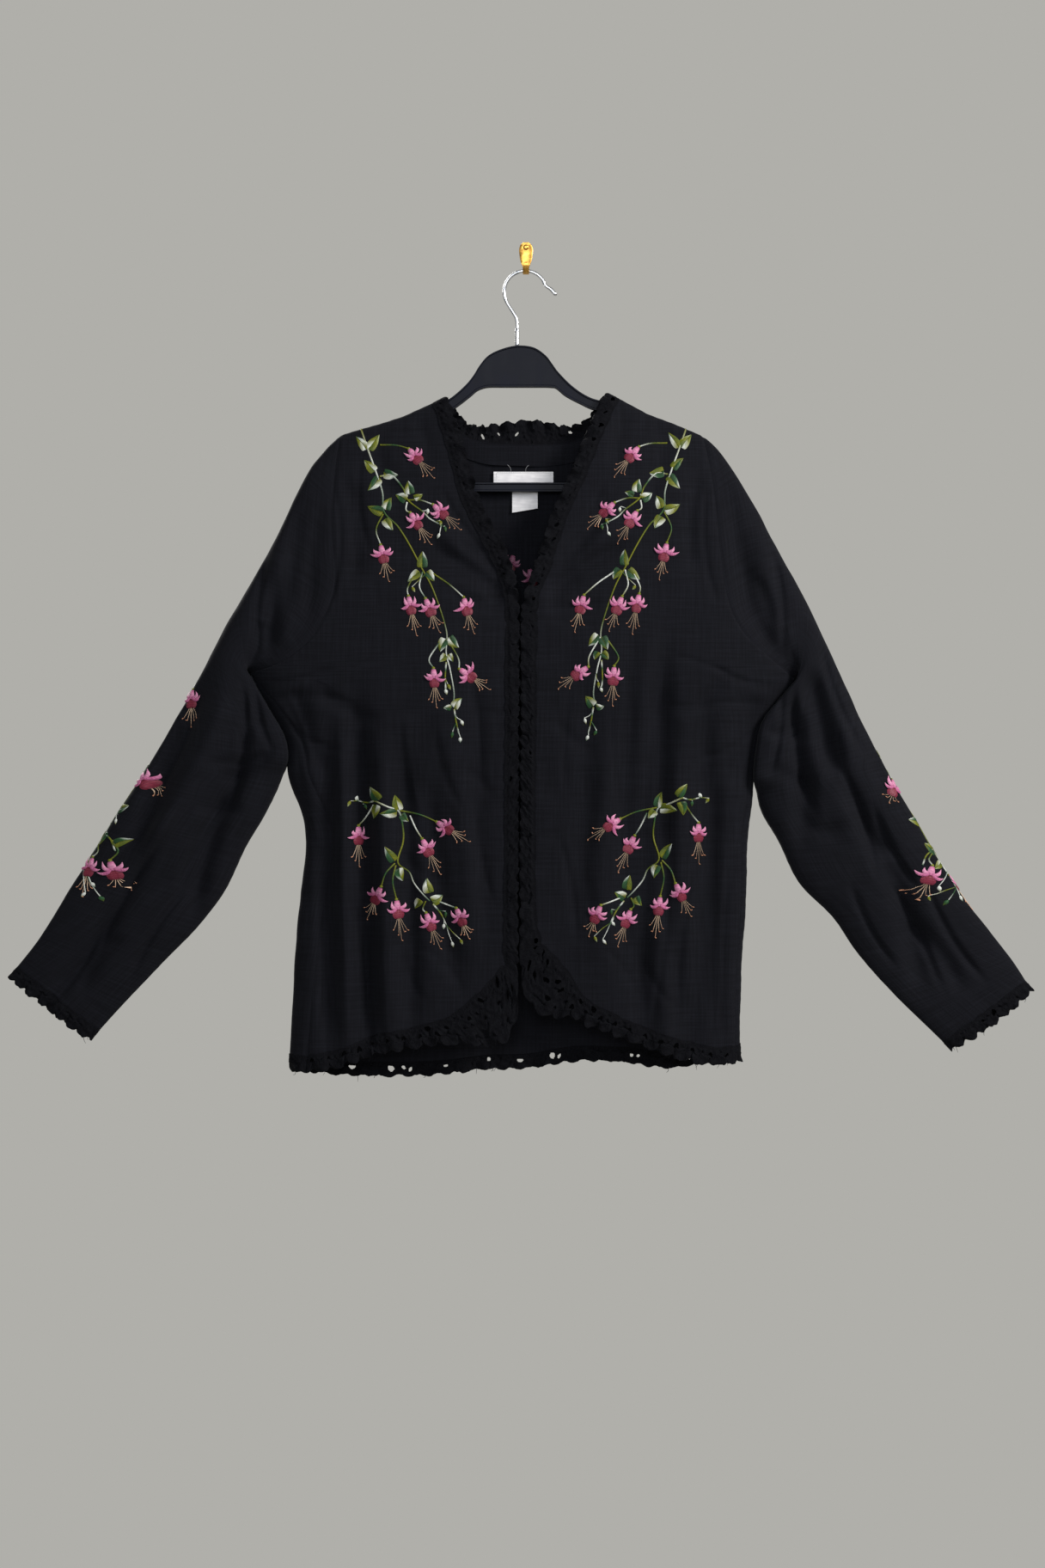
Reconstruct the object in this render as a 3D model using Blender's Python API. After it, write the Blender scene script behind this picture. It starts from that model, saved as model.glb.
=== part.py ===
"""Open-front linen cardigan with lace edging, on a moulded hanger that hangs from a brass wall hook.

Tables are in millimetres, seen from the front: x to the viewer's right, z up, y into the wall, with the wall
at y = 0 and the origin on the wall hook's back face. Every cloth piece is a thin closed wall of its own.
"""

import math

import bpy
import numpy as np

MM = 0.001

# Cloth and lace
CLOTH_WALL = 1.4
LACE_WALL = 1.3
FACING_WALL = 1.0
LABEL_WALL = 0.8
SEAM_GAP = 0.3
LIE_GAP = 0.4
LEFT, RIGHT = -1, 1

# Depth of the hanging garment, measured from the hanger's middle plane
HANGER_Y = -10.5
SHOULDER_HALF = 6.2
SHOULDER_ROUND = 3.2
DEPTH_GROWTH = 80.0
SIDE_ROUND = 55.0
BUST_RISE = 7.0
BUST_AT = (112.0, -430.0)
BUST_SPREAD = 85.0

# Grid sizes and the shares at which the panels' columns lie
ARMHOLE_ROWS = 13
SIDE_ROWS = 18
FRONT_COLUMNS = (5, 5, 4)
NECK_SHARE = 0.54
NECK_LACE_ROWS = 11
BACK_COLUMNS = (0, 0.035, 0.08, 0.14, 0.2, 0.27, 0.345, 0.42, 0.5, 0.58, 0.655, 0.73, 0.8, 0.86, 0.92, 0.965, 1)
BACK_NECK_SHARES = (0, 0.024, 0.1, 0.22, 0.36, 0.5, 0.64, 0.78, 0.9, 0.976, 1)
LACE_STEP = 8.0
WIRE_SIDES = 8
NAIL_SIDES = 12

# Depth table, columns z, middle plane y, front half depth, back half depth
DEPTHS = (
    (-140, -23.0, 24.0, 20.0),
    (-300, -24.0, 26.0, 21.0),
    (-430, -25.0, 27.0, 22.0),
    (-560, -23.0, 23.0, 19.5),
    (-700, -23.0, 20.0, 19.0),
    (-840, -24.0, 19.0, 18.5),
)

# Shoulder line over the hanger, columns x, z, from the neck outwards and on down the sleeve head
SHOULDER = {
    LEFT: ((-79.4, -137.3), (-94, -144), (-125, -158.5), (-157, -168.5), (-189, -178), (-203, -192), (-218, -211),
           (-245, -269), (-290, -350)),
    RIGHT: ((79.9, -132.5), (94, -140), (123, -155.5), (152, -167), (181, -179.6), (199, -198), (218, -226),
            (259, -301), (284, -350)),
}
SHOULDER_NECK, SHOULDER_ARM = 1, 4

# Outline of the body below the arms, columns z, x, carried on upwards inside the sleeve head
SIDE_LINE = {
    LEFT: ((-100, -262), (-250, -288), (-385, -290), (-422, -281), (-456, -262), (-490, -244), (-524, -241),
           (-574, -224), (-655, -230), (-730, -236), (-840, -241)),
    RIGHT: ((-100, 255), (-250, 279), (-390, 282), (-429, 274), (-448, 258), (-466, 243), (-500, 234),
            (-546, 230), (-580, 226), (-655, 224), (-730, 219), (-840, 217)),
}

# Distance of the side seam from that outline, on the front, columns z, inset
SEAM_INSET = {
    LEFT: ((-840, 20), (-500, 19), (-450, 10), (-420, 0)),
    RIGHT: ((-840, 5), (-520, 5), (-460, 3), (-427, 0)),
}

# Front armhole seam, columns x, z, shoulder to underarm, and how far the back one follows its curve
ARMHOLE = {
    LEFT: ((-189, -178), (-194, -222), (-196, -277), (-192, -325), (-198, -355), (-213, -384), (-231, -401),
           (-252, -414), (-281, -422)),
    RIGHT: ((181, -179.6), (188, -218), (192, -250), (197, -306), (205, -353), (218, -380), (233, -396),
            (252, -412), (274, -429)),
}
BACK_ARMHOLE_CURVE = 0.85

# Neckline and centre front of each front panel, columns x, z, shoulder to hem corner
FRONT_EDGE = {
    LEFT: ((-94, -144), (-87, -166), (-80, -188), (-73, -214), (-65, -242), (-56, -264), (-45, -284), (-35, -303),
           (-26, -324), (-20, -348), (-19, -400), (-19.5, -520), (-20.5, -640), (-21, -716)),
    RIGHT: ((94, -140), (86, -158), (79, -174), (71, -193), (63, -213), (55, -232), (47, -250), (39, -268),
            (31, -292), (22, -320), (12, -346), (9, -400), (8.5, -520), (8, -640), (9.5, -675), (15, -695)),
}

# Cutaway hem of each front panel, columns x, z, side seam to centre front
FRONT_HEM = {
    LEFT: ((-221, -809), (-198, -806), (-175, -798), (-153, -789), (-133, -785), (-110, -780), (-88, -774),
           (-70, -765), (-52, -750), (-34, -733), (-21, -716)),
    RIGHT: ((212, -800), (190, -801), (169, -797), (142, -789), (118, -780), (98, -772), (84, -765), (68, -757),
            (54, -745), (44, -727), (29, -709), (15, -695)),
}

# Back neck edge and back hem edge, columns x, z
BACK_NECK = ((-94, -144), (-86, -159), (-72, -173), (-50, -183), (-10, -187), (34, -186), (62, -178), (78, -163),
             (94, -140))
BACK_HEM = ((-250, -809), (-221, -811), (-185, -816), (-137, -818), (-82, -816), (-40, -811), (0, -810), (50, -802),
            (100, -803), (150, -808), (185, -802), (221, -799), (250, -799))

# Sleeve sections, columns outer x, outer z, inner x, inner z, middle y, front depth, back depth
SLEEVE = {
    LEFT: (
        (-189, -178, -281, -422, -10.5, 21, 6.5),
        (-203, -192, -282.3, -420.7, -12, 21, 8),
        (-218, -211, -283.6, -420.2, -14, 21, 10),
        (-235, -243, -284.9, -420.6, -15.5, 22, 11.5),
        (-253, -284, -285.9, -421.8, -17, 23, 13),
        (-275, -322, -286.5, -423.6, -18, 24, 14),
        (-296, -360, -286.3, -426.6, -19, 24, 14.5),
        (-317, -400, -280, -438, -20, 25, 15),
        (-337, -436, -264, -463, -21, 25, 16),
        (-355, -468, -250, -489, -21.5, 25, 16.5),
        (-373, -499, -246, -520, -22, 24, 17),
        (-393, -531, -263, -562, -22, 23, 16),
        (-416, -567, -285, -600, -21, 22, 15),
        (-441, -606, -306, -643, -20, 20, 13.5),
        (-465, -643, -335, -682, -19, 18, 12),
        (-488, -681, -370, -717, -18, 15, 11),
        (-505, -704, -404, -753, -17.5, 13, 10),
        (-518, -720, -434, -786, -17, 11, 9.5),
    ),
    RIGHT: (
        (181, -179.6, 274, -429, -10.5, 21, 6.5),
        (196, -194, 275.3, -427.7, -12, 21, 8),
        (211, -214, 276.6, -427.2, -14, 21, 10),
        (230, -246, 277.9, -427.6, -15.5, 22, 11.5),
        (248, -280, 278.9, -428.8, -17, 23, 13),
        (266, -315, 279.5, -430.6, -18, 24, 14),
        (284, -350, 279.3, -433.6, -19, 24, 14.5),
        (301, -386, 270, -445, -20, 25, 15),
        (318, -421, 251, -467, -21, 25, 16),
        (336, -460, 238, -492, -21.5, 25, 16.5),
        (354, -496, 234, -528, -22, 24, 17),
        (376, -537, 238, -560, -22, 23, 16),
        (402, -583, 256, -592, -21, 22, 15),
        (427, -624, 277, -634, -20, 20, 13.5),
        (450, -657, 311, -669, -19, 18, 12),
        (471, -683, 336, -705, -18, 15, 11),
        (489, -707, 371, -745, -17.5, 13, 10),
        (508, -735, 424, -797, -17, 11, 9.5),
    ),
}
# How much of the armhole's own curve each of the first sleeve sections keeps
ARMHOLE_FADE = (1.0, 0.8, 0.6, 0.4, 0.2, 0.06)

# Largest folds, columns x start, z start, x end, z end, half width, height towards the viewer
FRONT_FOLDS = (
    (-199, -480, -199, -800, 13, -4.0),
    (-170, -455, -162, -805, 14, -7.5),
    (-144, -520, -140, -780, 15, 3.0),
    (-121, -500, -115, -770, 15, -4.5),
    (-96, -560, -66, -730, 15, -4.0),
    (107, -400, 100, -745, 15, -3.0),
    (131, -425, 118, -775, 16, -5.5),
    (139, -400, 161, -800, 15, -4.5),
    (182, -470, 178, -800, 14, -4.0),
    (-24, -346, -92, -298, 12, -4.0),
    (-40, -322, -88, -272, 13, 3.0),
    (24, -344, 98, -295, 12, -4.0),
    (40, -316, 90, -264, 13, 3.0),
    (-232, -440, -206, -520, 13, -4.0),
    (228, -446, 204, -530, 13, -4.0),
)
SLEEVE_FRONT_FOLDS = (
    (-204, -240, -218, -380, 11, -6.0),
    (-230, -258, -262, -405, 13, -4.5),
    (-246, -300, -236, -395, 12, 3.0),
    (-268, -480, -338, -665, 13, -6.5),
    (-300, -440, -392, -612, 15, 4.5),
    (-326, -428, -396, -622, 13, -5.0),
    (-396, -622, -480, -750, 13, -4.0),
    (202, -240, 212, -370, 11, -6.0),
    (221, -300, 246, -405, 12, -4.5),
    (233, -270, 262, -400, 12, 3.0),
    (266, -450, 280, -592, 13, -5.0),
    (288, -425, 366, -608, 13, -6.5),
    (366, -608, 400, -742, 13, -4.5),
    (309, -410, 366, -538, 13, -4.0),
    (322, -470, 330, -590, 14, 4.0),
)
BACK_FOLDS = (
    (-176, -450, -168, -800, 13, 6.0),
    (-120, -400, -128, -800, 14, 4.5),
    (-58, -330, -66, -790, 14, 5.5),
    (-4, -300, 2, -560, 13, 3.5),
    (36, -520, 30, -795, 14, 5.0),
    (92, -350, 84, -780, 13, 5.5),
    (150, -420, 158, -790, 14, 6.0),
    (-205, -430, -150, -350, 13, 4.0),
    (198, -436, 146, -356, 13, 4.0),
)
SLEEVE_BACK_FOLDS = (
    (-262, -470, -346, -650, 14, 5.0),
    (-318, -420, -380, -560, 13, 4.0),
    (-380, -600, -452, -720, 13, 4.0),
    (256, -450, 330, -640, 14, 5.0),
    (306, -410, 372, -560, 13, 4.0),
    (372, -590, 446, -730, 13, 4.0),
)

# Free edge of each lace, columns share of the cloth edge's length, x, z
NECK_LACE = {
    LEFT: ((0, -79.4, -137.3), (0.094, -72, -160), (0.187, -65, -182), (0.297, -58, -209), (0.415, -50, -236),
           (0.51, -42, -256), (0.605, -31.5, -275), (0.69, -21.5, -293), (0.785, -13, -315), (0.886, -7.2, -342)),
    RIGHT: ((0, 79.9, -132.5), (0.081, 71.5, -152), (0.152, 65, -168), (0.237, 57, -187), (0.325, 49, -207),
            (0.41, 41, -226), (0.49, 33, -244), (0.571, 25, -262.5), (0.675, 17, -287), (0.795, 8, -314),
            (0.909, -1.5, -342)),
}
HEM_LACE = {
    LEFT: ((0, -8.2, -727), (0.05, -7.5, -752), (0.094, -10, -775), (0.14, -18, -791), (0.2, -31, -798.5),
           (0.305, -58, -797.5), (0.394, -84, -797), (0.494, -108, -800), (0.6, -131, -803), (0.687, -150, -807),
           (0.79, -171, -814), (0.9, -196, -822), (1, -221, -826)),
    RIGHT: ((0, -6.2, -706), (0.05, -5.2, -730), (0.085, -1, -748), (0.13, 10, -763), (0.184, 26, -769),
            (0.27, 46, -770), (0.35, 60, -777), (0.43, 77, -783), (0.5, 92, -789), (0.585, 113, -797),
            (0.7, 137, -806), (0.82, 166, -815), (0.91, 189, -818), (1, 212, -817)),
}
BACK_NECK_LACE = ((0, -79.4, -137.3), (0.05, -74, -148), (0.11, -66, -158), (0.2, -55, -166), (0.3, -42, -166.5),
                  (0.4, -24, -165), (0.5, 1, -161), (0.6, 20, -163), (0.7, 39, -166.5), (0.79, 52, -166),
                  (0.87, 64, -158), (0.94, 73, -146), (1, 79.9, -132.5))

# Widths and drops of the straighter laces, columns share of the edge's length, size
BACK_HEM_LACE = ((0, 17), (0.3, 15.5), (0.5, 15.5), (0.8, 17), (1, 17))
CUFF_LACE = ((0, 13), (0.5, 15), (1, 13))
CENTRE_LACE_GAP = 1.8
CENTRE_LACE_DROP = ((0, 0), (0.88, 0), (1, 11))
LACE_ROWS = (0.0, 0.34, 0.66, 1.0)
WIDE_LACE_ROWS = (0.0, 0.2, 0.46, 0.73, 1.0)
LACE_HOLE = 5.5
SCALLOP = 2.4
RUFFLE_HEIGHT = 2.2
RUFFLE_WAVE = 28.0
RUFFLE_FADE = 12.0
HOLE_STEP = 4
CENTRE_HOLE_STEP = 6

# Labels and facing inside the back neck, columns left x, right x, top z, bottom z
NECK_LABEL = (-33, 28, -215, -233)
CARE_LABEL = (-14, 12, -234, -257)
FACING_HALF_WIDTH = 68
FACING_DEPTH = 20.5
FACING_DROP = 1.5

# Hanger arms from the left tip to the right one, columns upper x, upper z, lower x, lower z, half thickness
HANGER_ARMS = (
    (-198, -236.5, -198, -226.5, 3.0),
    (-203, -231, -197, -222, 3.0),
    (-205.5, -221, -197, -216.5, 3.2),
    (-205.5, -210, -195.5, -210.5, 3.4),
    (-203.5, -202, -193, -205, 3.5),
    (-197, -193.5, -189, -199.5, 3.5),
    (-187, -183, -181, -194, 3.5),
    (-157, -172, -153, -184.5, 3.5),
    (-125, -162, -121, -174.5, 3.5),
    (-94, -148.4, -90, -160.4, 3.4),
    (-78, -141, -73, -152, 3.4),
    (-63, -128.5, -57, -140, 3.9),
    (-54, -118, -50, -134, 4.2),
    (-47, -107, -43, -131, 4.5),
    (-38, -97, -36, -130, 4.5),
    (-24, -90.3, -23, -130, 4.5),
    (-8, -87, -8, -130, 4.5),
    (8, -89, 7, -130, 4.5),
    (20, -97, 18.5, -130, 4.5),
    (27, -106, 26, -130.3, 4.5),
    (33, -114, 31, -131.5, 4.2),
    (46, -127, 40, -139, 3.9),
    (60, -137, 55, -147, 3.5),
    (74, -142.5, 70, -153.5, 3.5),
    (94, -144.5, 92, -157, 3.5),
    (123, -159.2, 119, -171, 3.5),
    (152, -170.7, 148, -183, 3.5),
    (172, -180.5, 166, -191, 3.5),
    (182, -189.5, 175, -198, 3.5),
    (188, -199, 178, -203.5, 3.4),
    (190, -209, 180, -210, 3.2),
    (189.5, -220, 181, -216.5, 3.0),
    (187, -231, 181, -222, 3.0),
    (182, -236.5, 182, -226.5, 3.0),
)
HANGER_ROUND = 0.75

# Hook wire, its round part, and the stem that enters the hanger
HOOK_CENTRE = (-0.5, -32.3)
HOOK_RADIUS = 21.7
HOOK_START_DEG = 18
HOOK_END_DEG = 222
HOOK_TIP = (30.0, -34.5)
HOOK_STEM = ((-12.5, -54.0), (-9.6, -60.0), (-9.0, -68.0), (-9.0, -86.7))
WIRE_RADIUS = 1.75
STEM_RADIUS = 2.2

# Brass wall hook, a bent strip, columns y, z, half width, and the cup that the wire hangs in
PLATE_THICK = 1.3
PLATE = ((20.5, 3.0), (18.8, 5.0), (15.5, 6.5), (7.0, 6.5), (0.0, 5.2), (-4.0, 3.6))
CUP_CENTRE = (-10.0, -5.0)
CUP_HALF = (9.35, 8.5)
CUP_STEPS = 10
CUP_HALF_WIDTH = 3.2
NAIL_AT = (0.0, 15.5)
NAIL_RADIUS = 2.8
NAIL_PROFILE = ((0.0, 1.0), (0.7, 1.0), (1.3, 0.8), (1.7, 0.35))


def hermite(at, keys, values):
    """Values of a smooth curve through a short table, at the places asked for."""
    keys = np.asarray(keys, float)
    values = np.asarray(values, float)
    if keys[0] > keys[-1]:
        keys = keys[::-1]
        values = values[::-1]
    slopes = np.gradient(values, keys)
    at = np.clip(at, keys[0], keys[-1])
    low = np.clip(np.searchsorted(keys, at) - 1, 0, len(keys) - 2)
    span = keys[low + 1] - keys[low]
    t = (at - keys[low]) / span
    first = (1 + 2 * t) * (1 - t) ** 2 * values[low] + t * (1 - t) ** 2 * span * slopes[low]
    second = t**2 * (3 - 2 * t) * values[low + 1] - t**2 * (1 - t) * span * slopes[low + 1]
    return first + second


def along(points, shares, smooth=True):
    """Points at the given shares of a line's length, through a short table of x and z."""
    points = np.asarray(points, float)
    keys = np.arange(len(points), dtype=float)
    fine = np.linspace(0, keys[-1], 40 * len(points)) if smooth else keys
    line = points if not smooth else np.stack([hermite(fine, keys, points[:, i]) for i in (0, 1)], axis=1)
    lengths = np.concatenate([[0], np.cumsum(np.linalg.norm(np.diff(line, axis=0), axis=1))])
    shares = np.asarray(shares) * lengths[-1]
    return np.stack([np.interp(shares, lengths, line[:, i]) for i in range(points.shape[1])], axis=1)


def column(table, index):
    """One column of a table as an array."""
    return np.array([row[index] for row in table], float)


def table_value(at, table):
    """Smooth value of a table with two columns, place and value."""
    return hermite(at, column(table, 0), column(table, 1))


def centre_x(z):
    """The centre front line, which leans a little to the left as it goes down."""
    return -5.5 - 2.0 * np.clip((-350 - z) / 400, 0, 1)


def half_width(z, side):
    """Distance from the centre front line to the body's outline."""
    return np.abs(table_value(z, SIDE_LINE[side]) - centre_x(z))


def depth_row(z):
    """Middle plane, front half depth and back half depth at a height."""
    return tuple(hermite(z, column(DEPTHS, 0), column(DEPTHS, i)) for i in (1, 2, 3))


def quarter(a, b):
    """Length of a quarter of an ellipse."""
    return math.pi / 2 * np.sqrt((a * a + b * b) / 2)


def wrap_lengths(z, side):
    """The flat run, the front round and the back round of the cloth, from the centre line to a side."""
    _, front, back = depth_row(z)
    flat = half_width(z, side) - SIDE_ROUND
    return flat, quarter(SIDE_ROUND, front), quarter(SIDE_ROUND, back)


def wrap_of(x, z, side, back=False):
    """Cloth distance, from the front centre line, of a point seen on the front or on the back."""
    flat, front_round, back_round = wrap_lengths(z, side)
    reach = np.abs(x - centre_x(z))
    turn = np.arcsin(np.clip((reach - flat) / SIDE_ROUND, 0, 1)) / (math.pi / 2)
    if back:
        return 2 * flat + front_round + back_round - np.where(reach < flat, reach, flat + turn * back_round)
    return np.where(reach < flat, reach, flat + turn * front_round)


def fold_height(x, z, folds):
    """Sum of the soft ridges and troughs of a fold table."""
    total = np.zeros(np.broadcast(x, z).shape)
    for x0, z0, x1, z1, width, height in folds:
        run_x, run_z = x1 - x0, z1 - z0
        length = math.hypot(run_x, run_z)
        share = ((x - x0) * run_x + (z - z0) * run_z) / length**2
        off = ((x - x0) * run_z - (z - z0) * run_x) / length
        ends = np.clip((share + 0.12) / 0.3, 0, 1) * np.clip((1.12 - share) / 0.3, 0, 1)
        ends = ends * ends * (3 - 2 * ends)
        total = total + height * ends * np.exp(-((off / width) ** 2))
    return total


def shoulder_z(x):
    """Height of the shoulder line, level across the neck."""
    left, right = SHOULDER[LEFT], SHOULDER[RIGHT]
    table = left[::-1] + right
    return np.interp(x, column(table, 0), column(table, 1))


def body_point(wrap, z, side):
    """Outer surface of the body, at a cloth distance round from the front centre line."""
    flat, front_round, back_round = wrap_lengths(z, side)
    front_turn = np.clip((wrap - flat) / front_round, 0, 1) * math.pi / 2
    back_turn = np.clip((wrap - flat - front_round) / back_round, 0, 1) * math.pi / 2
    on_front = wrap < flat + front_round
    past = np.clip(wrap - flat - front_round - back_round, 0, None)
    reach = np.where(on_front, np.where(wrap < flat, wrap, flat + SIDE_ROUND * np.sin(front_turn)),
                     flat + SIDE_ROUND * np.cos(back_turn) - past)
    x = centre_x(z) + side * reach
    below = np.clip(shoulder_z(x) - z, 0, None)
    middle, front, back = depth_row(z)
    growth = 1 - np.exp(-below / DEPTH_GROWTH)
    rounding = SHOULDER_HALF * np.sqrt(1 - np.exp(-below / SHOULDER_ROUND))
    middle = HANGER_Y + (middle - HANGER_Y) * growth
    near_bust = (np.abs(x - centre_x(z)) - BUST_AT[0]) ** 2 + (z - BUST_AT[1]) ** 2
    front = rounding + (front + BUST_RISE * np.exp(-near_bust / BUST_SPREAD**2) - SHOULDER_HALF) * growth
    back = rounding + (back - SHOULDER_HALF) * growth
    fade = 1 - np.exp(-below / 12)
    front_y = middle - np.cos(front_turn) * (front + fade * fold_height(x, z, FRONT_FOLDS))
    back_y = middle + np.sin(back_turn) * (back - fade * fold_height(x, z, BACK_FOLDS))
    return np.stack([x, np.where(on_front, front_y, back_y), z], axis=-1)


def blend_patch(left, right, top, bottom, across, down):
    """Grid of points spanned between four border lines; the top and bottom shapes fade out quickly."""
    u = across[None, :, None]
    v = down[:, None, None]
    ruled = (1 - u) * left[:, None] + u * right[:, None]
    return ruled + (1 - v) ** 3 * (top[None] - ruled[:1]) + v**3 * (bottom[None] - ruled[-1:])


def unit(vectors):
    """Vectors scaled to length one."""
    vectors = np.asarray(vectors, float)
    return vectors / np.linalg.norm(vectors, axis=-1, keepdims=True)


def shares_of(points):
    """Share of the length at each point of a line."""
    steps = np.linalg.norm(np.diff(points, axis=0), axis=1)
    return np.concatenate([[0], np.cumsum(steps)]) / steps.sum()


def armhole_shares():
    """Shares of the armhole seam, close together at the shoulder and at the underarm."""
    return (1 - np.cos(math.pi * np.arange(ARMHOLE_ROWS + 1) / ARMHOLE_ROWS)) / 2


def armhole_line(side, back=False):
    """Armhole seam as seen from the front, or the flatter one of the back."""
    front = along(ARMHOLE[side], armhole_shares())
    if not back:
        return front
    chord = front[0] + armhole_shares()[:, None] * (front[-1] - front[0])
    return chord + BACK_ARMHOLE_CURVE * (front - chord)


def side_seam(side):
    """Wrap and height of the side seam below the underarm, down to the hem."""
    top = ARMHOLE[side][-1][1]
    bottom = FRONT_HEM[side][0][1]
    z = top + (bottom - top) * np.linspace(0, 1, SIDE_ROWS + 1)
    x = table_value(z, SIDE_LINE[side]) - side * table_value(z, SEAM_INSET[side])
    x += (FRONT_HEM[side][0][0] - x[-1]) * np.linspace(0, 1, SIDE_ROWS + 1)
    x[0] = ARMHOLE[side][-1][0]
    return wrap_of(x, z, side), z


def shoulder_columns(side, counts):
    """Points of the shoulder seam from the armhole to the neck, each straight span cut evenly."""
    seam = np.array(SHOULDER[side][SHOULDER_NECK : SHOULDER_ARM + 1][::-1], float)
    points = [seam[0]]
    for start, end, count in zip(seam[:-1], seam[1:], counts):
        points += [start + (end - start) * step / count for step in range(1, count + 1)]
    return np.array(points)


def surface_normal(wrap, z, side):
    """Outward unit normal of the body's surface."""
    step = 0.5
    across = body_point(wrap + step, z, side) - body_point(wrap - step, z, side)
    down = body_point(wrap, z - step, side) - body_point(wrap, z + step, side)
    return unit(np.cross(down, across)) * side


def surface_y(x, z, back=False):
    """Depth of the body's front or back surface at a place seen from the front."""
    depth = np.zeros(np.broadcast(x, z).shape)
    for side in (LEFT, RIGHT):
        here = (x - centre_x(z)) * side >= 0
        depth = np.where(here, body_point(wrap_of(x, z, side, back), z, side)[..., 1], depth)
    return depth


def front_grid(side):
    """Outer points and normals of one front panel, rows from shoulder to hem, columns from side to centre."""
    arm = armhole_line(side)
    seam_wrap, seam_z = side_seam(side)
    outer = np.column_stack([wrap_of(arm[:, 0], arm[:, 1], side), arm[:, 1]])
    outer = np.vstack([outer, np.column_stack([seam_wrap, seam_z])[1:]])
    upper = NECK_SHARE * (np.arange(ARMHOLE_ROWS + 1) / ARMHOLE_ROWS) ** 1.5
    lower = NECK_SHARE + (1 - NECK_SHARE) * np.linspace(0, 1, SIDE_ROWS + 1)[1:]
    edge = along(FRONT_EDGE[side], np.concatenate([upper, lower]))
    inner = np.column_stack([wrap_of(edge[:, 0], edge[:, 1], side), edge[:, 1]])
    top = shoulder_columns(side, FRONT_COLUMNS)
    top = np.column_stack([wrap_of(top[:, 0], top[:, 1], side), top[:, 1]])
    turn = np.linspace(0, 1, len(top))
    across = (turn + 1 - np.cos(math.pi / 2 * turn) ** 1.2) / 2
    hem = along(FRONT_HEM[side], across)
    hem = np.column_stack([wrap_of(hem[:, 0], hem[:, 1], side), hem[:, 1]])
    down = (shares_of(outer) + shares_of(inner)) / 2
    flat = blend_patch(outer, inner, top, hem, across, down)
    wrap, z = flat[..., 0], flat[..., 1]
    return body_point(wrap, z, side), surface_normal(wrap, z, side)


def back_distance(wrap, z, side):
    """Signed distance from the back centre line of a cloth distance counted round from the front one."""
    flat, front_round, back_round = wrap_lengths(z, side)
    return side * (2 * flat + front_round + back_round - wrap)


def back_grid():
    """Outer points and normals of the back panel, rows from shoulder to hem, columns from left to right."""
    borders = {}
    for side in (LEFT, RIGHT):
        arm = armhole_line(side, back=True)
        seam_wrap, seam_z = side_seam(side)
        wrap = np.concatenate([wrap_of(arm[:, 0], arm[:, 1], side, back=True), seam_wrap[1:]])
        z = np.concatenate([arm[:, 1], seam_z[1:]])
        borders[side] = np.column_stack([back_distance(wrap, z, side), z])
    left, right = borders[LEFT], borders[RIGHT]
    neck = along(BACK_NECK, BACK_NECK_SHARES)
    top = np.vstack([shoulder_columns(LEFT, (1, 1, 1)), neck[1:-1], shoulder_columns(RIGHT, (1, 1, 1))[::-1]])
    distances = [back_distance(wrap_of(x, z, side, back=True), z, side)
                 for x, z in top for side in (LEFT if x < centre_x(z) else RIGHT,)]
    top = np.column_stack([distances, top[:, 1]])
    across = np.array(BACK_COLUMNS)
    reach = left[-1, 0] + across * (right[-1, 0] - left[-1, 0])
    hem_z = hermite(reach + centre_x(-800.0), column(BACK_HEM, 0), column(BACK_HEM, 1))
    hem_z[0], hem_z[-1] = left[-1, 1], right[-1, 1]
    down = (shares_of(left) + shares_of(right)) / 2
    flat = blend_patch(left, right, top, np.column_stack([reach, hem_z]), across, down)
    rows = np.arange(len(left)) / (len(left) - 1)
    middle = flat[:, len(across) // 2, 1]
    even = middle[0] + (middle[-1] - middle[0]) * rows
    under_neck = np.clip((across - across[3]) / (across[-4] - across[3]), 0, 1)
    flat[..., 1] += np.sin(math.pi * under_neck)[None] ** 2 * (even - middle)[:, None]
    points, normals = np.zeros(flat.shape[:2] + (3,)), np.zeros(flat.shape[:2] + (3,))
    for side in (LEFT, RIGHT):
        z = flat[..., 1]
        here = flat[..., 0] * side >= 0
        wrap = back_distance(0, z, side) * side - side * flat[..., 0]
        points[here] = body_point(wrap, z, side)[here]
        normals[here] = surface_normal(wrap, z, side)[here]
    return points, normals


def sleeve_grid(side, front_arm, back_arm):
    """Outer points of a sleeve, rings from the armhole to the cuff, each ring down the front and up the back."""
    shares = armhole_shares()
    lift = np.clip(np.sin(math.pi * np.arange(ARMHOLE_ROWS + 1) / ARMHOLE_ROWS), 0, 1) ** 0.65
    rings = []
    for index, (outer_x, outer_z, inner_x, inner_z, middle, front, back) in enumerate(SLEEVE[side]):
        x = outer_x + (inner_x - outer_x) * shares
        z = outer_z + (inner_z - outer_z) * shares
        front_line = np.column_stack([x, middle - front * lift, z])
        back_line = np.column_stack([x, middle + back * lift, z])
        if index == 0:
            front_bend = front_arm - front_line
            back_bend = back_arm - back_line
        keep = ARMHOLE_FADE[index] if index < len(ARMHOLE_FADE) else 0.0
        fade = (1 - keep) * lift
        front_line = front_line + keep * front_bend
        back_line = back_line + keep * back_bend
        front_line[:, 1] -= fade * fold_height(front_line[:, 0], front_line[:, 2], SLEEVE_FRONT_FOLDS)
        back_line[:, 1] -= fade * fold_height(back_line[:, 0], back_line[:, 2], SLEEVE_BACK_FOLDS)
        rings.append(np.vstack([front_line, back_line[-2:0:-1]]))
    return np.array(rings)


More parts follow.
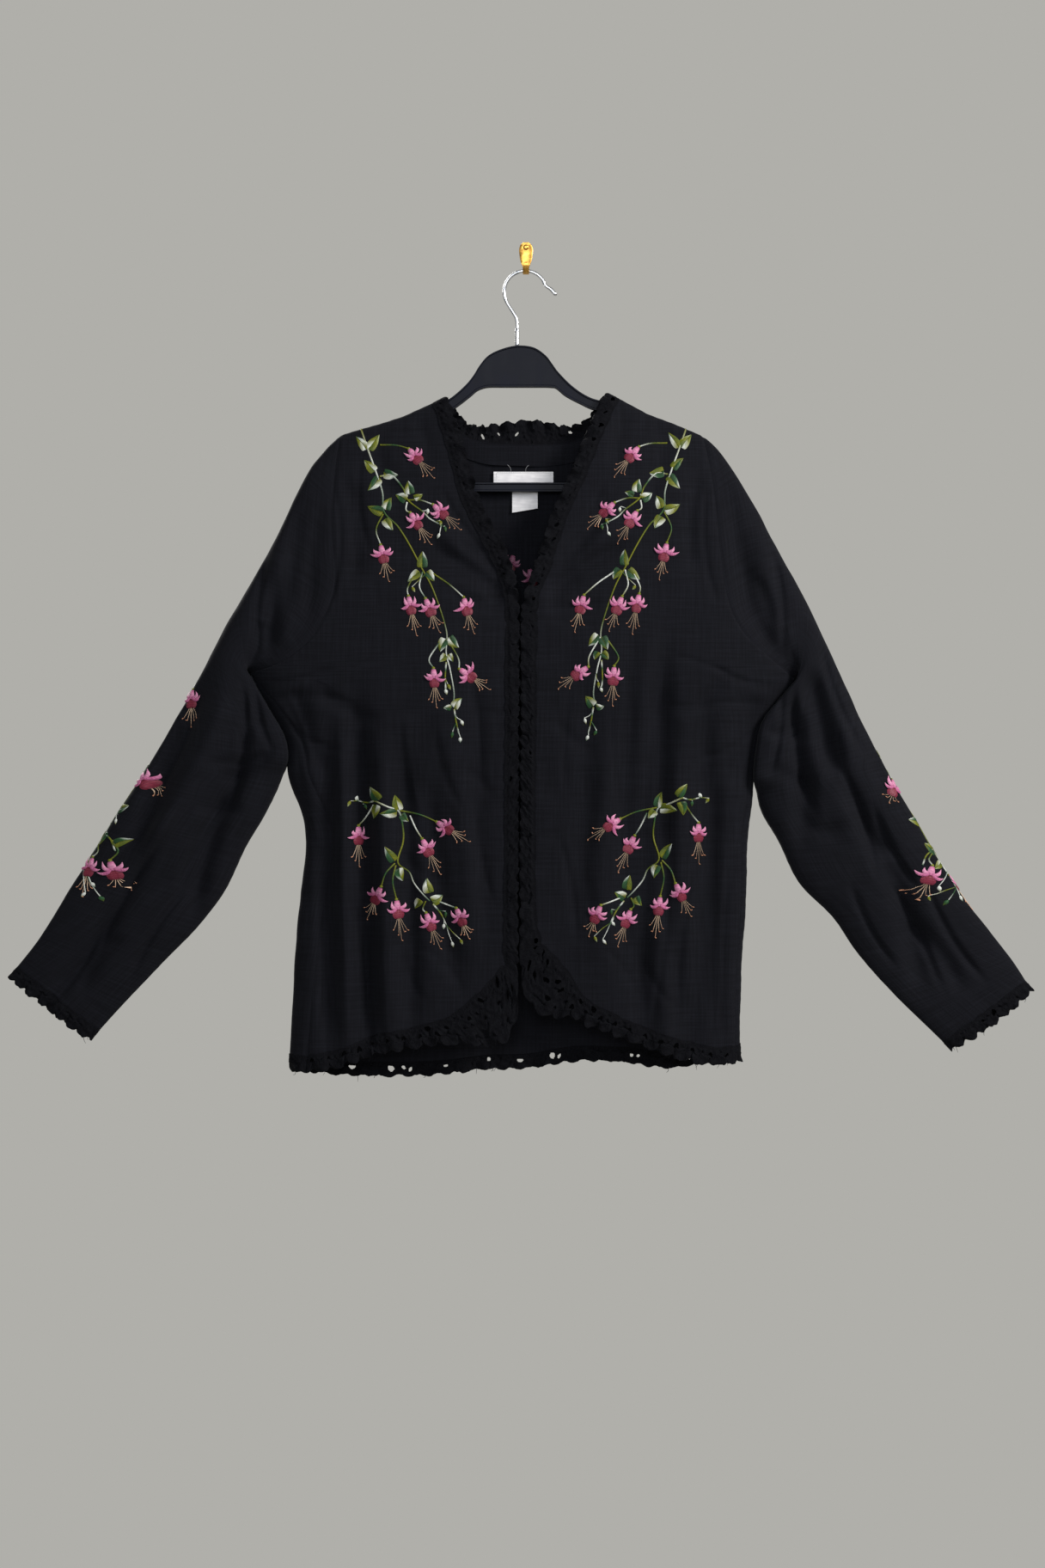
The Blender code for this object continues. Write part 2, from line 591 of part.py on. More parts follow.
def ring_normals(rings, side):
    """Outward unit normals of a tube of rings, from the faces round each point."""
    across = np.roll(rings, -1, axis=1) - rings
    down = np.diff(rings, axis=0)
    faces = unit(np.cross(across[:-1] + across[1:], down + np.roll(down, -1, axis=1)))
    total = np.zeros_like(rings)
    for shift in (0, 1):
        turned = np.roll(faces, shift, axis=1)
        total[:-1] += turned
        total[1:] += turned
    return unit(total) * side


def join_normals(panels):
    """Gives points that panels share one common normal, so that their walls meet edge to edge."""
    points = np.vstack([grid.reshape(-1, 3) for grid, _ in panels])
    normals = np.vstack([normals.reshape(-1, 3) for _, normals in panels])
    near = np.linalg.norm(points[:, None] - points[None], axis=2) < 0.01
    common = unit(near.astype(float) @ normals)
    start = 0
    for grid, panel_normals in panels:
        size = grid.shape[0] * grid.shape[1]
        panel_normals[...] = common[start : start + size].reshape(grid.shape)
        start += size


def pull_back(grid, normals, edges):
    """Moves the seam edges of a panel inwards, square to the edge, by half the seam gap."""
    moved = grid.copy()
    places = {"top": (0, 1, 0), "left": (0, 1, 1), "right": (-1, -2, 1)}
    for edge in edges:
        end, near, axis = places[edge]
        line = np.take(grid, end, axis=axis)
        toward = np.take(grid, near, axis=axis) - line
        normal = np.take(normals, end, axis=axis)
        if edge == "top" and np.allclose(grid[:, 0], grid[:, -1]):
            tangent = np.roll(line, -1, axis=0) - np.roll(line, 1, axis=0)
        else:
            tangent = np.gradient(line, axis=0)
        step = unit(np.cross(normal, tangent))
        step *= np.sign((step * toward).sum(axis=1, keepdims=True))
        target = moved[end] if axis == 0 else moved[:, end]
        target += step * SEAM_GAP / 2
    return moved


def cut_quad(points, quad):
    """Two triangles of a four-sided face, cut along its shorter diagonal."""
    a, b, c, d = quad
    if np.linalg.norm(points[a] - points[c]) <= np.linalg.norm(points[b] - points[d]):
        return [(a, b, c), (a, c, d)]
    return [(a, b, d), (b, c, d)]


def cut_strip(points, outer, inner):
    """Two triangles of a wall's edge, cut from its higher outer corner, so that pieces that meet there agree."""
    (a, b), (c, d) = outer, inner
    if points[a][2] < points[b][2]:
        return [(b, a, c), (b, c, d)]
    return [(b, a, d), (a, c, d)]


def sheet_faces(points, rows, columns, present, closed=False):
    """Faces of a wall made from an outer and an inner grid, with walls round its edges and holes."""
    count = rows * columns
    faces = []

    def is_there(row, col):
        if closed:
            col %= present.shape[1]
        return 0 <= row < present.shape[0] and 0 <= col < present.shape[1] and present[row, col]

    for row, col in np.argwhere(present):
        ring = [(row, col), (row, col + 1), (row + 1, col + 1), (row + 1, col)]
        outer = [r * columns + c % columns for r, c in ring]
        inner = [index + count for index in outer]
        cuts = cut_quad(points, outer)
        faces += cuts + [tuple(index + count for index in reversed(cut)) for cut in cuts]
        beyond = [(row - 1, col), (row, col + 1), (row + 1, col), (row, col - 1)]
        for a, place in enumerate(beyond):
            if not is_there(*place):
                b = (a + 1) % 4
                faces += cut_strip(points, (outer[a], outer[b]), (inner[a], inner[b]))
    return faces


def fan(face):
    """Triangles of a flat face with more corners."""
    return [(face[0], face[i], face[i + 1]) for i in range(1, len(face) - 1)]


def add_object(name, points, faces, material, sharp=40):
    """One named object from points in millimetres, with its faces turned outwards."""
    points = np.asarray(points, float)
    corners = points[np.array([triangle for face in faces for triangle in fan(face)])]
    if np.einsum("ij,ij->i", corners[:, 0], np.cross(corners[:, 1], corners[:, 2])).sum() < 0:
        faces = [tuple(reversed(face)) for face in faces]
    used = sorted({index for face in faces for index in face})
    renumber = {old: new for new, old in enumerate(used)}
    mesh = bpy.data.meshes.new(name)
    mesh.from_pydata([tuple(points[index] * MM) for index in used], [],
                     [tuple(renumber[index] for index in face) for face in faces])
    mesh.shade_smooth()
    mesh.set_sharp_from_angle(angle=math.radians(sharp))
    mesh.materials.append(material)
    obj = bpy.data.objects.new(name, mesh)
    bpy.context.scene.collection.objects.link(obj)
    return obj


def add_wall(name, grid, normals, wall, material, present=None, closed=False):
    """A cloth wall, its outer points as given and its inner points one wall thickness in."""
    rows, columns = grid.shape[:2]
    if present is None:
        present = np.ones((rows - 1, columns if closed else columns - 1), bool)
    points = np.vstack([grid.reshape(-1, 3), (grid - wall * normals).reshape(-1, 3)])
    return add_object(name, points, sheet_faces(points, rows, columns, present, closed), material)


def split_edge(points, normals, step=LACE_STEP):
    """A cloth edge cut into short, nearly equal steps that stay on its straight stretches."""
    out_points, out_normals = [points[0]], [normals[0]]
    for index in range(len(points) - 1):
        count = max(1, round(np.linalg.norm(points[index + 1] - points[index]) / step))
        for part in range(1, count + 1):
            share = part / count
            out_points.append(points[index] * (1 - share) + points[index + 1] * share)
            out_normals.append(normals[index] * (1 - share) + normals[index + 1] * share)
    return np.array(out_points), unit(out_normals)


def seen_edge(table, shares, back=False):
    """Free edge of a lace from a table of share, x and z, laid on the body's surface."""
    x = hermite(shares, column(table, 0), column(table, 1))
    z = hermite(shares, column(table, 0), column(table, 2))
    return np.column_stack([x, surface_y(x, z, back), z])


def lace_grid(edge, normals, free, rows, phase):
    """Points of a lace strip from a cloth edge to its free edge, scalloped and ruffled."""
    reach = free - edge
    width = np.linalg.norm(reach, axis=1, keepdims=True)
    out = reach / width
    inside = np.arange(len(edge)) % 2 == 0
    free = free - out * SCALLOP * inside[:, None]
    start = edge + out * SEAM_GAP
    lengths = np.concatenate([[0], np.cumsum(np.linalg.norm(np.diff(edge, axis=0), axis=1))])
    fade = np.clip(np.minimum(lengths, lengths[-1] - lengths) / RUFFLE_FADE, 0, 1)
    wave = RUFFLE_HEIGHT * fade * np.sin(2 * math.pi * lengths / RUFFLE_WAVE + phase)
    grid = np.array([start * (1 - row) + free * row + normals * (row**1.5 * wave)[:, None] for row in rows])
    for end, near in ((0, 1), (-1, -2)):
        toward = unit(grid[:, near] - grid[:, end])
        grid[:, end] += toward * SEAM_GAP / 2
    return grid


def lace_gaps(grid, step, gap_rows):
    """Which cells of a lace are there, and its grid with the corners of each gap drawn together."""
    present = np.ones((grid.shape[0] - 1, grid.shape[1] - 1), bool)
    grid = grid.copy()
    for order, row in enumerate(gap_rows):
        for col in range(2 + order * step // 2, grid.shape[1] - 3, step):
            present[row, col] = False
            cell = grid[row : row + 2, col : col + 2]
            middle = cell.mean(axis=(0, 1))
            down = (cell[1] - cell[0]).mean(axis=0)
            across = (cell[:, 1] - cell[:, 0]).mean(axis=0)
            down *= min(1, LACE_HOLE / np.linalg.norm(down))
            across *= min(1, LACE_HOLE / np.linalg.norm(across))
            for r in (0, 1):
                for c in (0, 1):
                    grid[row + r, col + c] = middle + down * (r - 0.5) + across * (c - 0.5)
    return grid, present


def add_lace(name, edge, normals, free, material, rows=LACE_ROWS, step=HOLE_STEP, gap_rows=(1,), phase=0.0):
    """A lace strip between a cloth edge and its free edge, as a wall with its gaps cut through."""
    grid = lace_grid(edge, normals, free, rows, phase)
    grid, present = lace_gaps(grid, step, gap_rows)
    return add_wall(name, grid, np.repeat(normals[None], len(rows), axis=0), LACE_WALL, material, present)


def add_cuff_lace(name, grid, normals, lace):
    """The lace ring of a cuff, cut at its two edges into a front and a back piece."""
    axis = unit((grid[-1] - grid[-2]).mean(axis=0))
    half = ARMHOLE_ROWS
    halves = {"front": list(range(half + 1)), "back": list(range(half, 2 * half)) + [0]}
    for half_name, places in halves.items():
        edge, across = split_edge(grid[-1, places], normals[-1, places])
        free = edge + axis * table_value(shares_of(edge), CUFF_LACE)[:, None]
        add_lace(f"cuff_lace_{name}_{half_name}", edge, across, free, lace)


def add_front_lace(side, name, grid, normals, lace):
    """The edging of one front: down the neckline, down the centre and round the cutaway hem."""
    cut = NECK_LACE_ROWS
    edge, across = split_edge(grid[: cut + 1, -1], normals[: cut + 1, -1])
    join = (centre_x(edge[-1, 2]) + side * CENTRE_LACE_GAP / 2, edge[-1, 2])
    free = seen_edge(NECK_LACE[side] + ((1, *join),), shares_of(edge))
    add_lace(f"neck_lace_{name}", edge, across, free, lace)

    edge, across = split_edge(grid[cut:, -1], normals[cut:, -1])
    shares = shares_of(edge)
    z = edge[:, 2] - table_value(shares, CENTRE_LACE_DROP)
    x = centre_x(z) + side * CENTRE_LACE_GAP / 2
    free = np.column_stack([x, surface_y(x, z), z])
    add_lace(f"centre_lace_{name}", edge, across, free, lace, step=CENTRE_HOLE_STEP, phase=1.0)

    corner = free[-1]
    edge, across = split_edge(grid[-1, ::-1], normals[-1, ::-1])
    free = seen_edge(HEM_LACE[side], shares_of(edge))
    free[0] = corner
    add_lace(f"hem_lace_{name}", edge, across, free, lace, rows=WIDE_LACE_ROWS, gap_rows=(1, 2))


def add_back_lace(grid, normals, lace):
    """The edging of the back: round the hem, and standing up round the neck."""
    edge, across = split_edge(grid[-1], normals[-1])
    x = edge[:, 0]
    z = edge[:, 2] - table_value(shares_of(edge), BACK_HEM_LACE)
    on_front = edge[:, 1] < depth_row(z)[0]
    y = np.where(on_front, surface_y(x, z), surface_y(x, z, back=True))
    free = np.column_stack([x, y, z])
    wrapped = np.abs(x - centre_x(z)) > half_width(z, np.where(x < 0, LEFT, RIGHT)[0]) - SIDE_ROUND
    free[wrapped, 1] = edge[wrapped, 1]
    add_lace("back_hem_lace", edge, across, free, lace)

    inside = slice(3, -3)
    edge, across = split_edge(grid[0, inside], normals[0, inside])
    free = seen_edge(BACK_NECK_LACE, shares_of(edge), back=True)
    add_lace("back_neck_lace", edge, across, free, lace)


def add_inside_patch(name, x, top_z, bottom_z, wall, material):
    """A flat piece that lies on the inside of the back panel."""
    z = top_z[None, :] + (bottom_z - top_z)[None, :] * np.linspace(0, 1, 3)[:, None]
    x = np.repeat(x[None, :], 3, axis=0)
    inward = np.zeros(x.shape + (3,))
    inward[..., 1] = -1.0
    grid = np.stack([x, surface_y(x, z, back=True), z], axis=-1)
    return add_wall(name, grid + inward * (CLOTH_WALL + LIE_GAP + wall), inward, wall, material)


def add_inside_pieces(linen, tape):
    """Back neck facing and the two blank labels, on the inside of the back panel."""
    x = np.linspace(-FACING_HALF_WIDTH, FACING_HALF_WIDTH, 9) - 4
    top = hermite(x, column(BACK_NECK, 0), column(BACK_NECK, 1)) - FACING_DROP
    add_inside_patch("back_neck_facing", x, top, top - FACING_DEPTH, FACING_WALL, linen)
    for name, (left, right, high, low) in (("neck_label", NECK_LABEL), ("care_label", CARE_LABEL)):
        x = np.linspace(left, right, 4)
        add_inside_patch(name, x, np.full(4, float(high)), np.full(4, float(low)), LABEL_WALL, tape)


def bar_section(upper, lower, half_thick):
    """Eight corners of a hanger section between an upper and a lower point."""
    upper, lower = np.array(upper, float), np.array(lower, float)
    middle = (upper + lower) / 2
    reach = (upper - lower) / 2
    cut = half_thick * HANGER_ROUND
    low = 1 - cut / np.linalg.norm(reach)
    thin = half_thick - cut
    pattern = ((1, -thin), (1, thin), (low, half_thick), (-low, half_thick), (-1, thin), (-1, -thin),
               (-low, -half_thick), (low, -half_thick))
    return [(middle[0] + a * reach[0], HANGER_Y + b, middle[1] + a * reach[1]) for a, b in pattern]


def add_loft(name, rings, material, sharp=40):
    """A solid through rings of points, with its two ends closed."""
    size = len(rings[0])
    faces = []
    for start in range(0, (len(rings) - 1) * size, size):
        for corner in range(size):
            a = start + corner
            b = start + (corner + 1) % size
            faces += [(a, b, b + size), (a, b + size, a + size)]
    last = (len(rings) - 1) * size
    faces += [tuple(reversed(range(size))), tuple(range(last, last + size))]
    return add_object(name, np.array(rings, float).reshape(-1, 3), faces, material, sharp)


def add_hanger(plastic):
    """The moulded arms with their drop ends, and the straight trouser bar between them."""
    rings = [bar_section((ux, uz), (lx, lz), thick) for ux, uz, lx, lz, thick in HANGER_ARMS]
    add_loft("hanger_arms", rings, plastic)
    left, low_z, _, high_z, thick = HANGER_ARMS[0]
    right = HANGER_ARMS[-1][0]
    rings = [bar_section((x, high_z), (x, low_z), thick) for x in (left + SEAM_GAP, right - SEAM_GAP)]
    add_loft("hanger_bar", rings, plastic)


def add_hook(wire):
    """The wire hook: its flared tip, round part and stem as one round bar."""
    turns = np.radians(np.linspace(HOOK_START_DEG, HOOK_END_DEG, 17))
    round_part = np.column_stack([HOOK_CENTRE[0] + HOOK_RADIUS * np.cos(turns),
                                  HOOK_CENTRE[1] + HOOK_RADIUS * np.sin(turns)])
    flare = (np.array(HOOK_TIP) + round_part[0]) / 2 + (0.4, 0.6)
    route = np.vstack([HOOK_TIP, flare, round_part, HOOK_STEM])
    radii = np.full(len(route), WIRE_RADIUS)
    radii[-2:] = STEM_RADIUS
    tangents = unit(np.gradient(route, axis=0))
    rings = []
    for (x, z), (tx, tz), radius in zip(route, tangents, radii):
        angles = 2 * math.pi * np.arange(WIRE_SIDES) / WIRE_SIDES
        rings.append([(x - tz * radius * math.cos(a), HANGER_Y + radius * math.sin(a),
                       z + tx * radius * math.cos(a)) for a in angles])
    add_loft("hanger_hook", rings, wire)


def add_wall_hook(brass):
    """The brass strip, flat on the wall above and bent into the cup that holds the wire, with its nail."""
    half = PLATE_THICK / 2
    path = [(-half, z, width) for z, width in PLATE]
    for step in range(1, CUP_STEPS + 1):
        turn = math.pi * step / CUP_STEPS
        path.append((CUP_CENTRE[0] + CUP_HALF[0] * math.cos(turn), CUP_CENTRE[1] - CUP_HALF[1] * math.sin(turn),
                     CUP_HALF_WIDTH))
    places = np.array(path)
    tangents = np.gradient(places[:, :2], axis=0)
    tangents[: len(PLATE)] = (0.0, -1.0)
    rings = []
    for (y, z, width), (ty, tz) in zip(path, unit(tangents)):
        out_y, out_z = -tz * half, ty * half
        rings.append([(-width, y + out_y, z + out_z), (width, y + out_y, z + out_z),
                      (width, y - out_y, z - out_z), (-width, y - out_y, z - out_z)])
    add_loft("wall_hook", rings, brass, sharp=30)
    face = -PLATE_THICK - SEAM_GAP
    turns = 2 * math.pi * np.arange(NAIL_SIDES) / NAIL_SIDES
    rings = [[(NAIL_AT[0] + NAIL_RADIUS * size * math.cos(t), face - out,
               NAIL_AT[1] + NAIL_RADIUS * size * math.sin(t)) for t in turns] for out, size in NAIL_PROFILE]
    add_loft("wall_nail", rings, brass)


def add_finish(name, colour, roughness, metallic=0.0):
    """A plain finish."""
    finish = bpy.data.materials.new(name)
    finish.use_nodes = True
    shader = finish.node_tree.nodes["Principled BSDF"]
    shader.inputs["Base Color"].default_value = (*colour, 1.0)
    shader.inputs["Roughness"].default_value = roughness
    shader.inputs["Metallic"].default_value = metallic
    return finish


def shoulder_up(side):
    """Direction square to the shoulder seam, upwards, in the hanger's plane."""
    neck, arm = (np.array(SHOULDER[side][place], float) for place in (SHOULDER_NECK, SHOULDER_ARM))
    run_x, run_z = unit(neck - arm)
    return np.array([-run_z, 0.0, run_x]) * np.sign(run_x)


def add_garment(linen, lace, tape):
    """Every cut piece of the cardigan."""
    fronts, front_normals, sleeves, sleeve_normals = {}, {}, {}, {}
    back, back_normals = back_grid()
    seam = {LEFT: slice(0, 4), RIGHT: slice(-4, None)}
    rows = slice(0, ARMHOLE_ROWS + 1)
    for side in (LEFT, RIGHT):
        fronts[side], front_normals[side] = front_grid(side)
        sleeves[side] = sleeve_grid(side, fronts[side][rows, 0], back[rows, 0 if side == LEFT else -1])
        sleeve_normals[side] = ring_normals(sleeves[side], side)
        front_normals[side][0] = shoulder_up(side)
        back_normals[0, seam[side]] = shoulder_up(side)
    panels = [(fronts[side], front_normals[side]) for side in fronts] + [(back, back_normals)]
    join_normals(panels + [(sleeves[side][:1], sleeve_normals[side][:1]) for side in sleeves])

    back = pull_back(back, back_normals, ("top", "left", "right"))
    add_wall("back_panel", back, back_normals, CLOTH_WALL, linen)
    add_back_lace(back, back_normals, lace)
    for side, name in ((LEFT, "left"), (RIGHT, "right")):
        grid = pull_back(fronts[side], front_normals[side], ("top", "left"))
        add_wall(f"front_panel_{name}", grid, front_normals[side], CLOTH_WALL, linen)
        add_front_lace(side, name, grid, front_normals[side], lace)
        grid = pull_back(sleeves[side], sleeve_normals[side], ("top",))
        add_wall(f"sleeve_{name}", grid, sleeve_normals[side], CLOTH_WALL, linen, closed=True)
        add_cuff_lace(name, grid, sleeve_normals[side], lace)
    add_inside_pieces(linen, tape)


def main():
    """Makes every piece of the garment, its hanger and its wall hook."""
    for obj in list(bpy.data.objects):
        bpy.data.objects.remove(obj, do_unlink=True)
    linen = add_finish("linen", (0.0085, 0.0090, 0.0110), 0.85)
    lace = add_finish("lace", (0.0060, 0.0062, 0.0072), 0.9)
    tape = add_finish("label_tape", (0.62, 0.62, 0.60), 0.8)
    plastic = add_finish("hanger_plastic", (0.026, 0.027, 0.033), 0.55)
    chrome = add_finish("chrome", (0.72, 0.73, 0.75), 0.2, 1.0)
    brass = add_finish("brass", (0.55, 0.38, 0.13), 0.35, 1.0)
    add_garment(linen, lace, tape)
    add_hanger(plastic)
    add_hook(chrome)
    add_wall_hook(brass)


main()
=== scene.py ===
"""A black linen cardigan with lace edging and embroidered fuchsia sprays, on a moulded hanger.

The hanger hangs by its wire from a brass hook. Sizes are in millimetres, seen from the front: x to the
viewer's right, z up, y into the wall, with the wall at y = 0 and the origin on the wall hook's back face.
Every cloth piece is a thin shell on the form of its solid.
"""

import logging
import math
from collections.abc import Callable, Sequence
from dataclasses import dataclass, field, replace
from enum import Enum

import bpy
import numpy as np
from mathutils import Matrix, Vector
from mathutils.bvhtree import BVHTree

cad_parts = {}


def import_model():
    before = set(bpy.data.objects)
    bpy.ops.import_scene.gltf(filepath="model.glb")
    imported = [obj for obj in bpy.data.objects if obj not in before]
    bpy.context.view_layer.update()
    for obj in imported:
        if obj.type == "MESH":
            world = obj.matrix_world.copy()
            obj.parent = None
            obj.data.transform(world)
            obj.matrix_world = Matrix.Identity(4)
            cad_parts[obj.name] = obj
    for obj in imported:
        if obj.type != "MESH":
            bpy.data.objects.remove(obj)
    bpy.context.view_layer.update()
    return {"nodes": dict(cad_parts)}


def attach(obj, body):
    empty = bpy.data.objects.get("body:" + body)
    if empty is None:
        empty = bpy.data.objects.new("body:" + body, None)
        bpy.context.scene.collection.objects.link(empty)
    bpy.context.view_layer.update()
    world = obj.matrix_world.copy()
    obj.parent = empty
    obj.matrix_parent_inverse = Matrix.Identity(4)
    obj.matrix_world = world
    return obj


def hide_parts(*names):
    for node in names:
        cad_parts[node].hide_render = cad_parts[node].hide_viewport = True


LOG = logging.getLogger("cardigan")
MM = 0.001
Array = np.ndarray
Table = tuple[tuple[float, ...], ...]
Obj = bpy.types.Object
Tree = bpy.types.NodeTree
Node = bpy.types.Node
Socket = bpy.types.NodeSocket
Random = np.random.Generator


class Side(Enum):
    """A side of the garment, as the viewer sees it from the front."""

    LEFT = -1
    RIGHT = 1

    @property
    def word(self) -> str:
        """The side's name inside piece names."""
        return self.name.lower()


class Slot(Enum):
    """The material slots of the record."""

    LINEN = "linen"
    LACE = "lace"
    TAPE = "label_tape"
    THREAD = "embroidery_thread"
    PLASTIC = "hanger_plastic"
    CHROME = "chrome"
    BRASS = "brass"


class Edge(Enum):
    """A sewn edge of a panel's grid: the axis it lies across, its own line there and the line beside it."""

    TOP = (0, 0, 1)
    LEFT = (1, 0, 1)
    RIGHT = (1, -1, -2)


Sided = dict[Side, Table]
L, R = Side.LEFT, Side.RIGHT

# Depth of the hanging body, columns z, middle plane y, front half depth, back half depth
DEPTHS: Table = (
    (-140, -23.0, 24.0, 20.0),
    (-300, -24.0, 26.0, 21.0),
    (-430, -25.0, 27.0, 22.0),
    (-560, -23.0, 23.0, 19.5),
    (-700, -23.0, 20.0, 19.0),
    (-840, -24.0, 19.0, 18.5),
)

# Shoulder line over the hanger, columns x, z, from the neck outwards and on down the sleeve head
SHOULDER: Sided = {
    L: ((-79.4, -137.3), (-94, -144), (-125, -158.5), (-157, -168.5), (-189, -178), (-203, -192),
        (-218, -211), (-245, -269), (-290, -350)),
    R: ((79.9, -132.5), (94, -140), (123, -155.5), (152, -167), (181, -179.6), (199, -198), (218, -226),
        (259, -301), (284, -350)),
}

# Outline of the body below the arms, columns z, x, carried on upwards inside the sleeve head
SIDE_LINE: Sided = {
    L: ((-100, -262), (-250, -288), (-385, -290), (-422, -281), (-456, -262), (-490, -244), (-524, -241),
        (-574, -224), (-655, -230), (-730, -236), (-840, -241)),
    R: ((-100, 255), (-250, 279), (-390, 282), (-429, 274), (-448, 258), (-466, 243), (-500, 234),
        (-546, 230), (-580, 226), (-655, 224), (-730, 219), (-840, 217)),
}

# Distance of the side seam from that outline, columns z, inset
SEAM_INSET: Sided = {
    L: ((-840, 20), (-500, 19), (-450, 10), (-420, 0)),
    R: ((-840, 5), (-520, 5), (-460, 3), (-427, 0)),
}

# Armhole seam of the fronts, columns x, z, shoulder to underarm
ARMHOLE: Sided = {
    L: ((-189, -178), (-194, -222), (-196, -277), (-192, -325), (-198, -355), (-213, -384), (-231, -401),
        (-252, -414), (-281, -422)),
    R: ((181, -179.6), (188, -218), (192, -250), (197, -306), (205, -353), (218, -380), (233, -396),
        (252, -412), (274, -429)),
}

# Neckline and centre edge of each front, columns x, z, shoulder to hem corner
FRONT_EDGE: Sided = {
    L: ((-94, -144), (-87, -166), (-80, -188), (-73, -214), (-65, -242), (-56, -264), (-45, -284),
        (-35, -303), (-26, -324), (-20, -348), (-19, -400), (-19.5, -520), (-20.5, -640), (-21, -716)),
    R: ((94, -140), (86, -158), (79, -174), (71, -193), (63, -213), (55, -232), (47, -250), (39, -268),
        (31, -292), (22, -320), (12, -346), (9, -400), (8.5, -520), (8, -640), (9.5, -675), (15, -695)),
}

# Cutaway hem of each front, columns x, z, side seam to centre front
FRONT_HEM: Sided = {
    L: ((-221, -809), (-198, -806), (-175, -798), (-153, -789), (-133, -785), (-110, -780), (-88, -774),
        (-70, -765), (-52, -750), (-34, -733), (-21, -716)),
    R: ((212, -800), (190, -801), (169, -797), (142, -789), (118, -780), (98, -772), (84, -765),
        (68, -757), (54, -745), (44, -727), (29, -709), (15, -695)),
}

# Back neck edge and back hem edge, columns x, z
BACK_NECK: Table = (
    (-94, -144), (-86, -159), (-72, -173), (-50, -183), (-10, -187), (34, -186), (62, -178), (78, -163),
    (94, -140),
)
BACK_HEM: Table = (
    (-250, -809), (-221, -811), (-185, -816), (-137, -818), (-82, -816), (-40, -811), (0, -810),
    (50, -802), (100, -803), (150, -808), (185, -802), (221, -799), (250, -799),
)
# Shares of the back's width at which its columns lie, and of the neck edge's length between the shoulders
BACK_COLUMNS = (
    0, 0.035, 0.08, 0.14, 0.2, 0.27, 0.345, 0.42, 0.5, 0.58, 0.655, 0.73, 0.8, 0.86, 0.92, 0.965, 1,
)
BACK_NECK_SHARES = (0, 0.024, 0.1, 0.22, 0.36, 0.5, 0.64, 0.78, 0.9, 0.976, 1)

# Sleeve sections, columns outer x, outer z, inner x, inner z
SLEEVE: Sided = {
    L: ((-189, -178, -281, -422), (-203, -192, -282.3, -420.7), (-218, -211, -283.6, -420.2),
        (-235, -243, -284.9, -420.6), (-253, -284, -285.9, -421.8), (-275, -322, -286.5, -423.6),
        (-296, -360, -286.3, -426.6), (-317, -400, -280, -438), (-337, -436, -264, -463),
        (-355, -468, -250, -489), (-373, -499, -246, -520), (-393, -531, -263, -562),
        (-416, -567, -285, -600), (-441, -606, -306, -643), (-465, -643, -335, -682),
        (-488, -681, -370, -717), (-505, -704, -404, -753), (-518, -720, -434, -786)),
    R: ((181, -179.6, 274, -429), (196, -194, 275.3, -427.7), (211, -214, 276.6, -427.2),
        (230, -246, 277.9, -427.6), (248, -280, 278.9, -428.8), (266, -315, 279.5, -430.6),
        (284, -350, 279.3, -433.6), (301, -386, 270, -445), (318, -421, 251, -467),
        (336, -460, 238, -492), (354, -496, 234, -528), (376, -537, 238, -560), (402, -583, 256, -592),
        (427, -624, 277, -634), (450, -657, 311, -669), (471, -683, 336, -705), (489, -707, 371, -745),
        (508, -735, 424, -797)),
}
# Middle y, front depth and back depth of those sections, the same on both sides
SLEEVE_DEPTHS: Table = (
    (-10.5, 21, 6.5), (-12, 21, 8), (-14, 21, 10), (-15.5, 22, 11.5), (-17, 23, 13),
    (-18, 24, 14), (-19, 24, 14.5), (-20, 25, 15), (-21, 25, 16), (-21.5, 25, 16.5), (-22, 24, 17),
    (-22, 23, 16), (-21, 22, 15), (-20, 20, 13.5), (-19, 18, 12), (-18, 15, 11), (-17.5, 13, 10),
    (-17, 11, 9.5),
)

# Heights between which a sleeve's inner edge lies against the body
CONTACT_SPAN = {L: (-421.0, -528.0), R: (-428.0, -546.0)}
# Share of the armhole's own curve that each of a sleeve's first sections still has
ARMHOLE_FADE = (1.0, 0.8, 0.6, 0.4, 0.2, 0.06, 0.0)

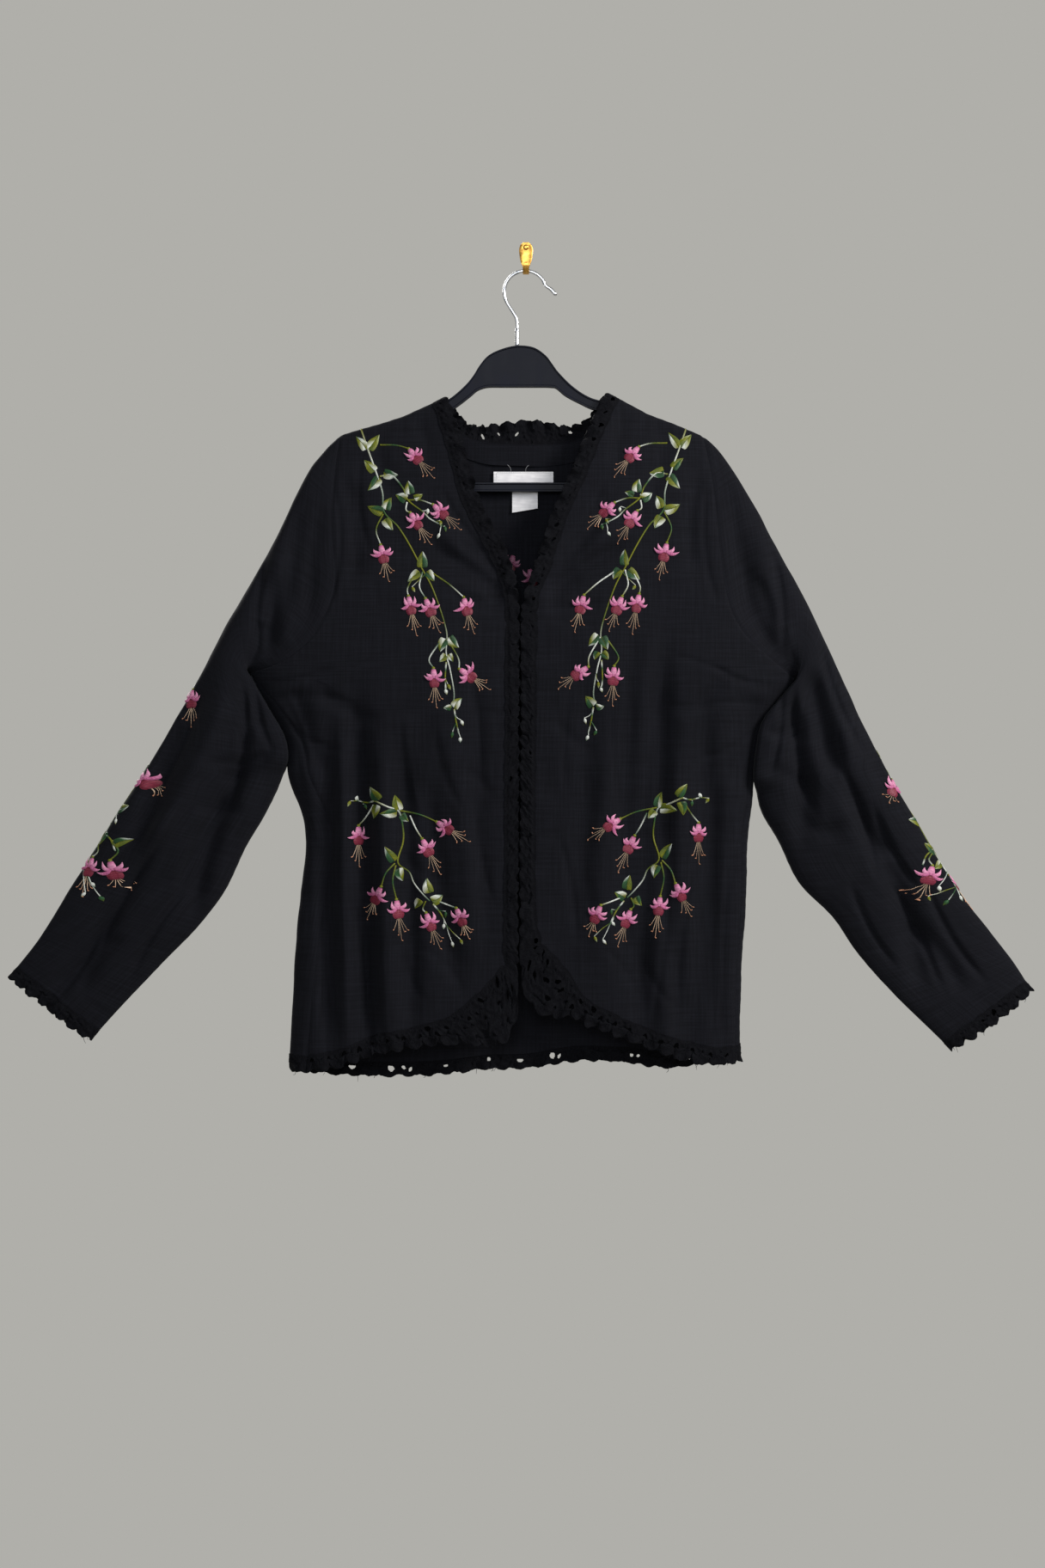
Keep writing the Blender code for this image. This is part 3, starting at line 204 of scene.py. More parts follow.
# Folds, with the columns x start, z start, x end, z end, sideways bow, half width and
# height towards the viewer. Creases are sharper, and a dart is a sewn tuck
FRONT_FOLDS: Table = (
    (-198, -470, -196, -800, 3, 11, -5.0), (-171, -455, -160, -805, -4, 12, -8.0),
    (-184, -500, -178, -800, 2, 9, 3.5), (-144, -500, -138, -790, 3, 13, 4.0),
    (-124, -500, -116, -780, -3, 10, -5.0), (-98, -540, -68, -740, 5, 11, -4.0),
    (-84, -470, -52, -700, -6, 12, 2.4), (-48, -420, -40, -690, 3, 9, -1.8),
    (107, -400, 103, -745, 4, 11, -4.0), (121, -440, 112, -700, -3, 9, 2.2),
    (131, -428, 117, -775, 5, 11, -6.5), (146, -500, 142, -800, -4, 12, 4.0),
    (139, -400, 160, -806, 7, 11, -5.5), (179, -455, 170, -806, -5, 12, -5.0),
    (192, -520, 191, -800, 2, 9, -3.0), (60, -430, 52, -660, -4, 12, -2.2),
    (84, -500, 76, -720, 4, 12, 2.4), (-24, -346, -92, -298, 5, 8, -3.6),
    (-24, -330, -66, -292, 4, 6, -2.2), (-25, -353, -74, -345, -3, 6, -2.4),
    (-40, -322, -88, -272, -4, 11, 2.6), (24, -344, 98, -295, -5, 8, -3.6),
    (36, -314, 82, -248, 4, 8, -2.6), (24, -356, 76, -352, 3, 6, -1.8), (40, -316, 90, -264, 4, 11, 2.6),
    (-232, -440, -206, -520, 4, 12, -4.0), (228, -446, 204, -530, -4, 12, -4.0),
    (-150, -176, -128, -252, 6, 10, -1.8), (-112, -162, -98, -218, -4, 8, -1.4),
    (140, -172, 122, -250, -6, 10, -1.8), (104, -156, 92, -214, 4, 8, -1.4),
    (-182, -226, -174, -330, -7, 9, -2.4), (176, -222, 170, -318, 7, 9, -2.4),
    (-206, -440, -150, -470, 5, 8, -2.0), (198, -430, 150, -462, -5, 8, -2.0),
    (-128, -600, -84, -632, 6, 7, -1.2), (150, -566, 96, -598, -6, 7, -1.2),
    (-60, -520, -34, -548, -3, 6, -1.0), (30, -470, 66, -500, 4, 6, -1.0),
)
CREASES: Table = (
    (-262, -432, -196, -418, 4, 3.6, -1.9), (-256, -450, -176, -452, -6, 4.2, -2.1),
    (-246, -470, -186, -500, 5, 3.4, -1.7), (-238, -446, -214, -520, -3, 3.8, 1.9),
    (-230, -500, -212, -600, 4, 4.0, -2.0), (-226, -560, -222, -690, -3, 3.4, -1.6),
    (-206, -610, -200, -812, 3, 4.2, -2.4), (-176, -640, -158, -806, -5, 4.0, -2.6),
    (-150, -706, -142, -800, 3, 3.2, -1.8), (-128, -690, -102, -752, 5, 3.6, -1.7),
    (-104, -700, -64, -742, -5, 3.4, -1.5), (-90, -480, -64, -560, 6, 3.8, -1.6),
    (-58, -420, -46, -520, -4, 3.2, -1.5), (-50, -560, -34, -650, 4, 3.4, -1.6),
    (-118, -470, -108, -560, 4, 3.6, 1.6), (-26, -352, -86, -318, 4, 3.0, -1.8),
    (-26, -366, -70, -372, -3, 3.0, -1.5), (-36, -306, -84, -240, -4, 3.4, -1.7),
    (-192, -238, -196, -350, -7, 3.6, -1.6), (-168, -206, -158, -300, 5, 3.4, -1.2),
    (24, -352, 92, -322, -4, 3.0, -1.8), (26, -366, 74, -376, 3, 3.0, -1.5),
    (34, -300, 78, -232, 4, 3.4, -1.7), (250, -436, 190, -418, -4, 3.6, -1.9),
    (244, -456, 172, -460, 6, 4.2, -2.1), (234, -476, 178, -508, -5, 3.4, -1.7),
    (226, -450, 206, -530, 3, 3.8, 1.9), (222, -520, 206, -640, -4, 4.0, -2.0),
    (206, -600, 200, -806, 3, 4.0, -2.2), (172, -600, 150, -800, 5, 4.2, -2.6),
    (142, -640, 128, -770, -4, 3.4, -1.9), (152, -760, 118, -712, -4, 3.6, -1.7),
    (112, -748, 80, -700, 4, 3.4, -1.5), (88, -430, 96, -560, 5, 3.8, -1.6),
    (46, -430, 40, -540, 4, 3.2, -1.5), (34, -590, 50, -690, -4, 3.4, -1.6),
    (128, -470, 122, -580, -4, 3.6, 1.5), (184, -236, 190, -346, 7, 3.6, -1.6),
)
BUST_DARTS: Table = (
    (-216, -437, -137, -402, 0, 2.4, -1.1),
    (205, -422, 138, -401, 0, 2.4, -1.1),
)
BACK_FOLDS: Table = (
    (-176, -450, -168, -800, 6, 12, 6.0), (-150, -500, -146, -790, -4, 10, -3.6),
    (-120, -400, -128, -800, -5, 13, 4.5), (-92, -470, -98, -760, 5, 11, -3.0),
    (-58, -330, -66, -790, 6, 13, 5.5), (-30, -430, -34, -720, -5, 11, -2.8),
    (-4, -300, 2, -560, 4, 12, 3.5), (14, -600, 8, -790, -3, 11, -3.2), (36, -520, 30, -795, -5, 13, 5.0),
    (62, -420, 58, -700, 4, 11, -3.0), (92, -350, 84, -780, 6, 12, 5.5),
    (120, -480, 124, -790, -4, 11, -3.6), (150, -420, 158, -790, 5, 13, 6.0),
    (184, -520, 190, -790, -3, 10, -3.0), (-205, -430, -150, -350, 6, 12, 4.0),
    (198, -436, 146, -356, -6, 12, 4.0), (-192, -400, -120, -300, -8, 11, -2.8),
    (186, -410, 118, -306, 8, 11, -2.8), (-150, -190, -96, -262, 6, 10, -1.8),
    (142, -190, 90, -258, -6, 10, -1.8), (-70, -228, 62, -236, 6, 9, -1.6),
    (-176, -560, -118, -588, 5, 8, -1.5), (60, -620, 128, -598, 5, 8, -1.5),
)
SLEEVE_FRONT_FOLDS: Table = (
    (-206, -262, -216, -372, 4, 9, -6.0), (-228, -256, -262, -400, -6, 10, -4.4),
    (-246, -300, -238, -395, 4, 10, 3.0), (-250, -330, -257, -402, 3, 7, -2.8),
    (-268, -372, -279, -414, -2, 6, -2.4), (-278, -500, -338, -665, 8, 12, -6.5),
    (-300, -440, -392, -612, -9, 13, 4.5), (-326, -428, -392, -618, 8, 12, -5.0),
    (-392, -612, -480, -750, -7, 12, -4.4), (-352, -560, -420, -668, 7, 9, 2.6),
    (-256, -452, -284, -500, 5, 6, -1.8), (-258, -506, -306, -530, -4, 7, -2.2),
    (-286, -562, -330, -560, 4, 7, -1.8), (-410, -690, -452, -742, 4, 8, -2.4),
    (-284, -440, -300, -560, -7, 4.5, -2.6), (-272, -428, -256, -500, 5, 4.0, -2.2),
    (-250, -500, -318, -512, -5, 3.8, -1.8), (-300, -540, -352, -650, 6, 4.2, -2.4),
    (-330, -450, -372, -540, -5, 4.2, -2.2), (-366, -590, -430, -700, 5, 4.0, -2.2),
    (-430, -680, -486, -762, -4, 4.0, -2.0), (-344, -640, -400, -730, 4, 3.8, -1.8),
    (-262, -300, -270, -400, 4, 4.0, -1.8), (202, -240, 218, -388, -5, 9, -6.0),
    (220, -312, 245, -402, 5, 9, -4.4), (231, -326, 246, -374, -3, 7, -2.6),
    (236, -270, 262, -400, 6, 11, 3.0), (266, -449, 279, -592, -6, 11, -5.0),
    (288, -425, 321, -530, 5, 12, -6.5), (321, -530, 364, -606, 4, 12, -6.0),
    (364, -606, 400, -742, -6, 12, -4.5), (309, -410, 364, -536, -6, 10, -4.0),
    (322, -470, 332, -590, 5, 13, 4.0), (244, -480, 286, -470, 4, 7, -2.2),
    (240, -520, 292, -540, -4, 7, -2.2), (286, -580, 330, -574, 4, 7, -1.8),
    (392, -676, 440, -742, -5, 9, -2.6), (270, -440, 290, -560, 7, 4.5, -2.6),
    (256, -440, 246, -520, -5, 4.0, -2.4), (238, -480, 284, -484, 4, 3.6, -1.8),
    (300, -400, 340, -500, 5, 4.2, -2.2), (318, -520, 352, -620, -5, 4.2, -2.4),
    (352, -560, 396, -640, 4, 4.0, -2.0), (372, -640, 420, -740, -4, 4.0, -2.2),
    (406, -640, 462, -730, 5, 4.0, -2.0), (330, -640, 372, -716, 4, 3.8, -1.8),
    (250, -300, 258, -400, -4, 4.0, -1.8),
)
SLEEVE_BACK_FOLDS: Table = (
    (-262, -470, -346, -650, 8, 13, 5.0), (-318, -420, -380, -560, -7, 12, 4.0),
    (-380, -600, -452, -720, 6, 12, 4.0), (-300, -480, -352, -600, -6, 10, -3.2),
    (-250, -500, -296, -524, 4, 8, -2.4), (-420, -640, -462, -700, 4, 9, -2.2),
    (-226, -270, -262, -380, 6, 11, -3.2), (256, -450, 330, -640, -8, 13, 5.0),
    (306, -410, 372, -560, 7, 12, 4.0), (372, -590, 446, -730, -6, 12, 4.0),
    (290, -470, 344, -600, 6, 10, -3.2), (242, -500, 290, -520, 4, 8, -2.4),
    (412, -640, 456, -716, -4, 9, -2.2), (218, -270, 252, -380, -6, 11, -3.2),
)

# Free edge of each lace, columns share of the cloth edge's length, x, z
NECK_LACE: Sided = {
    L: ((0, -79.4, -137.3), (0.094, -72, -160), (0.187, -65, -182), (0.297, -58, -209),
        (0.415, -50, -236), (0.51, -42, -256), (0.605, -31.5, -275), (0.69, -21.5, -293),
        (0.785, -13, -315), (0.886, -7.2, -342)),
    R: ((0, 79.9, -132.5), (0.081, 71.5, -152), (0.152, 65, -168), (0.237, 57, -187), (0.325, 49, -207),
        (0.41, 41, -226), (0.49, 33, -244), (0.571, 25, -262.5), (0.675, 17, -287), (0.795, 8, -314),
        (0.909, -1.5, -342)),
}
HEM_LACE: Sided = {
    L: ((0, -8.2, -727), (0.05, -7.5, -752), (0.094, -10, -775), (0.14, -18, -791), (0.2, -31, -798.5),
        (0.305, -58, -797.5), (0.394, -84, -797), (0.494, -108, -800), (0.6, -131, -803),
        (0.687, -150, -807), (0.79, -171, -814), (0.9, -196, -822), (1, -221, -826)),
    R: ((0, -6.2, -706), (0.05, -5.2, -730), (0.085, -1, -748), (0.13, 10, -763), (0.184, 26, -769),
        (0.27, 46, -770), (0.35, 60, -777), (0.43, 77, -783), (0.5, 92, -789), (0.585, 113, -797),
        (0.7, 137, -806), (0.82, 166, -815), (0.91, 189, -818), (1, 212, -817)),
}
BACK_NECK_LACE: Table = (
    (0, -79.4, -137.3), (0.05, -74, -148), (0.11, -66, -158), (0.2, -55, -166), (0.3, -42, -166.5),
    (0.4, -24, -165), (0.5, 1, -161), (0.6, 20, -163), (0.7, 39, -166.5), (0.79, 52, -166),
    (0.87, 64, -158), (0.94, 73, -146), (1, 79.9, -132.5),
)

# Gaps that show in the back neck lace, columns x, distance in from its free edge, half sizes, tilt
BACK_NECK_HOLES: Table = (
    (-45, 11.0, 2.1, 1.5, 0.3), (-27, 9.5, 1.2, 1.0, 0.0), (-9, 12.0, 1.7, 1.3, 0.1),
    (50, 8.0, 2.2, 1.4, -0.5),
)

# Drops of the straighter laces below their cloth edges, columns share of the edge's length, size
BACK_HEM_DROP: Table = ((0, 17), (0.3, 15.5), (0.5, 15.5), (0.8, 17), (1, 17))
CUFF_DROP: Table = ((0, 13), (0.5, 15), (1, 13))
CENTRE_DROP: Table = ((0, 0), (0.88, 0), (1, 11))

# Gaps that show in the back hem lace, columns x, distance in from its free edge, half sizes, tilt
BACK_HEM_HOLES: Table = (
    (-178, 9.5, 3.4, 1.8, 0.2), (-138, 9.0, 3.6, 2.4, -0.7), (-125, 8.0, 2.0, 1.6, 1.2),
    (-118, 7.5, 2.3, 1.4, 1.2), (-82, 9.5, 2.0, 1.2, 0.1), (-38, 10.0, 1.5, 2.0, 0.3),
    (-6, 9.0, 3.0, 1.6, -0.1), (27, 9.0, 3.4, 2.2, 1.1), (34, 8.0, 2.0, 1.5, 1.2),
    (108, 9.0, 1.8, 1.4, 0.9), (115, 8.0, 1.6, 1.4, 0.2), (168, 9.0, 3.0, 1.8, -0.3),
    (199, 9.5, 2.6, 1.6, 0.4),
)

# Hanger arms from the left tip to the right one, columns upper x, upper z, lower x, lower z, half thickness
HANGER_ARMS: Table = (
    (-198, -236.5, -198, -226.5, 3.0), (-203, -231, -197, -222, 3.0), (-205.5, -221, -197, -216.5, 3.2),
    (-205.5, -210, -195.5, -210.5, 3.4), (-203.5, -202, -193, -205, 3.5),
    (-197, -193.5, -189, -199.5, 3.5), (-187, -183, -181, -194, 3.5), (-157, -172, -153, -184.5, 3.5),
    (-125, -162, -121, -174.5, 3.5), (-94, -148.4, -90, -160.4, 3.4), (-78, -141, -73, -152, 3.4),
    (-63, -128.5, -57, -140, 3.9), (-54, -118, -50, -134, 4.2), (-47, -107, -43, -131, 4.5),
    (-38, -97, -36, -130, 4.5), (-24, -90.3, -23, -130, 4.5), (-8, -87, -8, -130, 4.5),
    (8, -89, 7, -130, 4.5), (20, -97, 18.5, -130, 4.5), (27, -106, 26, -130.3, 4.5),
    (33, -114, 31, -131.5, 4.2), (46, -127, 40, -139, 3.9), (60, -137, 55, -147, 3.5),
    (74, -142.5, 70, -153.5, 3.5), (94, -144.5, 92, -157, 3.5), (123, -159.2, 119, -171, 3.5),
    (152, -170.7, 148, -183, 3.5), (172, -180.5, 166, -191, 3.5), (182, -189.5, 175, -198, 3.5),
    (188, -199, 178, -203.5, 3.4), (190, -209, 180, -210, 3.2), (189.5, -220, 181, -216.5, 3.0),
    (187, -231, 181, -222, 3.0), (182, -236.5, 182, -226.5, 3.0),
)


def hermite(at: Array | float, keys: Array, values: Array) -> Array:
    """Values of a smooth curve through a short table.

    Args:
        at: Places to read the curve at.
        keys: Places of the table's rows, rising or falling.
        values: Values of the table's rows.

    Returns:
        One value for each place.
    """
    keys, values = np.asarray(keys, float), np.asarray(values, float)
    if keys[0] > keys[-1]:
        keys, values = keys[::-1], values[::-1]
    slopes = np.gradient(values, keys)
    at = np.clip(at, keys[0], keys[-1])
    low = np.clip(np.searchsorted(keys, at) - 1, 0, len(keys) - 2)
    span = keys[low + 1] - keys[low]
    t = (at - keys[low]) / span
    first = (1 + 2 * t) * (1 - t) ** 2 * values[low] + t * (1 - t) ** 2 * span * slopes[low]
    second = t**2 * (3 - 2 * t) * values[low + 1] - t**2 * (1 - t) * span * slopes[low + 1]
    return first + second


def column(table: Sequence[Sequence[float]], index: int) -> Array:
    """One column of a table."""
    return np.array([row[index] for row in table], float)


def table_value(at: Array | float, table: Table, index: int = 1) -> Array:
    """Smooth value of one column of a table whose first column is the place."""
    return hermite(at, column(table, 0), column(table, index))


def unit(vectors: Array) -> Array:
    """Vectors scaled to length one."""
    vectors = np.asarray(vectors, float)
    return vectors / np.maximum(np.linalg.norm(vectors, axis=-1, keepdims=True), 1e-12)


def lengths_of(points: Array, axis: int = 0) -> Array:
    """Distance from the start of a line, or of an axis of a grid, to each of its points."""
    steps = np.linalg.norm(np.diff(points, axis=axis), axis=-1)
    return np.insert(np.cumsum(steps, axis=axis), 0, 0.0, axis=axis)


def shares_of(points: Array) -> Array:
    """Share of a line's length at each of its points."""
    lengths = lengths_of(points)
    return lengths / lengths[-1]


def along(points: Sequence[Sequence[float]], shares: Array) -> Array:
    """Points at given shares of the length of a smooth line.

    Args:
        points: A few points that the line passes through.
        shares: Shares of its length, from 0 to 1.

    Returns:
        One point for each share.
    """
    points = np.asarray(points, float)
    keys = np.arange(len(points), dtype=float)
    fine = np.linspace(0, keys[-1], 40 * len(points))
    line = np.stack([hermite(fine, keys, points[:, i]) for i in range(points.shape[1])], axis=1)
    lengths = lengths_of(line)
    wanted = np.asarray(shares) * lengths[-1]
    return np.stack([np.interp(wanted, lengths, line[:, i]) for i in range(points.shape[1])], axis=1)


# A fold runs on past its ends by this share of its length, and fades in over the second share
FOLD_OVERRUN, FOLD_FADE = 0.12, 0.3


def fold_height(x: Array, z: Array, folds: Table) -> Array:
    """Height of the soft ridges and troughs of a fold table.

    Args:
        x: Places across, as seen from the front.
        z: Places up.
        folds: Rows of start, end, sideways bow, half width and height.

    Returns:
        The sum of all folds at each place.
    """
    total = np.zeros(np.broadcast(x, z).shape)
    for x0, z0, x1, z1, bow, width, height in folds:
        run_x, run_z = x1 - x0, z1 - z0
        length = math.hypot(run_x, run_z)
        share = ((x - x0) * run_x + (z - z0) * run_z) / length**2
        off = ((x - x0) * run_z - (z - z0) * run_x) / length - bow * 4 * share * (1 - share)
        ends = np.clip((share + FOLD_OVERRUN) / FOLD_FADE, 0, 1)
        ends = ends * np.clip((1 + FOLD_OVERRUN - share) / FOLD_FADE, 0, 1)
        ends = ends * ends * (3 - 2 * ends)
        total = total + height * ends * np.exp(-((off / width) ** 2))
    return total


def rumple(points: Array, size: float, seed: int) -> Array:
    """Smooth random heights in space, the same wherever two pieces share a point.

    Args:
        points: Places in space.
        size: Distance between one rise and the next.
        seed: Number that picks the pattern.

    Returns:
        Values between about -1 and 1.
    """
    repeat = 32
    lattice = np.random.default_rng(seed).uniform(-1, 1, (repeat, repeat, repeat))
    at = points / size + 7.3
    low = np.floor(at).astype(int)
    t = at - low
    t = t * t * (3 - 2 * t)
    total = np.zeros(points.shape[:-1])
    for corner in np.ndindex(2, 2, 2):
        index = (low + corner) % repeat
        weight = np.prod(np.where(np.array(corner, bool), t, 1 - t), axis=-1)
        total += weight * lattice[index[..., 0], index[..., 1], index[..., 2]]
    return total


def rumple_along(run: Array, row: float, size: float, seed: int) -> Array:
    """Smooth random heights along a line, different for each row."""
    return rumple(np.column_stack([run, np.full(len(run), row), np.zeros(len(run))]), size, seed)


@dataclass(frozen=True)
class BodyForm:
    """The hanging body of the cardigan as one smooth form.

    Its places are a cloth distance round from the front centre line, called wrap, and a height z.
    """

    hanger_y: float = -10.5
    shoulder_half: float = 6.2
    shoulder_round: float = 3.2
    depth_growth: float = 80.0
    side_round: float = 55.0
    bust_rise: float = 7.0
    bust_at: tuple[float, float] = (112.0, -430.0)
    bust_spread: float = 85.0
    fold_gain: float = 1.6
    fold_fade: float = 12.0

    def centre_x(self, z: Array) -> Array:
        """The centre front line, which leans a little to the left on its way down."""
        return -5.5 - 2.0 * np.clip((-350 - z) / 400, 0, 1)

    def half_width(self, z: Array, side: Side) -> Array:
        """Distance from the centre front line to the body's outline."""
        return np.abs(table_value(z, SIDE_LINE[side]) - self.centre_x(z))

    def depth_row(self, z: Array) -> tuple[Array, Array, Array]:
        """Middle plane, front half depth and back half depth at a height."""
        middle, front, back = (table_value(z, DEPTHS, index) for index in (1, 2, 3))
        return middle, front, back

    def wrap_lengths(self, z: Array, side: Side) -> tuple[Array, Array, Array]:
        """The flat run, the front round and the back round of the cloth, from the centre line to a side."""
        _, front, back = self.depth_row(z)
        flat = self.half_width(z, side) - self.side_round
        rounds = [math.pi / 2 * np.sqrt((self.side_round**2 + depth**2) / 2) for depth in (front, back)]
        return flat, rounds[0], rounds[1]

    def wrap_of(self, x: Array, z: Array, side: Side, back: bool = False) -> Array:
        """Cloth distance of a place that is seen on the front or on the back.

        Args:
            x: Place across.
            z: Height.
            side: Side of the centre line.
            back: Whether the place is on the back.

        Returns:
            Distance round from the front centre line.
        """
        flat, front_round, back_round = self.wrap_lengths(z, side)
        reach = np.abs(x - self.centre_x(z))
        turn = np.arcsin(np.clip((reach - flat) / self.side_round, 0, 1)) / (math.pi / 2)
        if back:
            whole = 2 * flat + front_round + back_round
            return whole - np.where(reach < flat, reach, flat + turn * back_round)
        return np.where(reach < flat, reach, flat + turn * front_round)

    def shoulder_z(self, x: Array) -> Array:
        """Height of the shoulder line, level across the neck."""
        line = SHOULDER[L][::-1] + SHOULDER[R]
        return np.interp(x, column(line, 0), column(line, 1))

    def point(self, wrap: Array, z: Array, side: Side) -> Array:
        """Place in space of a place on the cloth.

        Args:
            wrap: Cloth distance round from the front centre line.
            z: Height.
            side: Side of the centre line.

        Returns:
            Points of the outer surface, with the folds in it.
        """
        flat, front_round, back_round = self.wrap_lengths(z, side)
        front_turn = np.clip((wrap - flat) / front_round, 0, 1) * math.pi / 2
        back_turn = np.clip((wrap - flat - front_round) / back_round, 0, 1) * math.pi / 2
        on_front = wrap < flat + front_round
        past = np.clip(wrap - flat - front_round - back_round, 0, None)
        front_reach = np.where(wrap < flat, wrap, flat + self.side_round * np.sin(front_turn))
        reach = np.where(on_front, front_reach, flat + self.side_round * np.cos(back_turn) - past)
        x = self.centre_x(z) + side.value * reach
        below = np.clip(self.shoulder_z(x) - z, 0, None)
        middle, front, back = self.depth_row(z)
        growth = 1 - np.exp(-below / self.depth_growth)
        rounding = self.shoulder_half * np.sqrt(1 - np.exp(-below / self.shoulder_round))
        middle = self.hanger_y + (middle - self.hanger_y) * growth
        near_bust = (np.abs(x - self.centre_x(z)) - self.bust_at[0]) ** 2 + (z - self.bust_at[1]) ** 2
        bust = self.bust_rise * np.exp(-near_bust / self.bust_spread**2)
        front = rounding + (front + bust - self.shoulder_half) * growth
        back = rounding + (back - self.shoulder_half) * growth
        fade = 1 - np.exp(-below / self.fold_fade)
        front_fold = self.fold_gain * fold_height(x, z, FRONT_FOLDS)
        front_fold = front_fold + fold_height(x, z, CREASES + BUST_DARTS)
        front_y = middle - np.cos(front_turn) * (front + fade * front_fold)
        back_y = middle + np.sin(back_turn) * (back - fade * fold_height(x, z, BACK_FOLDS))
        return np.stack([x, np.where(on_front, front_y, back_y), z], axis=-1)

    def normal(self, wrap: Array, z: Array, side: Side) -> Array:
        """Outward unit normal at a place on the cloth."""
        step = 0.5
        across = self.point(wrap + step, z, side) - self.point(wrap - step, z, side)
        down = self.point(wrap, z - step, side) - self.point(wrap, z + step, side)
        return unit(np.cross(down, across)) * side.value

    def seen_y(self, x: Array, z: Array, back: bool = False) -> Array:
        """Depth of the front or back surface at a place seen from the front."""
        depth = np.zeros(np.broadcast(x, z).shape)
        for side in Side:
            here = (x - self.centre_x(z)) * side.value >= 0
            depth = np.where(here, self.point(self.wrap_of(x, z, side, back), z, side)[..., 1], depth)
        return depth


@dataclass
class Panel:
    """A cut piece of cloth laid on the form: its outer points, their normals and its flat thread places."""

    points: Array
    normals: Array
    cloth: Array


@dataclass(frozen=True)
class Cutting:
    """Lays the cut pieces of the cardigan on its form, as fine grids that share their seam lines."""

    form: BodyForm = BodyForm()
    armhole_rows: int = 88
    side_rows: int = 120
    front_columns: tuple[int, int, int] = (30, 30, 24)
    back_steps: int = 9
    ring_steps: int = 8
    neck_share: float = 0.54
    neck_lace_share: float = 11 / 13
    back_armhole_curve: float = 0.85
    fold_share: float = 2.1
    sleeve_round: float = 0.325
    contact_ahead: float = 16.0
    contact_overlap: float = 1.8
    contact_ease: tuple[float, float] = (5.0, 20.0)
    end_crowding: float = 0.75
    neck_crowding: float = 1.5

    @property
    def neck_lace_row(self) -> int:
        """The row of a front where its neckline lace ends and its centre lace begins."""
        return round(self.armhole_rows * self.neck_lace_share)

    def armhole_shares(self) -> Array:
        """Shares of the armhole seam, closer together at the shoulder and at the underarm."""
        even = np.arange(self.armhole_rows + 1) / self.armhole_rows
        return self.end_crowding * (1 - np.cos(math.pi * even)) / 2 + (1 - self.end_crowding) * even

    def armhole_line(self, side: Side, back: bool = False) -> Array:
        """Armhole seam as seen from the front, or the flatter one of the back."""
        shares = self.armhole_shares()
        front = along(ARMHOLE[side], shares)
        if not back:
            return front
        chord = front[0] + shares[:, None] * (front[-1] - front[0])
        return chord + self.back_armhole_curve * (front - chord)

    def wrapped(self, places: Array, side: Side, back: bool = False) -> Array:
        """Places seen from the front, x and z, as distance round the body and height."""
        return np.column_stack([self.form.wrap_of(places[:, 0], places[:, 1], side, back), places[:, 1]])

    def side_seam(self, side: Side) -> Array:
        """Wrap and height of the side seam, from the underarm down to the hem."""
        even = np.linspace(0, 1, self.side_rows + 1)
        top, bottom = ARMHOLE[side][-1][1], FRONT_HEM[side][0][1]
        z = top + (bottom - top) * even
        x = table_value(z, SIDE_LINE[side]) - side.value * table_value(z, SEAM_INSET[side])
        x += (FRONT_HEM[side][0][0] - x[-1]) * even
        x[0] = ARMHOLE[side][-1][0]
        return self.wrapped(np.column_stack([x, z]), side)

    def shoulder_columns(self, side: Side, counts: Sequence[int]) -> Array:
        """Points of the shoulder seam from the armhole to the neck, each straight span cut evenly."""
        seam = np.array(SHOULDER[side][1:5][::-1], float)
        points = [seam[0]]
        for start, end, count in zip(seam[:-1], seam[1:], counts):
            points += [start + (end - start) * step / count for step in range(1, count + 1)]
        return np.array(points)

    @staticmethod
    def span(left: Array, right: Array, top: Array, bottom: Array, across: Array, down: Array) -> Array:
        """Grid of places spanned between four border lines.

        Args:
            left: Border down the left side.
            right: Border down the right side.
            top: Border along the top.
            bottom: Border along the bottom.
            across: Shares of the columns.
            down: Shares of the rows.

        Returns:
            The grid, in which the shapes of top and bottom fade out quickly.
        """
        u, v = across[None, :, None], down[:, None, None]
        ruled = (1 - u) * left[:, None] + u * right[:, None]
        return ruled + (1 - v) ** 3 * (top[None] - ruled[:1]) + v**3 * (bottom[None] - ruled[-1:])

    def shoulder_up(self, side: Side) -> Array:
        """Direction square to the shoulder seam, upwards."""
        neck, arm = (np.array(SHOULDER[side][place], float) for place in (1, 4))
        run_x, run_z = unit(neck - arm)
        return np.array([-run_z, 0.0, run_x]) * np.sign(run_x)

    def front(self, side: Side) -> Panel:
        """One front, rows from shoulder to hem, columns from side to centre."""
        outer = np.vstack([self.wrapped(self.armhole_line(side), side), self.side_seam(side)[1:]])
        even = np.arange(self.armhole_rows + 1) / self.armhole_rows
        upper = self.neck_share * even**self.neck_crowding
        lower = self.neck_share + (1 - self.neck_share) * np.linspace(0, 1, self.side_rows + 1)[1:]
        inner = self.wrapped(along(FRONT_EDGE[side], np.concatenate([upper, lower])), side)
        top = self.wrapped(self.shoulder_columns(side, self.front_columns), side)
        turn = np.linspace(0, 1, len(top))
        across = (turn + 1 - np.cos(math.pi / 2 * turn) ** 1.2) / 2
        hem = self.wrapped(along(FRONT_HEM[side], across), side)
        down = (shares_of(outer) + shares_of(inner)) / 2
        flat = self.span(outer, inner, top, hem, across, down)
        wrap, z = flat[..., 0], flat[..., 1]
        normals = self.form.normal(wrap, z, side)
        normals[0] = self.shoulder_up(side)
        return Panel(self.form.point(wrap, z, side), normals, np.stack([wrap * side.value, z], axis=-1))

    def back_distance(self, wrap: Array, z: Array, side: Side) -> Array:
        """Signed distance from the back centre line of a distance round from the front one."""
        flat, front_round, back_round = self.form.wrap_lengths(z, side)
        return side.value * (2 * flat + front_round + back_round - wrap)

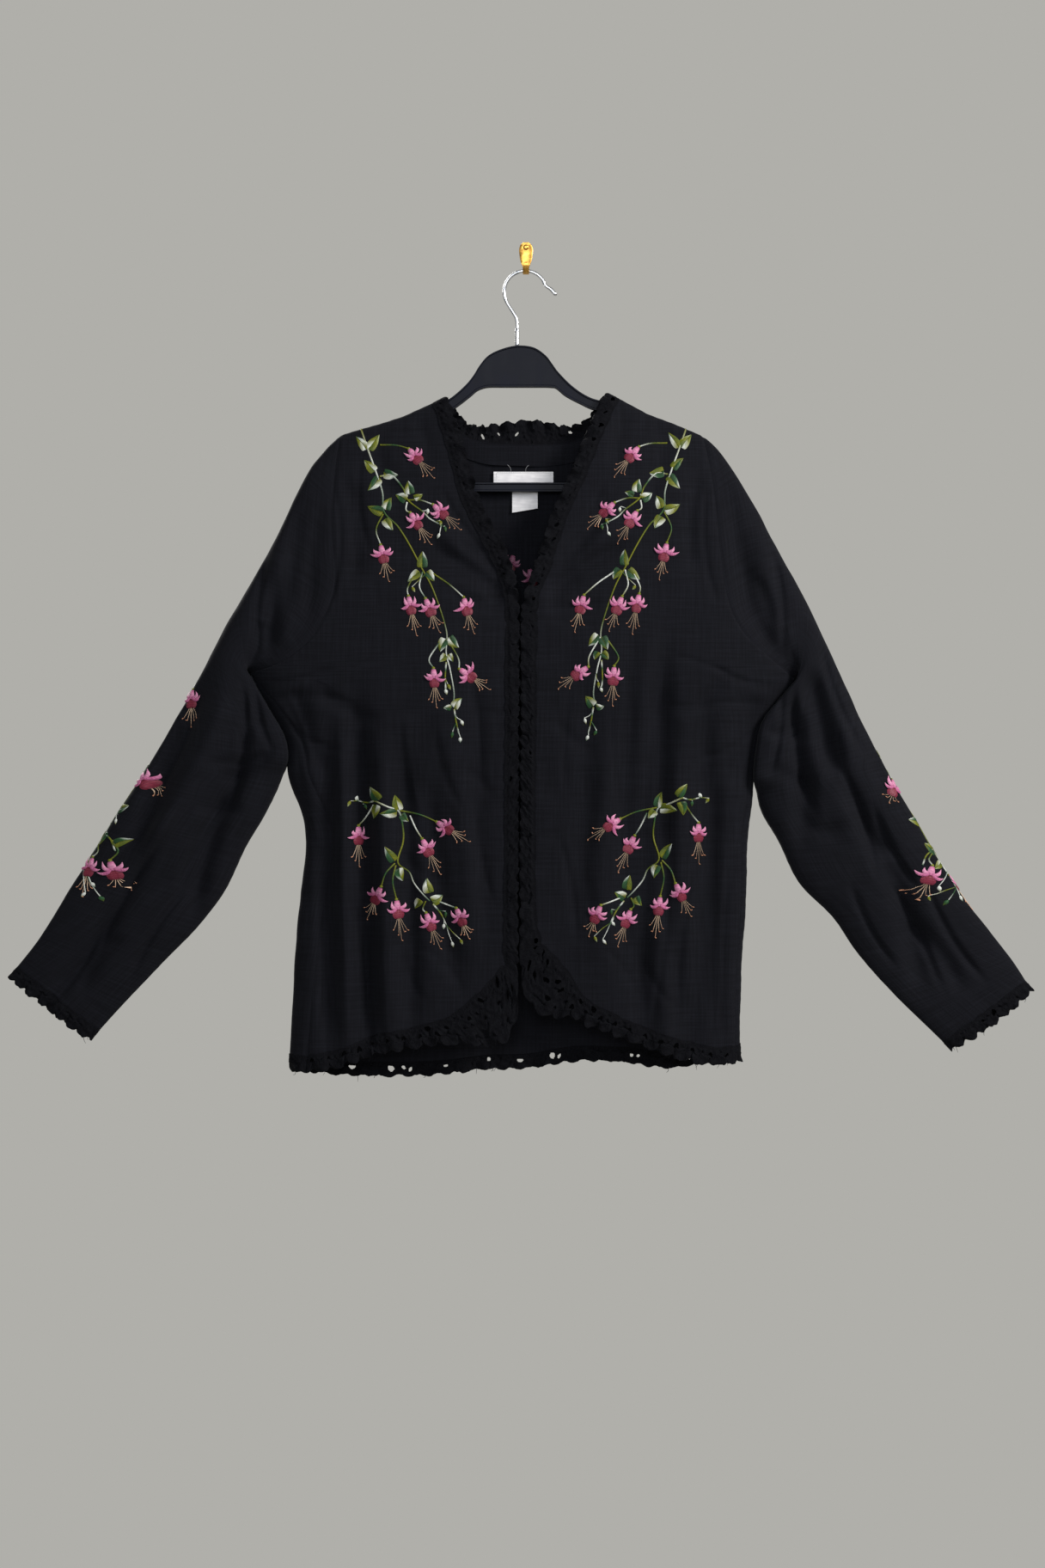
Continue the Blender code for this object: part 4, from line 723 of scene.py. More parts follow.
    def back(self) -> Panel:
        """The back, rows from shoulder to hem, columns from left to right."""
        form = self.form
        borders = {}
        for side in Side:
            arm = self.wrapped(self.armhole_line(side, back=True), side, back=True)
            wrap, z = np.vstack([arm, self.side_seam(side)[1:]]).T
            borders[side] = np.column_stack([self.back_distance(wrap, z, side), z])
        left, right = borders[L], borders[R]
        steps = self.back_steps
        places = np.arange(len(BACK_COLUMNS) * steps - steps + 1) / steps
        neck_places = places[3 * steps : -3 * steps] - 3
        neck = along(BACK_NECK, np.interp(neck_places, np.arange(len(BACK_NECK_SHARES)), BACK_NECK_SHARES))
        ends = [self.shoulder_columns(side, (steps,) * 3) for side in (L, R)]
        top = np.vstack([ends[0], neck[1:-1], ends[1][::-1]])
        distances = [self.back_distance(form.wrap_of(x, z, side, back=True), z, side)
                     for x, z in top for side in (L if x < form.centre_x(z) else R,)]
        top = np.column_stack([distances, top[:, 1]])
        across = np.interp(places, np.arange(len(BACK_COLUMNS)), BACK_COLUMNS)
        reach = left[-1, 0] + across * (right[-1, 0] - left[-1, 0])
        hem_z = table_value(reach + form.centre_x(-800.0), BACK_HEM)
        hem_z[0], hem_z[-1] = left[-1, 1], right[-1, 1]
        down = (shares_of(left) + shares_of(right)) / 2
        flat = self.span(left, right, top, np.column_stack([reach, hem_z]), across, down)
        middle = flat[:, len(across) // 2, 1]
        even = middle[0] + (middle[-1] - middle[0]) * np.arange(len(left)) / (len(left) - 1)
        low, high = BACK_COLUMNS[3], BACK_COLUMNS[-4]
        under_neck = np.clip((across - low) / (high - low), 0, 1)
        flat[..., 1] += np.sin(math.pi * under_neck)[None] ** 2 * (even - middle)[:, None]
        points, normals = np.zeros(flat.shape[:2] + (3,)), np.zeros(flat.shape[:2] + (3,))
        for side in Side:
            z = flat[..., 1]
            here = flat[..., 0] * side.value >= 0
            wrap = self.back_distance(0, z, side) * side.value - side.value * flat[..., 0]
            points[here] = form.point(wrap, z, side)[here]
            normals[here] = form.normal(wrap, z, side)[here]
        shoulder = 3 * steps + 1
        normals[0, :shoulder] = self.shoulder_up(L)
        normals[0, -shoulder:] = self.shoulder_up(R)
        return Panel(points, normals, flat)

    def sleeve(self, side: Side, front_arm: Array, back_arm: Array) -> Panel:
        """A sleeve, in rings from the armhole to the cuff.

        Args:
            side: Side of the garment.
            front_arm: Points of the front's armhole seam.
            back_arm: Points of the back's armhole seam.

        Returns:
            The sleeve as an open sheet, with columns from the underarm up the front and down the back.
        """
        shares = self.armhole_shares()
        lift = (4 * shares * (1 - shares)) ** self.sleeve_round
        sections = np.hstack([SLEEVE[side], SLEEVE_DEPTHS]).astype(float)
        places = np.arange((len(sections) - 1) * self.ring_steps + 1) / self.ring_steps
        rows = [hermite(places, np.arange(len(sections)), sections[:, i]) for i in range(sections.shape[1])]
        keeps = np.interp(places, np.arange(len(ARMHOLE_FADE)), ARMHOLE_FADE)
        rings, bends = [], ()
        for outer_x, outer_z, inner_x, inner_z, middle, front, back, keep in zip(*rows, keeps):
            touch, toward = self.contact(side, inner_x, inner_z)
            x = outer_x + (inner_x - outer_x) * shares + toward * shares**5
            z = outer_z + (inner_z - outer_z) * shares
            ahead = self.contact_ahead * touch * shares**3
            lines = [np.column_stack([x, middle - ahead - (front - 0.6 * ahead) * lift, z]),
                     np.column_stack([x, middle - ahead + (back + 0.8 * ahead) * lift, z])]
            bends = bends or tuple(arm - line for arm, line in zip((front_arm, back_arm), lines))
            for line, bend, folds in zip(lines, bends, (SLEEVE_FRONT_FOLDS, SLEEVE_BACK_FOLDS)):
                line += keep * bend
                height = self.fold_share * (1 - keep) * lift
                line[:, 1] -= height * fold_height(line[:, 0], line[:, 2], folds)
            rings.append(np.vstack([lines[0][::-1], lines[1][1:]]))
        points = np.array(rings)
        normals = self.tube_normals(points, side)
        down = np.repeat(lengths_of(points.mean(axis=1))[:, None], points.shape[1], axis=1)
        return Panel(points, normals, np.stack([lengths_of(points, 1), -down], axis=-1))

    def contact(self, side: Side, inner_x: float, inner_z: float) -> tuple[float, float]:
        """How the sleeve's inner edge lies against the body's side below the arm.

        Args:
            side: Side of the garment.
            inner_x: Place across of the sleeve's inner edge.
            inner_z: Height of that edge.

        Returns:
            The share of contact there, and the way across to it.
        """
        start, end = CONTACT_SPAN[side]
        begin, finish = self.contact_ease
        share = np.clip((start - inner_z) / begin, 0, 1) * np.clip((inner_z - end) / finish, 0, 1)
        share = share * share * (3 - 2 * share)
        edge = self.form.centre_x(inner_z) + side.value * self.form.half_width(np.array(inner_z), side)
        return float(share), float(share * (edge - side.value * self.contact_overlap - inner_x))

    @staticmethod
    def tube_normals(points: Array, side: Side) -> Array:
        """Outward unit normals of a tube whose first and last columns coincide."""
        ring = points[:, :-1]
        across = np.roll(ring, -1, axis=1) - np.roll(ring, 1, axis=1)
        down = np.gradient(ring, axis=0)
        normals = unit(np.cross(down, across)) * side.value
        normals = unit(normals + np.roll(normals, 1, axis=1) + np.roll(normals, -1, axis=1))
        return np.concatenate([normals, normals[:, :1]], axis=1)


def shell_quads(present: Array) -> Array:
    """Four-cornered faces of a thin wall over a grid, with walls round its edges and holes.

    Args:
        present: Which cells of the grid are cloth.

    Returns:
        Corner numbers, in which the inner points follow all the outer ones.
    """
    rows, columns = present.shape[0] + 1, present.shape[1] + 1
    index = np.arange(rows * columns).reshape(rows, columns)
    count = rows * columns
    a, b, c, d = index[:-1, :-1], index[:-1, 1:], index[1:, 1:], index[1:, :-1]
    face = np.stack([corner[present] for corner in (a, b, c, d)], axis=1)
    quads = [face, face[:, ::-1] + count]
    padded = np.pad(present, 1)
    edges = (
        (a, b, padded[:-2, 1:-1]),
        (b, c, padded[1:-1, 2:]),
        (c, d, padded[2:, 1:-1]),
        (d, a, padded[1:-1, :-2]),
    )
    for start, end, beyond in edges:
        open_edge = present & ~beyond
        s, e = start[open_edge], end[open_edge]
        quads.append(np.stack([e, s, s + count, e + count], axis=1))
    return np.concatenate(quads)


def add_mesh(name: str, points: Array, faces: Array, sharp_degrees: float = 50.0,
             places: dict[str, Array] | None = None) -> Obj:
    """Makes one object from points in millimetres.

    Args:
        name: Name of the piece.
        points: Its points.
        faces: Corner numbers, four or three to a face.
        sharp_degrees: Angle above which an edge is drawn sharp.
        places: Values to keep with each point, such as thread places or thread colours.

    Returns:
        The new object, linked to the scene.
    """
    used, faces = np.unique(faces, return_inverse=True)
    corners = faces.reshape(-1, faces.shape[-1] if faces.ndim > 1 else 4).astype(np.int32)
    mesh = bpy.data.meshes.new(name)
    mesh.vertices.add(len(used))
    mesh.vertices.foreach_set("co", (points[used] * MM).astype(np.float32).ravel())
    mesh.loops.add(corners.size)
    mesh.loops.foreach_set("vertex_index", corners.ravel())
    mesh.polygons.add(len(corners))
    mesh.polygons.foreach_set("loop_start", np.arange(0, corners.size, corners.shape[1], dtype=np.int32))
    mesh.update(calc_edges=True)
    mesh.validate()
    for attribute, values in (places or {}).items():
        kind, field_name = ("FLOAT_COLOR", "color") if values.shape[1] == 4 else ("FLOAT_VECTOR", "vector")
        layer = mesh.attributes.new(attribute, kind, "POINT")
        layer.data.foreach_set(field_name, values[used].astype(np.float32).ravel())
    mesh.shade_smooth()
    mesh.set_sharp_from_angle(angle=math.radians(sharp_degrees))
    obj = bpy.data.objects.new(name, mesh)
    bpy.context.scene.collection.objects.link(obj)
    return obj


def add_shell(name: str, outer: Array, normals: Array, wall: float, cloth: Array,
              present: Array | None = None) -> Obj:
    """A thin wall of cloth under its outer points.

    Args:
        name: Name of the piece.
        outer: Grid of outer points.
        normals: Outward unit normals of the grid.
        wall: Thickness.
        cloth: Flat thread places of the grid.
        present: Which cells are cloth; all of them when left out.

    Returns:
        The new object.
    """
    rows, columns = outer.shape[:2]
    if present is None:
        present = np.ones((rows - 1, columns - 1), bool)
    inner = outer - wall * normals
    points = np.vstack([outer.reshape(-1, 3), inner.reshape(-1, 3)])
    flat = np.zeros((rows * columns, 3))
    flat[:, : cloth.shape[-1]] = cloth.reshape(rows * columns, -1)
    quads = shell_quads(present)
    a, b, c = (points[quads[: present.sum(), i]] for i in (0, 1, 3))
    facing = np.einsum("ij,ij->i", np.cross(b - a, c - a), normals.reshape(-1, 3)[quads[: present.sum(), 0]])
    if facing.sum() < 0:
        quads = quads[:, ::-1]
    return add_mesh(name, points, quads, places={"cloth_mm": np.vstack([flat, flat])})


def ring_faces(rings: int, sides: int, ends: bool = True) -> Array:
    """Faces of a tube of rings, with its two end rings filled by quads where asked."""
    index = np.arange(rings * sides).reshape(rings, sides)
    turned = np.roll(index, -1, axis=1)
    faces = [np.stack([index[:-1], turned[:-1], turned[1:], index[1:]], axis=-1).reshape(-1, 4)]
    if ends:
        places = range(sides // 2 - 1)
        for ring, flip in ((index[0], True), (index[-1], False)):
            quads = [(ring[i], ring[i + 1], ring[sides - 2 - i], ring[sides - 1 - i]) for i in places]
            faces.append(np.array([q[::-1] if flip else q for q in quads]))
    return np.concatenate(faces)


def add_rings(name: str, rings: Array, sharp_degrees: float = 50.0, ends: bool = True) -> Obj:
    """Makes one object from rings of points, with its ends filled where asked."""
    return add_mesh(name, rings.reshape(-1, 3), ring_faces(*rings.shape[:2], ends), sharp_degrees)


def tube_rings(route: Array, radius: Array | float, sides: int) -> Array:
    """Rings of a round bar along a route, with a dome on each end.

    Args:
        route: Points of its centre line.
        radius: Its radius, or one radius a point.
        sides: Number of sides of its section.

    Returns:
        The points of each ring.
    """
    route = np.asarray(route, float)
    radii = np.broadcast_to(radius, len(route)).astype(float)
    tangents = unit(np.gradient(route, axis=0))
    caps = ((0.05, 0.98), (0.62, 0.7))
    head = [(route[0] - tangents[0] * radii[0] * out, radii[0] * size) for size, out in caps]
    tail = [(route[-1] + tangents[-1] * radii[-1] * out, radii[-1] * size) for size, out in caps[::-1]]
    route = np.vstack([[p for p, _ in head], route, [p for p, _ in tail]])
    radii = np.concatenate([[r for _, r in head], radii, [r for _, r in tail]])
    tangents = np.vstack([tangents[:1]] * 2 + [tangents] + [tangents[-1:]] * 2)
    normal = unit(np.cross(tangents[0], (0.13, 0.97, 0.2)))
    rings = []
    turns = 2 * math.pi * np.arange(sides) / sides
    for point, tangent, size in zip(route, tangents, radii):
        normal = unit(normal - tangent * (normal @ tangent))
        other = np.cross(tangent, normal)
        rings.append(point + size * (np.cos(turns)[:, None] * normal + np.sin(turns)[:, None] * other))
    return np.array(rings)


def add_threads(name: str, threads: Sequence[tuple[Array, Array | float]], sides: int,
                dye: str | None = None) -> Obj:
    """Makes one object of several thin threads.

    Args:
        name: Name of the piece.
        threads: Centre line and radius of each thread.
        sides: Number of sides of their section.
        dye: Their colour as an sRGB hex value, where their finish asks for one.

    Returns:
        The new object.
    """
    tubes = [tube_rings(route, radius, sides) for route, radius in threads]
    points = np.concatenate([tube.reshape(-1, 3) for tube in tubes])
    starts = np.cumsum([0] + [len(tube) * sides for tube in tubes[:-1]])
    faces = np.concatenate([ring_faces(len(tube), sides) + start for tube, start in zip(tubes, starts)])
    places = {"thread_dye": np.tile(linear(dye), (len(points), 1))} if dye else {}
    return add_mesh(name, points, faces, places=places | {"stitch_mm": points})


def linear(code: str) -> tuple[float, float, float, float]:
    """Linear colour of an sRGB hex value such as '1a2b3c'."""
    values = [int(code[i : i + 2], 16) / 255 for i in (0, 2, 4)]
    red, green, blue = (v / 12.92 if v <= 0.04045 else ((v + 0.055) / 1.055) ** 2.4 for v in values)
    return red, green, blue, 1.0


def add_node(tree: Tree, kind: str, settings: dict | None = None, inputs: dict | None = None) -> Node:
    """Adds one shader node.

    Args:
        tree: Tree that gets the node.
        kind: Blender's name of the node.
        settings: Values for its own settings.
        inputs: A value or a linked output for each input that isn't left alone.

    Returns:
        The new node.
    """
    node = tree.nodes.new(kind)
    for name, value in (settings or {}).items():
        setattr(node, name, value)
    for name, value in (inputs or {}).items():
        if isinstance(value, Socket):
            tree.links.new(value, node.inputs[name])
        else:
            node.inputs[name].default_value = value
    return node


def streaks(tree: Tree, source: Socket, scale: tuple[float, float, float], detail: float = 2.0) -> Socket:
    """Noise stretched along one direction of the cloth.

    Args:
        tree: Tree that gets the nodes.
        source: Thread places in millimetres.
        scale: Repeats for each millimetre, across, along and through.
        detail: Finer layers of the noise.

    Returns:
        The noise, from 0 to 1.
    """
    scaled = add_node(tree, "ShaderNodeVectorMath", {"operation": "MULTIPLY"}, {0: source, 1: scale})
    inputs = {"Vector": scaled.outputs[0], "Scale": 1.0, "Detail": detail}
    return add_node(tree, "ShaderNodeTexNoise", {}, inputs).outputs[0]


@dataclass(frozen=True)
class Finish:
    """A surface finish, made once and then shared by the pieces that have it.

    Its pattern turns from one colour to the other between the two values of spread. Its relief is the
    strength and the depth in metres of its fine grain.
    """

    name: str
    colour: str
    roughness: float
    metallic: float = 0.0
    slot: Slot | None = None
    spread: tuple[float, float] = (0.0, 1.0)
    relief: tuple[float, float] = (0.0, 0.0)
    sheen: float = 0.0
    specular: float = 0.5

    def make(self) -> bpy.types.Material:
        """The finish as a material, made on first use."""
        material = bpy.data.materials.get(self.name)
        if material is None:
            material = bpy.data.materials.new(self.name)
            material.use_nodes = True
            shader = material.node_tree.nodes["Principled BSDF"]
            shader.inputs["Base Color"].default_value = linear(self.colour)
            shader.inputs["Roughness"].default_value = self.roughness
            shader.inputs["Metallic"].default_value = self.metallic
            shader.inputs["Sheen Weight"].default_value = self.sheen
            shader.inputs["Specular IOR Level"].default_value = self.specular
            self.dress(material.node_tree, shader)
        return material

    def dress(self, tree: Tree, shader: Node) -> None:
        """Adds what this finish shows beyond its plain colour."""

    def cover(self, shader: Node, pattern: Socket, height: Socket,
              *colours: tuple[float, ...] | Socket) -> None:
        """Spreads two colours over the surface by a pattern, and raises its relief.

        Args:
            shader: Surface shader of the material.
            pattern: What the colours follow.
            height: What the relief follows.
            colours: The colours where the pattern is low and where it is high.
        """
        tree = shader.id_data
        inputs = {"Value": pattern, "From Min": self.spread[0], "From Max": self.spread[1]}
        share = add_node(tree, "ShaderNodeMapRange", {}, inputs)
        inputs = {0: share.outputs[0], 6: colours[0], 7: colours[1]}
        tint = add_node(tree, "ShaderNodeMix", {"data_type": "RGBA"}, inputs)
        inputs = {"Strength": self.relief[0], "Distance": self.relief[1], "Height": height}
        bump = add_node(tree, "ShaderNodeBump", {}, inputs)
        tree.links.new(tint.outputs[2], shader.inputs["Base Color"])
        tree.links.new(bump.outputs[0], shader.inputs["Normal"])


@dataclass(frozen=True)
class PlainWovenLinen(Finish):
    """Black dyed linen in plain weave.

    Its slubby yarns run as faint dull streaks both ways, and its fibre ends give a soft sheen at the folds.
    """

    name: str = "plain woven linen"
    colour: str = "07070d"
    roughness: float = 0.9
    slot: Slot = Slot.LINEN
    spread: tuple[float, float] = (0.8, 1.45)
    relief: tuple[float, float] = (0.3, 0.0003)
    sheen: float = 0.028
    specular: float = 0.1
    slub_colour: str = "0e0f15"
    worn_colour: str = "05060a"
    sheen_colour: str = "a8acb8"
    yarn_pitch: float = 1.25
    yarn_share: float = 0.16
    slub_width: float = 1.6
    slub_length: float = 46.0
    worn_size: tuple[float, float] = (60.0, 90.0)

    def dress(self, tree: Tree, shader: Node) -> None:
        """Adds the slubs, the weave and the sheen.

        Args:
            tree: Tree of the material.
            shader: Its surface shader.
        """
        shader.inputs["Sheen Roughness"].default_value = 0.45
        shader.inputs["Sheen Tint"].default_value = linear(self.sheen_colour)
        places = add_node(tree, "ShaderNodeAttribute", {"attribute_name": "cloth_mm"}).outputs["Vector"]
        thin, long = 1 / self.slub_width, 1 / self.slub_length
        warp = streaks(tree, places, (thin, long, 1.0))
        weft = streaks(tree, places, (long, thin, 1.0))
        slubs = add_node(tree, "ShaderNodeMath", {"operation": "ADD"}, {0: warp, 1: weft}).outputs[0]
        wear = streaks(tree, places, (1 / self.worn_size[0], 1 / self.worn_size[1], 1.0), 3.0)
        inputs = {0: wear, 6: linear(self.worn_colour), 7: linear(self.colour)}
        ground = add_node(tree, "ShaderNodeMix", {"data_type": "RGBA"}, inputs)
        # Real yarns lie 0.5 mm apart, too fine for the picture, so the weave is drawn 2.5 times as coarse
        turn = 2 * math.pi / self.yarn_pitch
        inputs = {0: places, 1: (turn, turn, 0.0)}
        scaled = add_node(tree, "ShaderNodeVectorMath", {"operation": "MULTIPLY"}, inputs)
        apart = add_node(tree, "ShaderNodeSeparateXYZ", {}, {0: scaled.outputs[0]})
        waves = [add_node(tree, "ShaderNodeMath", {"operation": "SINE"}, {0: apart.outputs[axis]}).outputs[0]
                 for axis in (0, 1)]
        weave = add_node(tree, "ShaderNodeMath", {"operation": "MULTIPLY"}, {0: waves[0], 1: waves[1]})
        inputs = {0: weave.outputs[0], 1: self.yarn_share, 2: slubs}
        height = add_node(tree, "ShaderNodeMath", {"operation": "MULTIPLY_ADD"}, inputs)
        self.cover(shader, slubs, height.outputs[0], ground.outputs[2], linear(self.slub_colour))


@dataclass(frozen=True)
class MercerisedCottonLace(Finish):
    """Black cotton cord lace, dissolved from its ground, so that only thick stitched cords are left.

    It is duller and darker than the cloth. Its colour is painted lighter on the raised stitches,
    a painted highlight where the cords turn to the light.
    """

    name: str = "mercerised cotton lace"
    colour: str = "030306"
    roughness: float = 0.88
    slot: Slot = Slot.LACE
    spread: tuple[float, float] = (0.14, 0.46)
    relief: tuple[float, float] = (0.8, 0.0005)
    sheen: float = 0.01
    specular: float = 0.07
    high_colour: str = "090a0e"
    sheen_colour: str = "9a9eaa"
    stitch_pitch: float = 1.3

    def dress(self, tree: Tree, shader: Node) -> None:
        """Adds the cord's stitches, the painted highlight on them and its uneven dye.

        Args:
            tree: Tree of the material.
            shader: Its surface shader.
        """
        shader.inputs["Sheen Tint"].default_value = linear(self.sheen_colour)
        places = add_node(tree, "ShaderNodeAttribute", {"attribute_name": "cloth_mm"}).outputs["Vector"]
        # Real stitches lie 0.3 mm apart, too fine for the picture, so they are drawn four times as coarse
        pitch = 1 / self.stitch_pitch
        stitches = streaks(tree, places, (pitch, pitch * 0.45, 1.0), 1.0)
        uneven = streaks(tree, places, (0.12, 0.16, 1.0))
        # Where the stitches stand high the colour turns lighter, as painted highlight; the uneven dye varies
        # it at random
        level = add_node(tree, "ShaderNodeMath", {"operation": "MULTIPLY"}, {0: stitches, 1: uneven})
        self.cover(shader, level.outputs[0], stitches, linear(self.colour), linear(self.high_colour))


@dataclass(frozen=True)
class WovenSatinTape(Finish):
    """White polyester label tape in satin weave, smooth along its length, with cut ends turned under."""

    name: str = "woven satin tape"
    colour: str = "c9c8cb"
    roughness: float = 0.5
    slot: Slot = Slot.TAPE
    spread: tuple[float, float] = (0.12, 0.4)
    relief: tuple[float, float] = (0.5, 0.0002)
    sheen: float = 0.1
    shade_colour: str = "aeadb2"
    rib_pitch: float = 1.1

    def dress(self, tree: Tree, shader: Node) -> None:
        """Adds the fine ribs, with painted shade in the grooves between them, and the rubbed places.

        Args:
            tree: Tree of the material.
            shader: Its surface shader.
        """
        places = add_node(tree, "ShaderNodeAttribute", {"attribute_name": "cloth_mm"}).outputs["Vector"]
        # Real satin threads lie 0.2 mm apart, too fine for the picture, so they are drawn 5 times as coarse
        ribs = streaks(tree, places, (0.05, 1 / self.rib_pitch, 1.0))
        rubbed = streaks(tree, places, (0.09, 0.12, 1.0))
        # The shade colour is painted shade in the grooves between the ribs, and it also falls at random on
        # the rubbed places
        level = add_node(tree, "ShaderNodeMath", {"operation": "MULTIPLY"}, {0: ribs, 1: rubbed})
        self.cover(shader, level.outputs[0], ribs, linear(self.shade_colour), linear(self.colour))


@dataclass(frozen=True)
class ViscoseThread(Finish):
    """Machine embroidery thread of dyed viscose, laid in satin stitch.

    Its straight smooth filaments give a silky gloss that runs across each stitch.
    """

    name: str = "viscose embroidery thread"
    colour: str = "c0c0c0"
    roughness: float = 0.46
    slot: Slot = Slot.THREAD
    relief: tuple[float, float] = (0.7, 0.0004)
    sheen: float = 0.03
    specular: float = 0.16
    stitch_pitch: float = 0.85
    shadow: float = 0.62

    def dress(self, tree: Tree, shader: Node) -> None:
        """Adds the thread colours that the stitches carry, and the stitches themselves.

        Args:
            tree: Tree of the material.
            shader: Its surface shader.
        """
        dyed = add_node(tree, "ShaderNodeAttribute", {"attribute_name": "thread_dye"}).outputs["Color"]
        places = add_node(tree, "ShaderNodeAttribute", {"attribute_name": "stitch_mm"}).outputs["Vector"]
        # Real stitches lie 0.4 mm apart, too fine for the picture, so they are drawn twice as coarse
        stitches = streaks(tree, places, (0.12, 1 / self.stitch_pitch, 1.0), 1.0)
        inputs = {"Value": stitches, "From Min": 0.3, "From Max": 0.6, "To Min": self.shadow, "To Max": 1.0}
        share = add_node(tree, "ShaderNodeMapRange", {}, inputs).outputs[0]
        tint = add_node(tree, "ShaderNodeVectorMath", {"operation": "SCALE"}, {0: dyed, "Scale": share})
        inputs = {"Strength": self.relief[0], "Distance": self.relief[1], "Height": stitches}
        bump = add_node(tree, "ShaderNodeBump", {}, inputs)
        tree.links.new(tint.outputs[0], shader.inputs["Base Color"])
        tree.links.new(bump.outputs[0], shader.inputs["Normal"])


@dataclass(frozen=True)
class MouldedPolypropylene(Finish):
    """Injection moulded polypropylene, dark blue grey, with the fine spark texture of its mould."""

    name: str = "moulded polypropylene"
    colour: str = "090b14"
    roughness: float = 0.48
    slot: Slot = Slot.PLASTIC
    spread: tuple[float, float] = (0.5, 0.75)
    relief: tuple[float, float] = (0.25, 0.0001)
    specular: float = 0.1
    rubbed_colour: str = "0d0f1a"
    grain_pitch: float = 1.0

    def dress(self, tree: Tree, shader: Node) -> None:
        """Adds the mould's grain, and the rubbed places of much use.

        Args:
            tree: Tree of the material.
            shader: Its surface shader.
        """
        places = add_node(tree, "ShaderNodeTexCoord").outputs["Object"]
        # The real grain is 0.1 mm across, too fine for the picture, so it is drawn ten times as coarse
        grain = streaks(tree, places, (1000 / self.grain_pitch,) * 3, 2.0)
        rubbed = streaks(tree, places, (60.0, 60.0, 25.0), 3.0)
        rough = add_node(tree, "ShaderNodeMapRange", {}, {"Value": rubbed, "To Min": 0.4, "To Max": 0.58})
        tree.links.new(rough.outputs[0], shader.inputs["Roughness"])
        self.cover(shader, rubbed, grain, linear(self.colour), linear(self.rubbed_colour))


@dataclass(frozen=True)
class WornMetal(Finish):
    """A bright metal with fine wear, such as chromium plate or brass."""

    spread: tuple[float, float] = (0.42, 0.68)
    relief: tuple[float, float] = (0.15, 0.00005)
    dull_colour: str = "8a8c90"
    wear_pitch: float = 6.0

    def dress(self, tree: Tree, shader: Node) -> None:
        """Adds the duller patches and the fine scratches.

        Args:
            tree: Tree of the material.
            shader: Its surface shader.
        """
        places = add_node(tree, "ShaderNodeTexCoord").outputs["Object"]
        patches = streaks(tree, places, (1000 / self.wear_pitch,) * 3, 4.0)
        scratches = streaks(tree, places, (2400.0, 2400.0, 160.0), 2.0)
        inputs = {"Value": patches, "To Min": self.roughness * 0.7, "To Max": self.roughness * 1.6}
        rough = add_node(tree, "ShaderNodeMapRange", {}, inputs)
        tree.links.new(rough.outputs[0], shader.inputs["Roughness"])
        self.cover(shader, patches, scratches, linear(self.colour), linear(self.dull_colour))


LINEN = PlainWovenLinen()
LACE = MercerisedCottonLace()
TAPE = WovenSatinTape()
THREAD = ViscoseThread()
PLASTIC = MouldedPolypropylene()
# Nickel and chromium over steel wire: a cool mirror with a few dull patches
CHROME = WornMetal("chromium plated steel", "c6c8cc", 0.16, 1.0, Slot.CHROME, dull_colour="8f9298")
# Pressed brass strip, lacquered once, now a little brown in its corners
BRASS = WornMetal("pressed brass", "c99a4b", 0.3, 1.0, Slot.BRASS, dull_colour="7d5b2a")


def place_piece(obj: Obj, finish: Finish, *nodes: str) -> Obj:
    """Dresses a new piece and ties it to the frame.

    Args:
        obj: The piece.
        finish: Its finish.
        nodes: Solids that the piece stands for.

    Returns:
        The same piece.
    """
    obj.data.materials.append(finish.make())
    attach(obj, "root")
    if nodes:
        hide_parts(*nodes)
    LOG.info("%s: %d faces", obj.name, len(obj.data.polygons))
    return obj


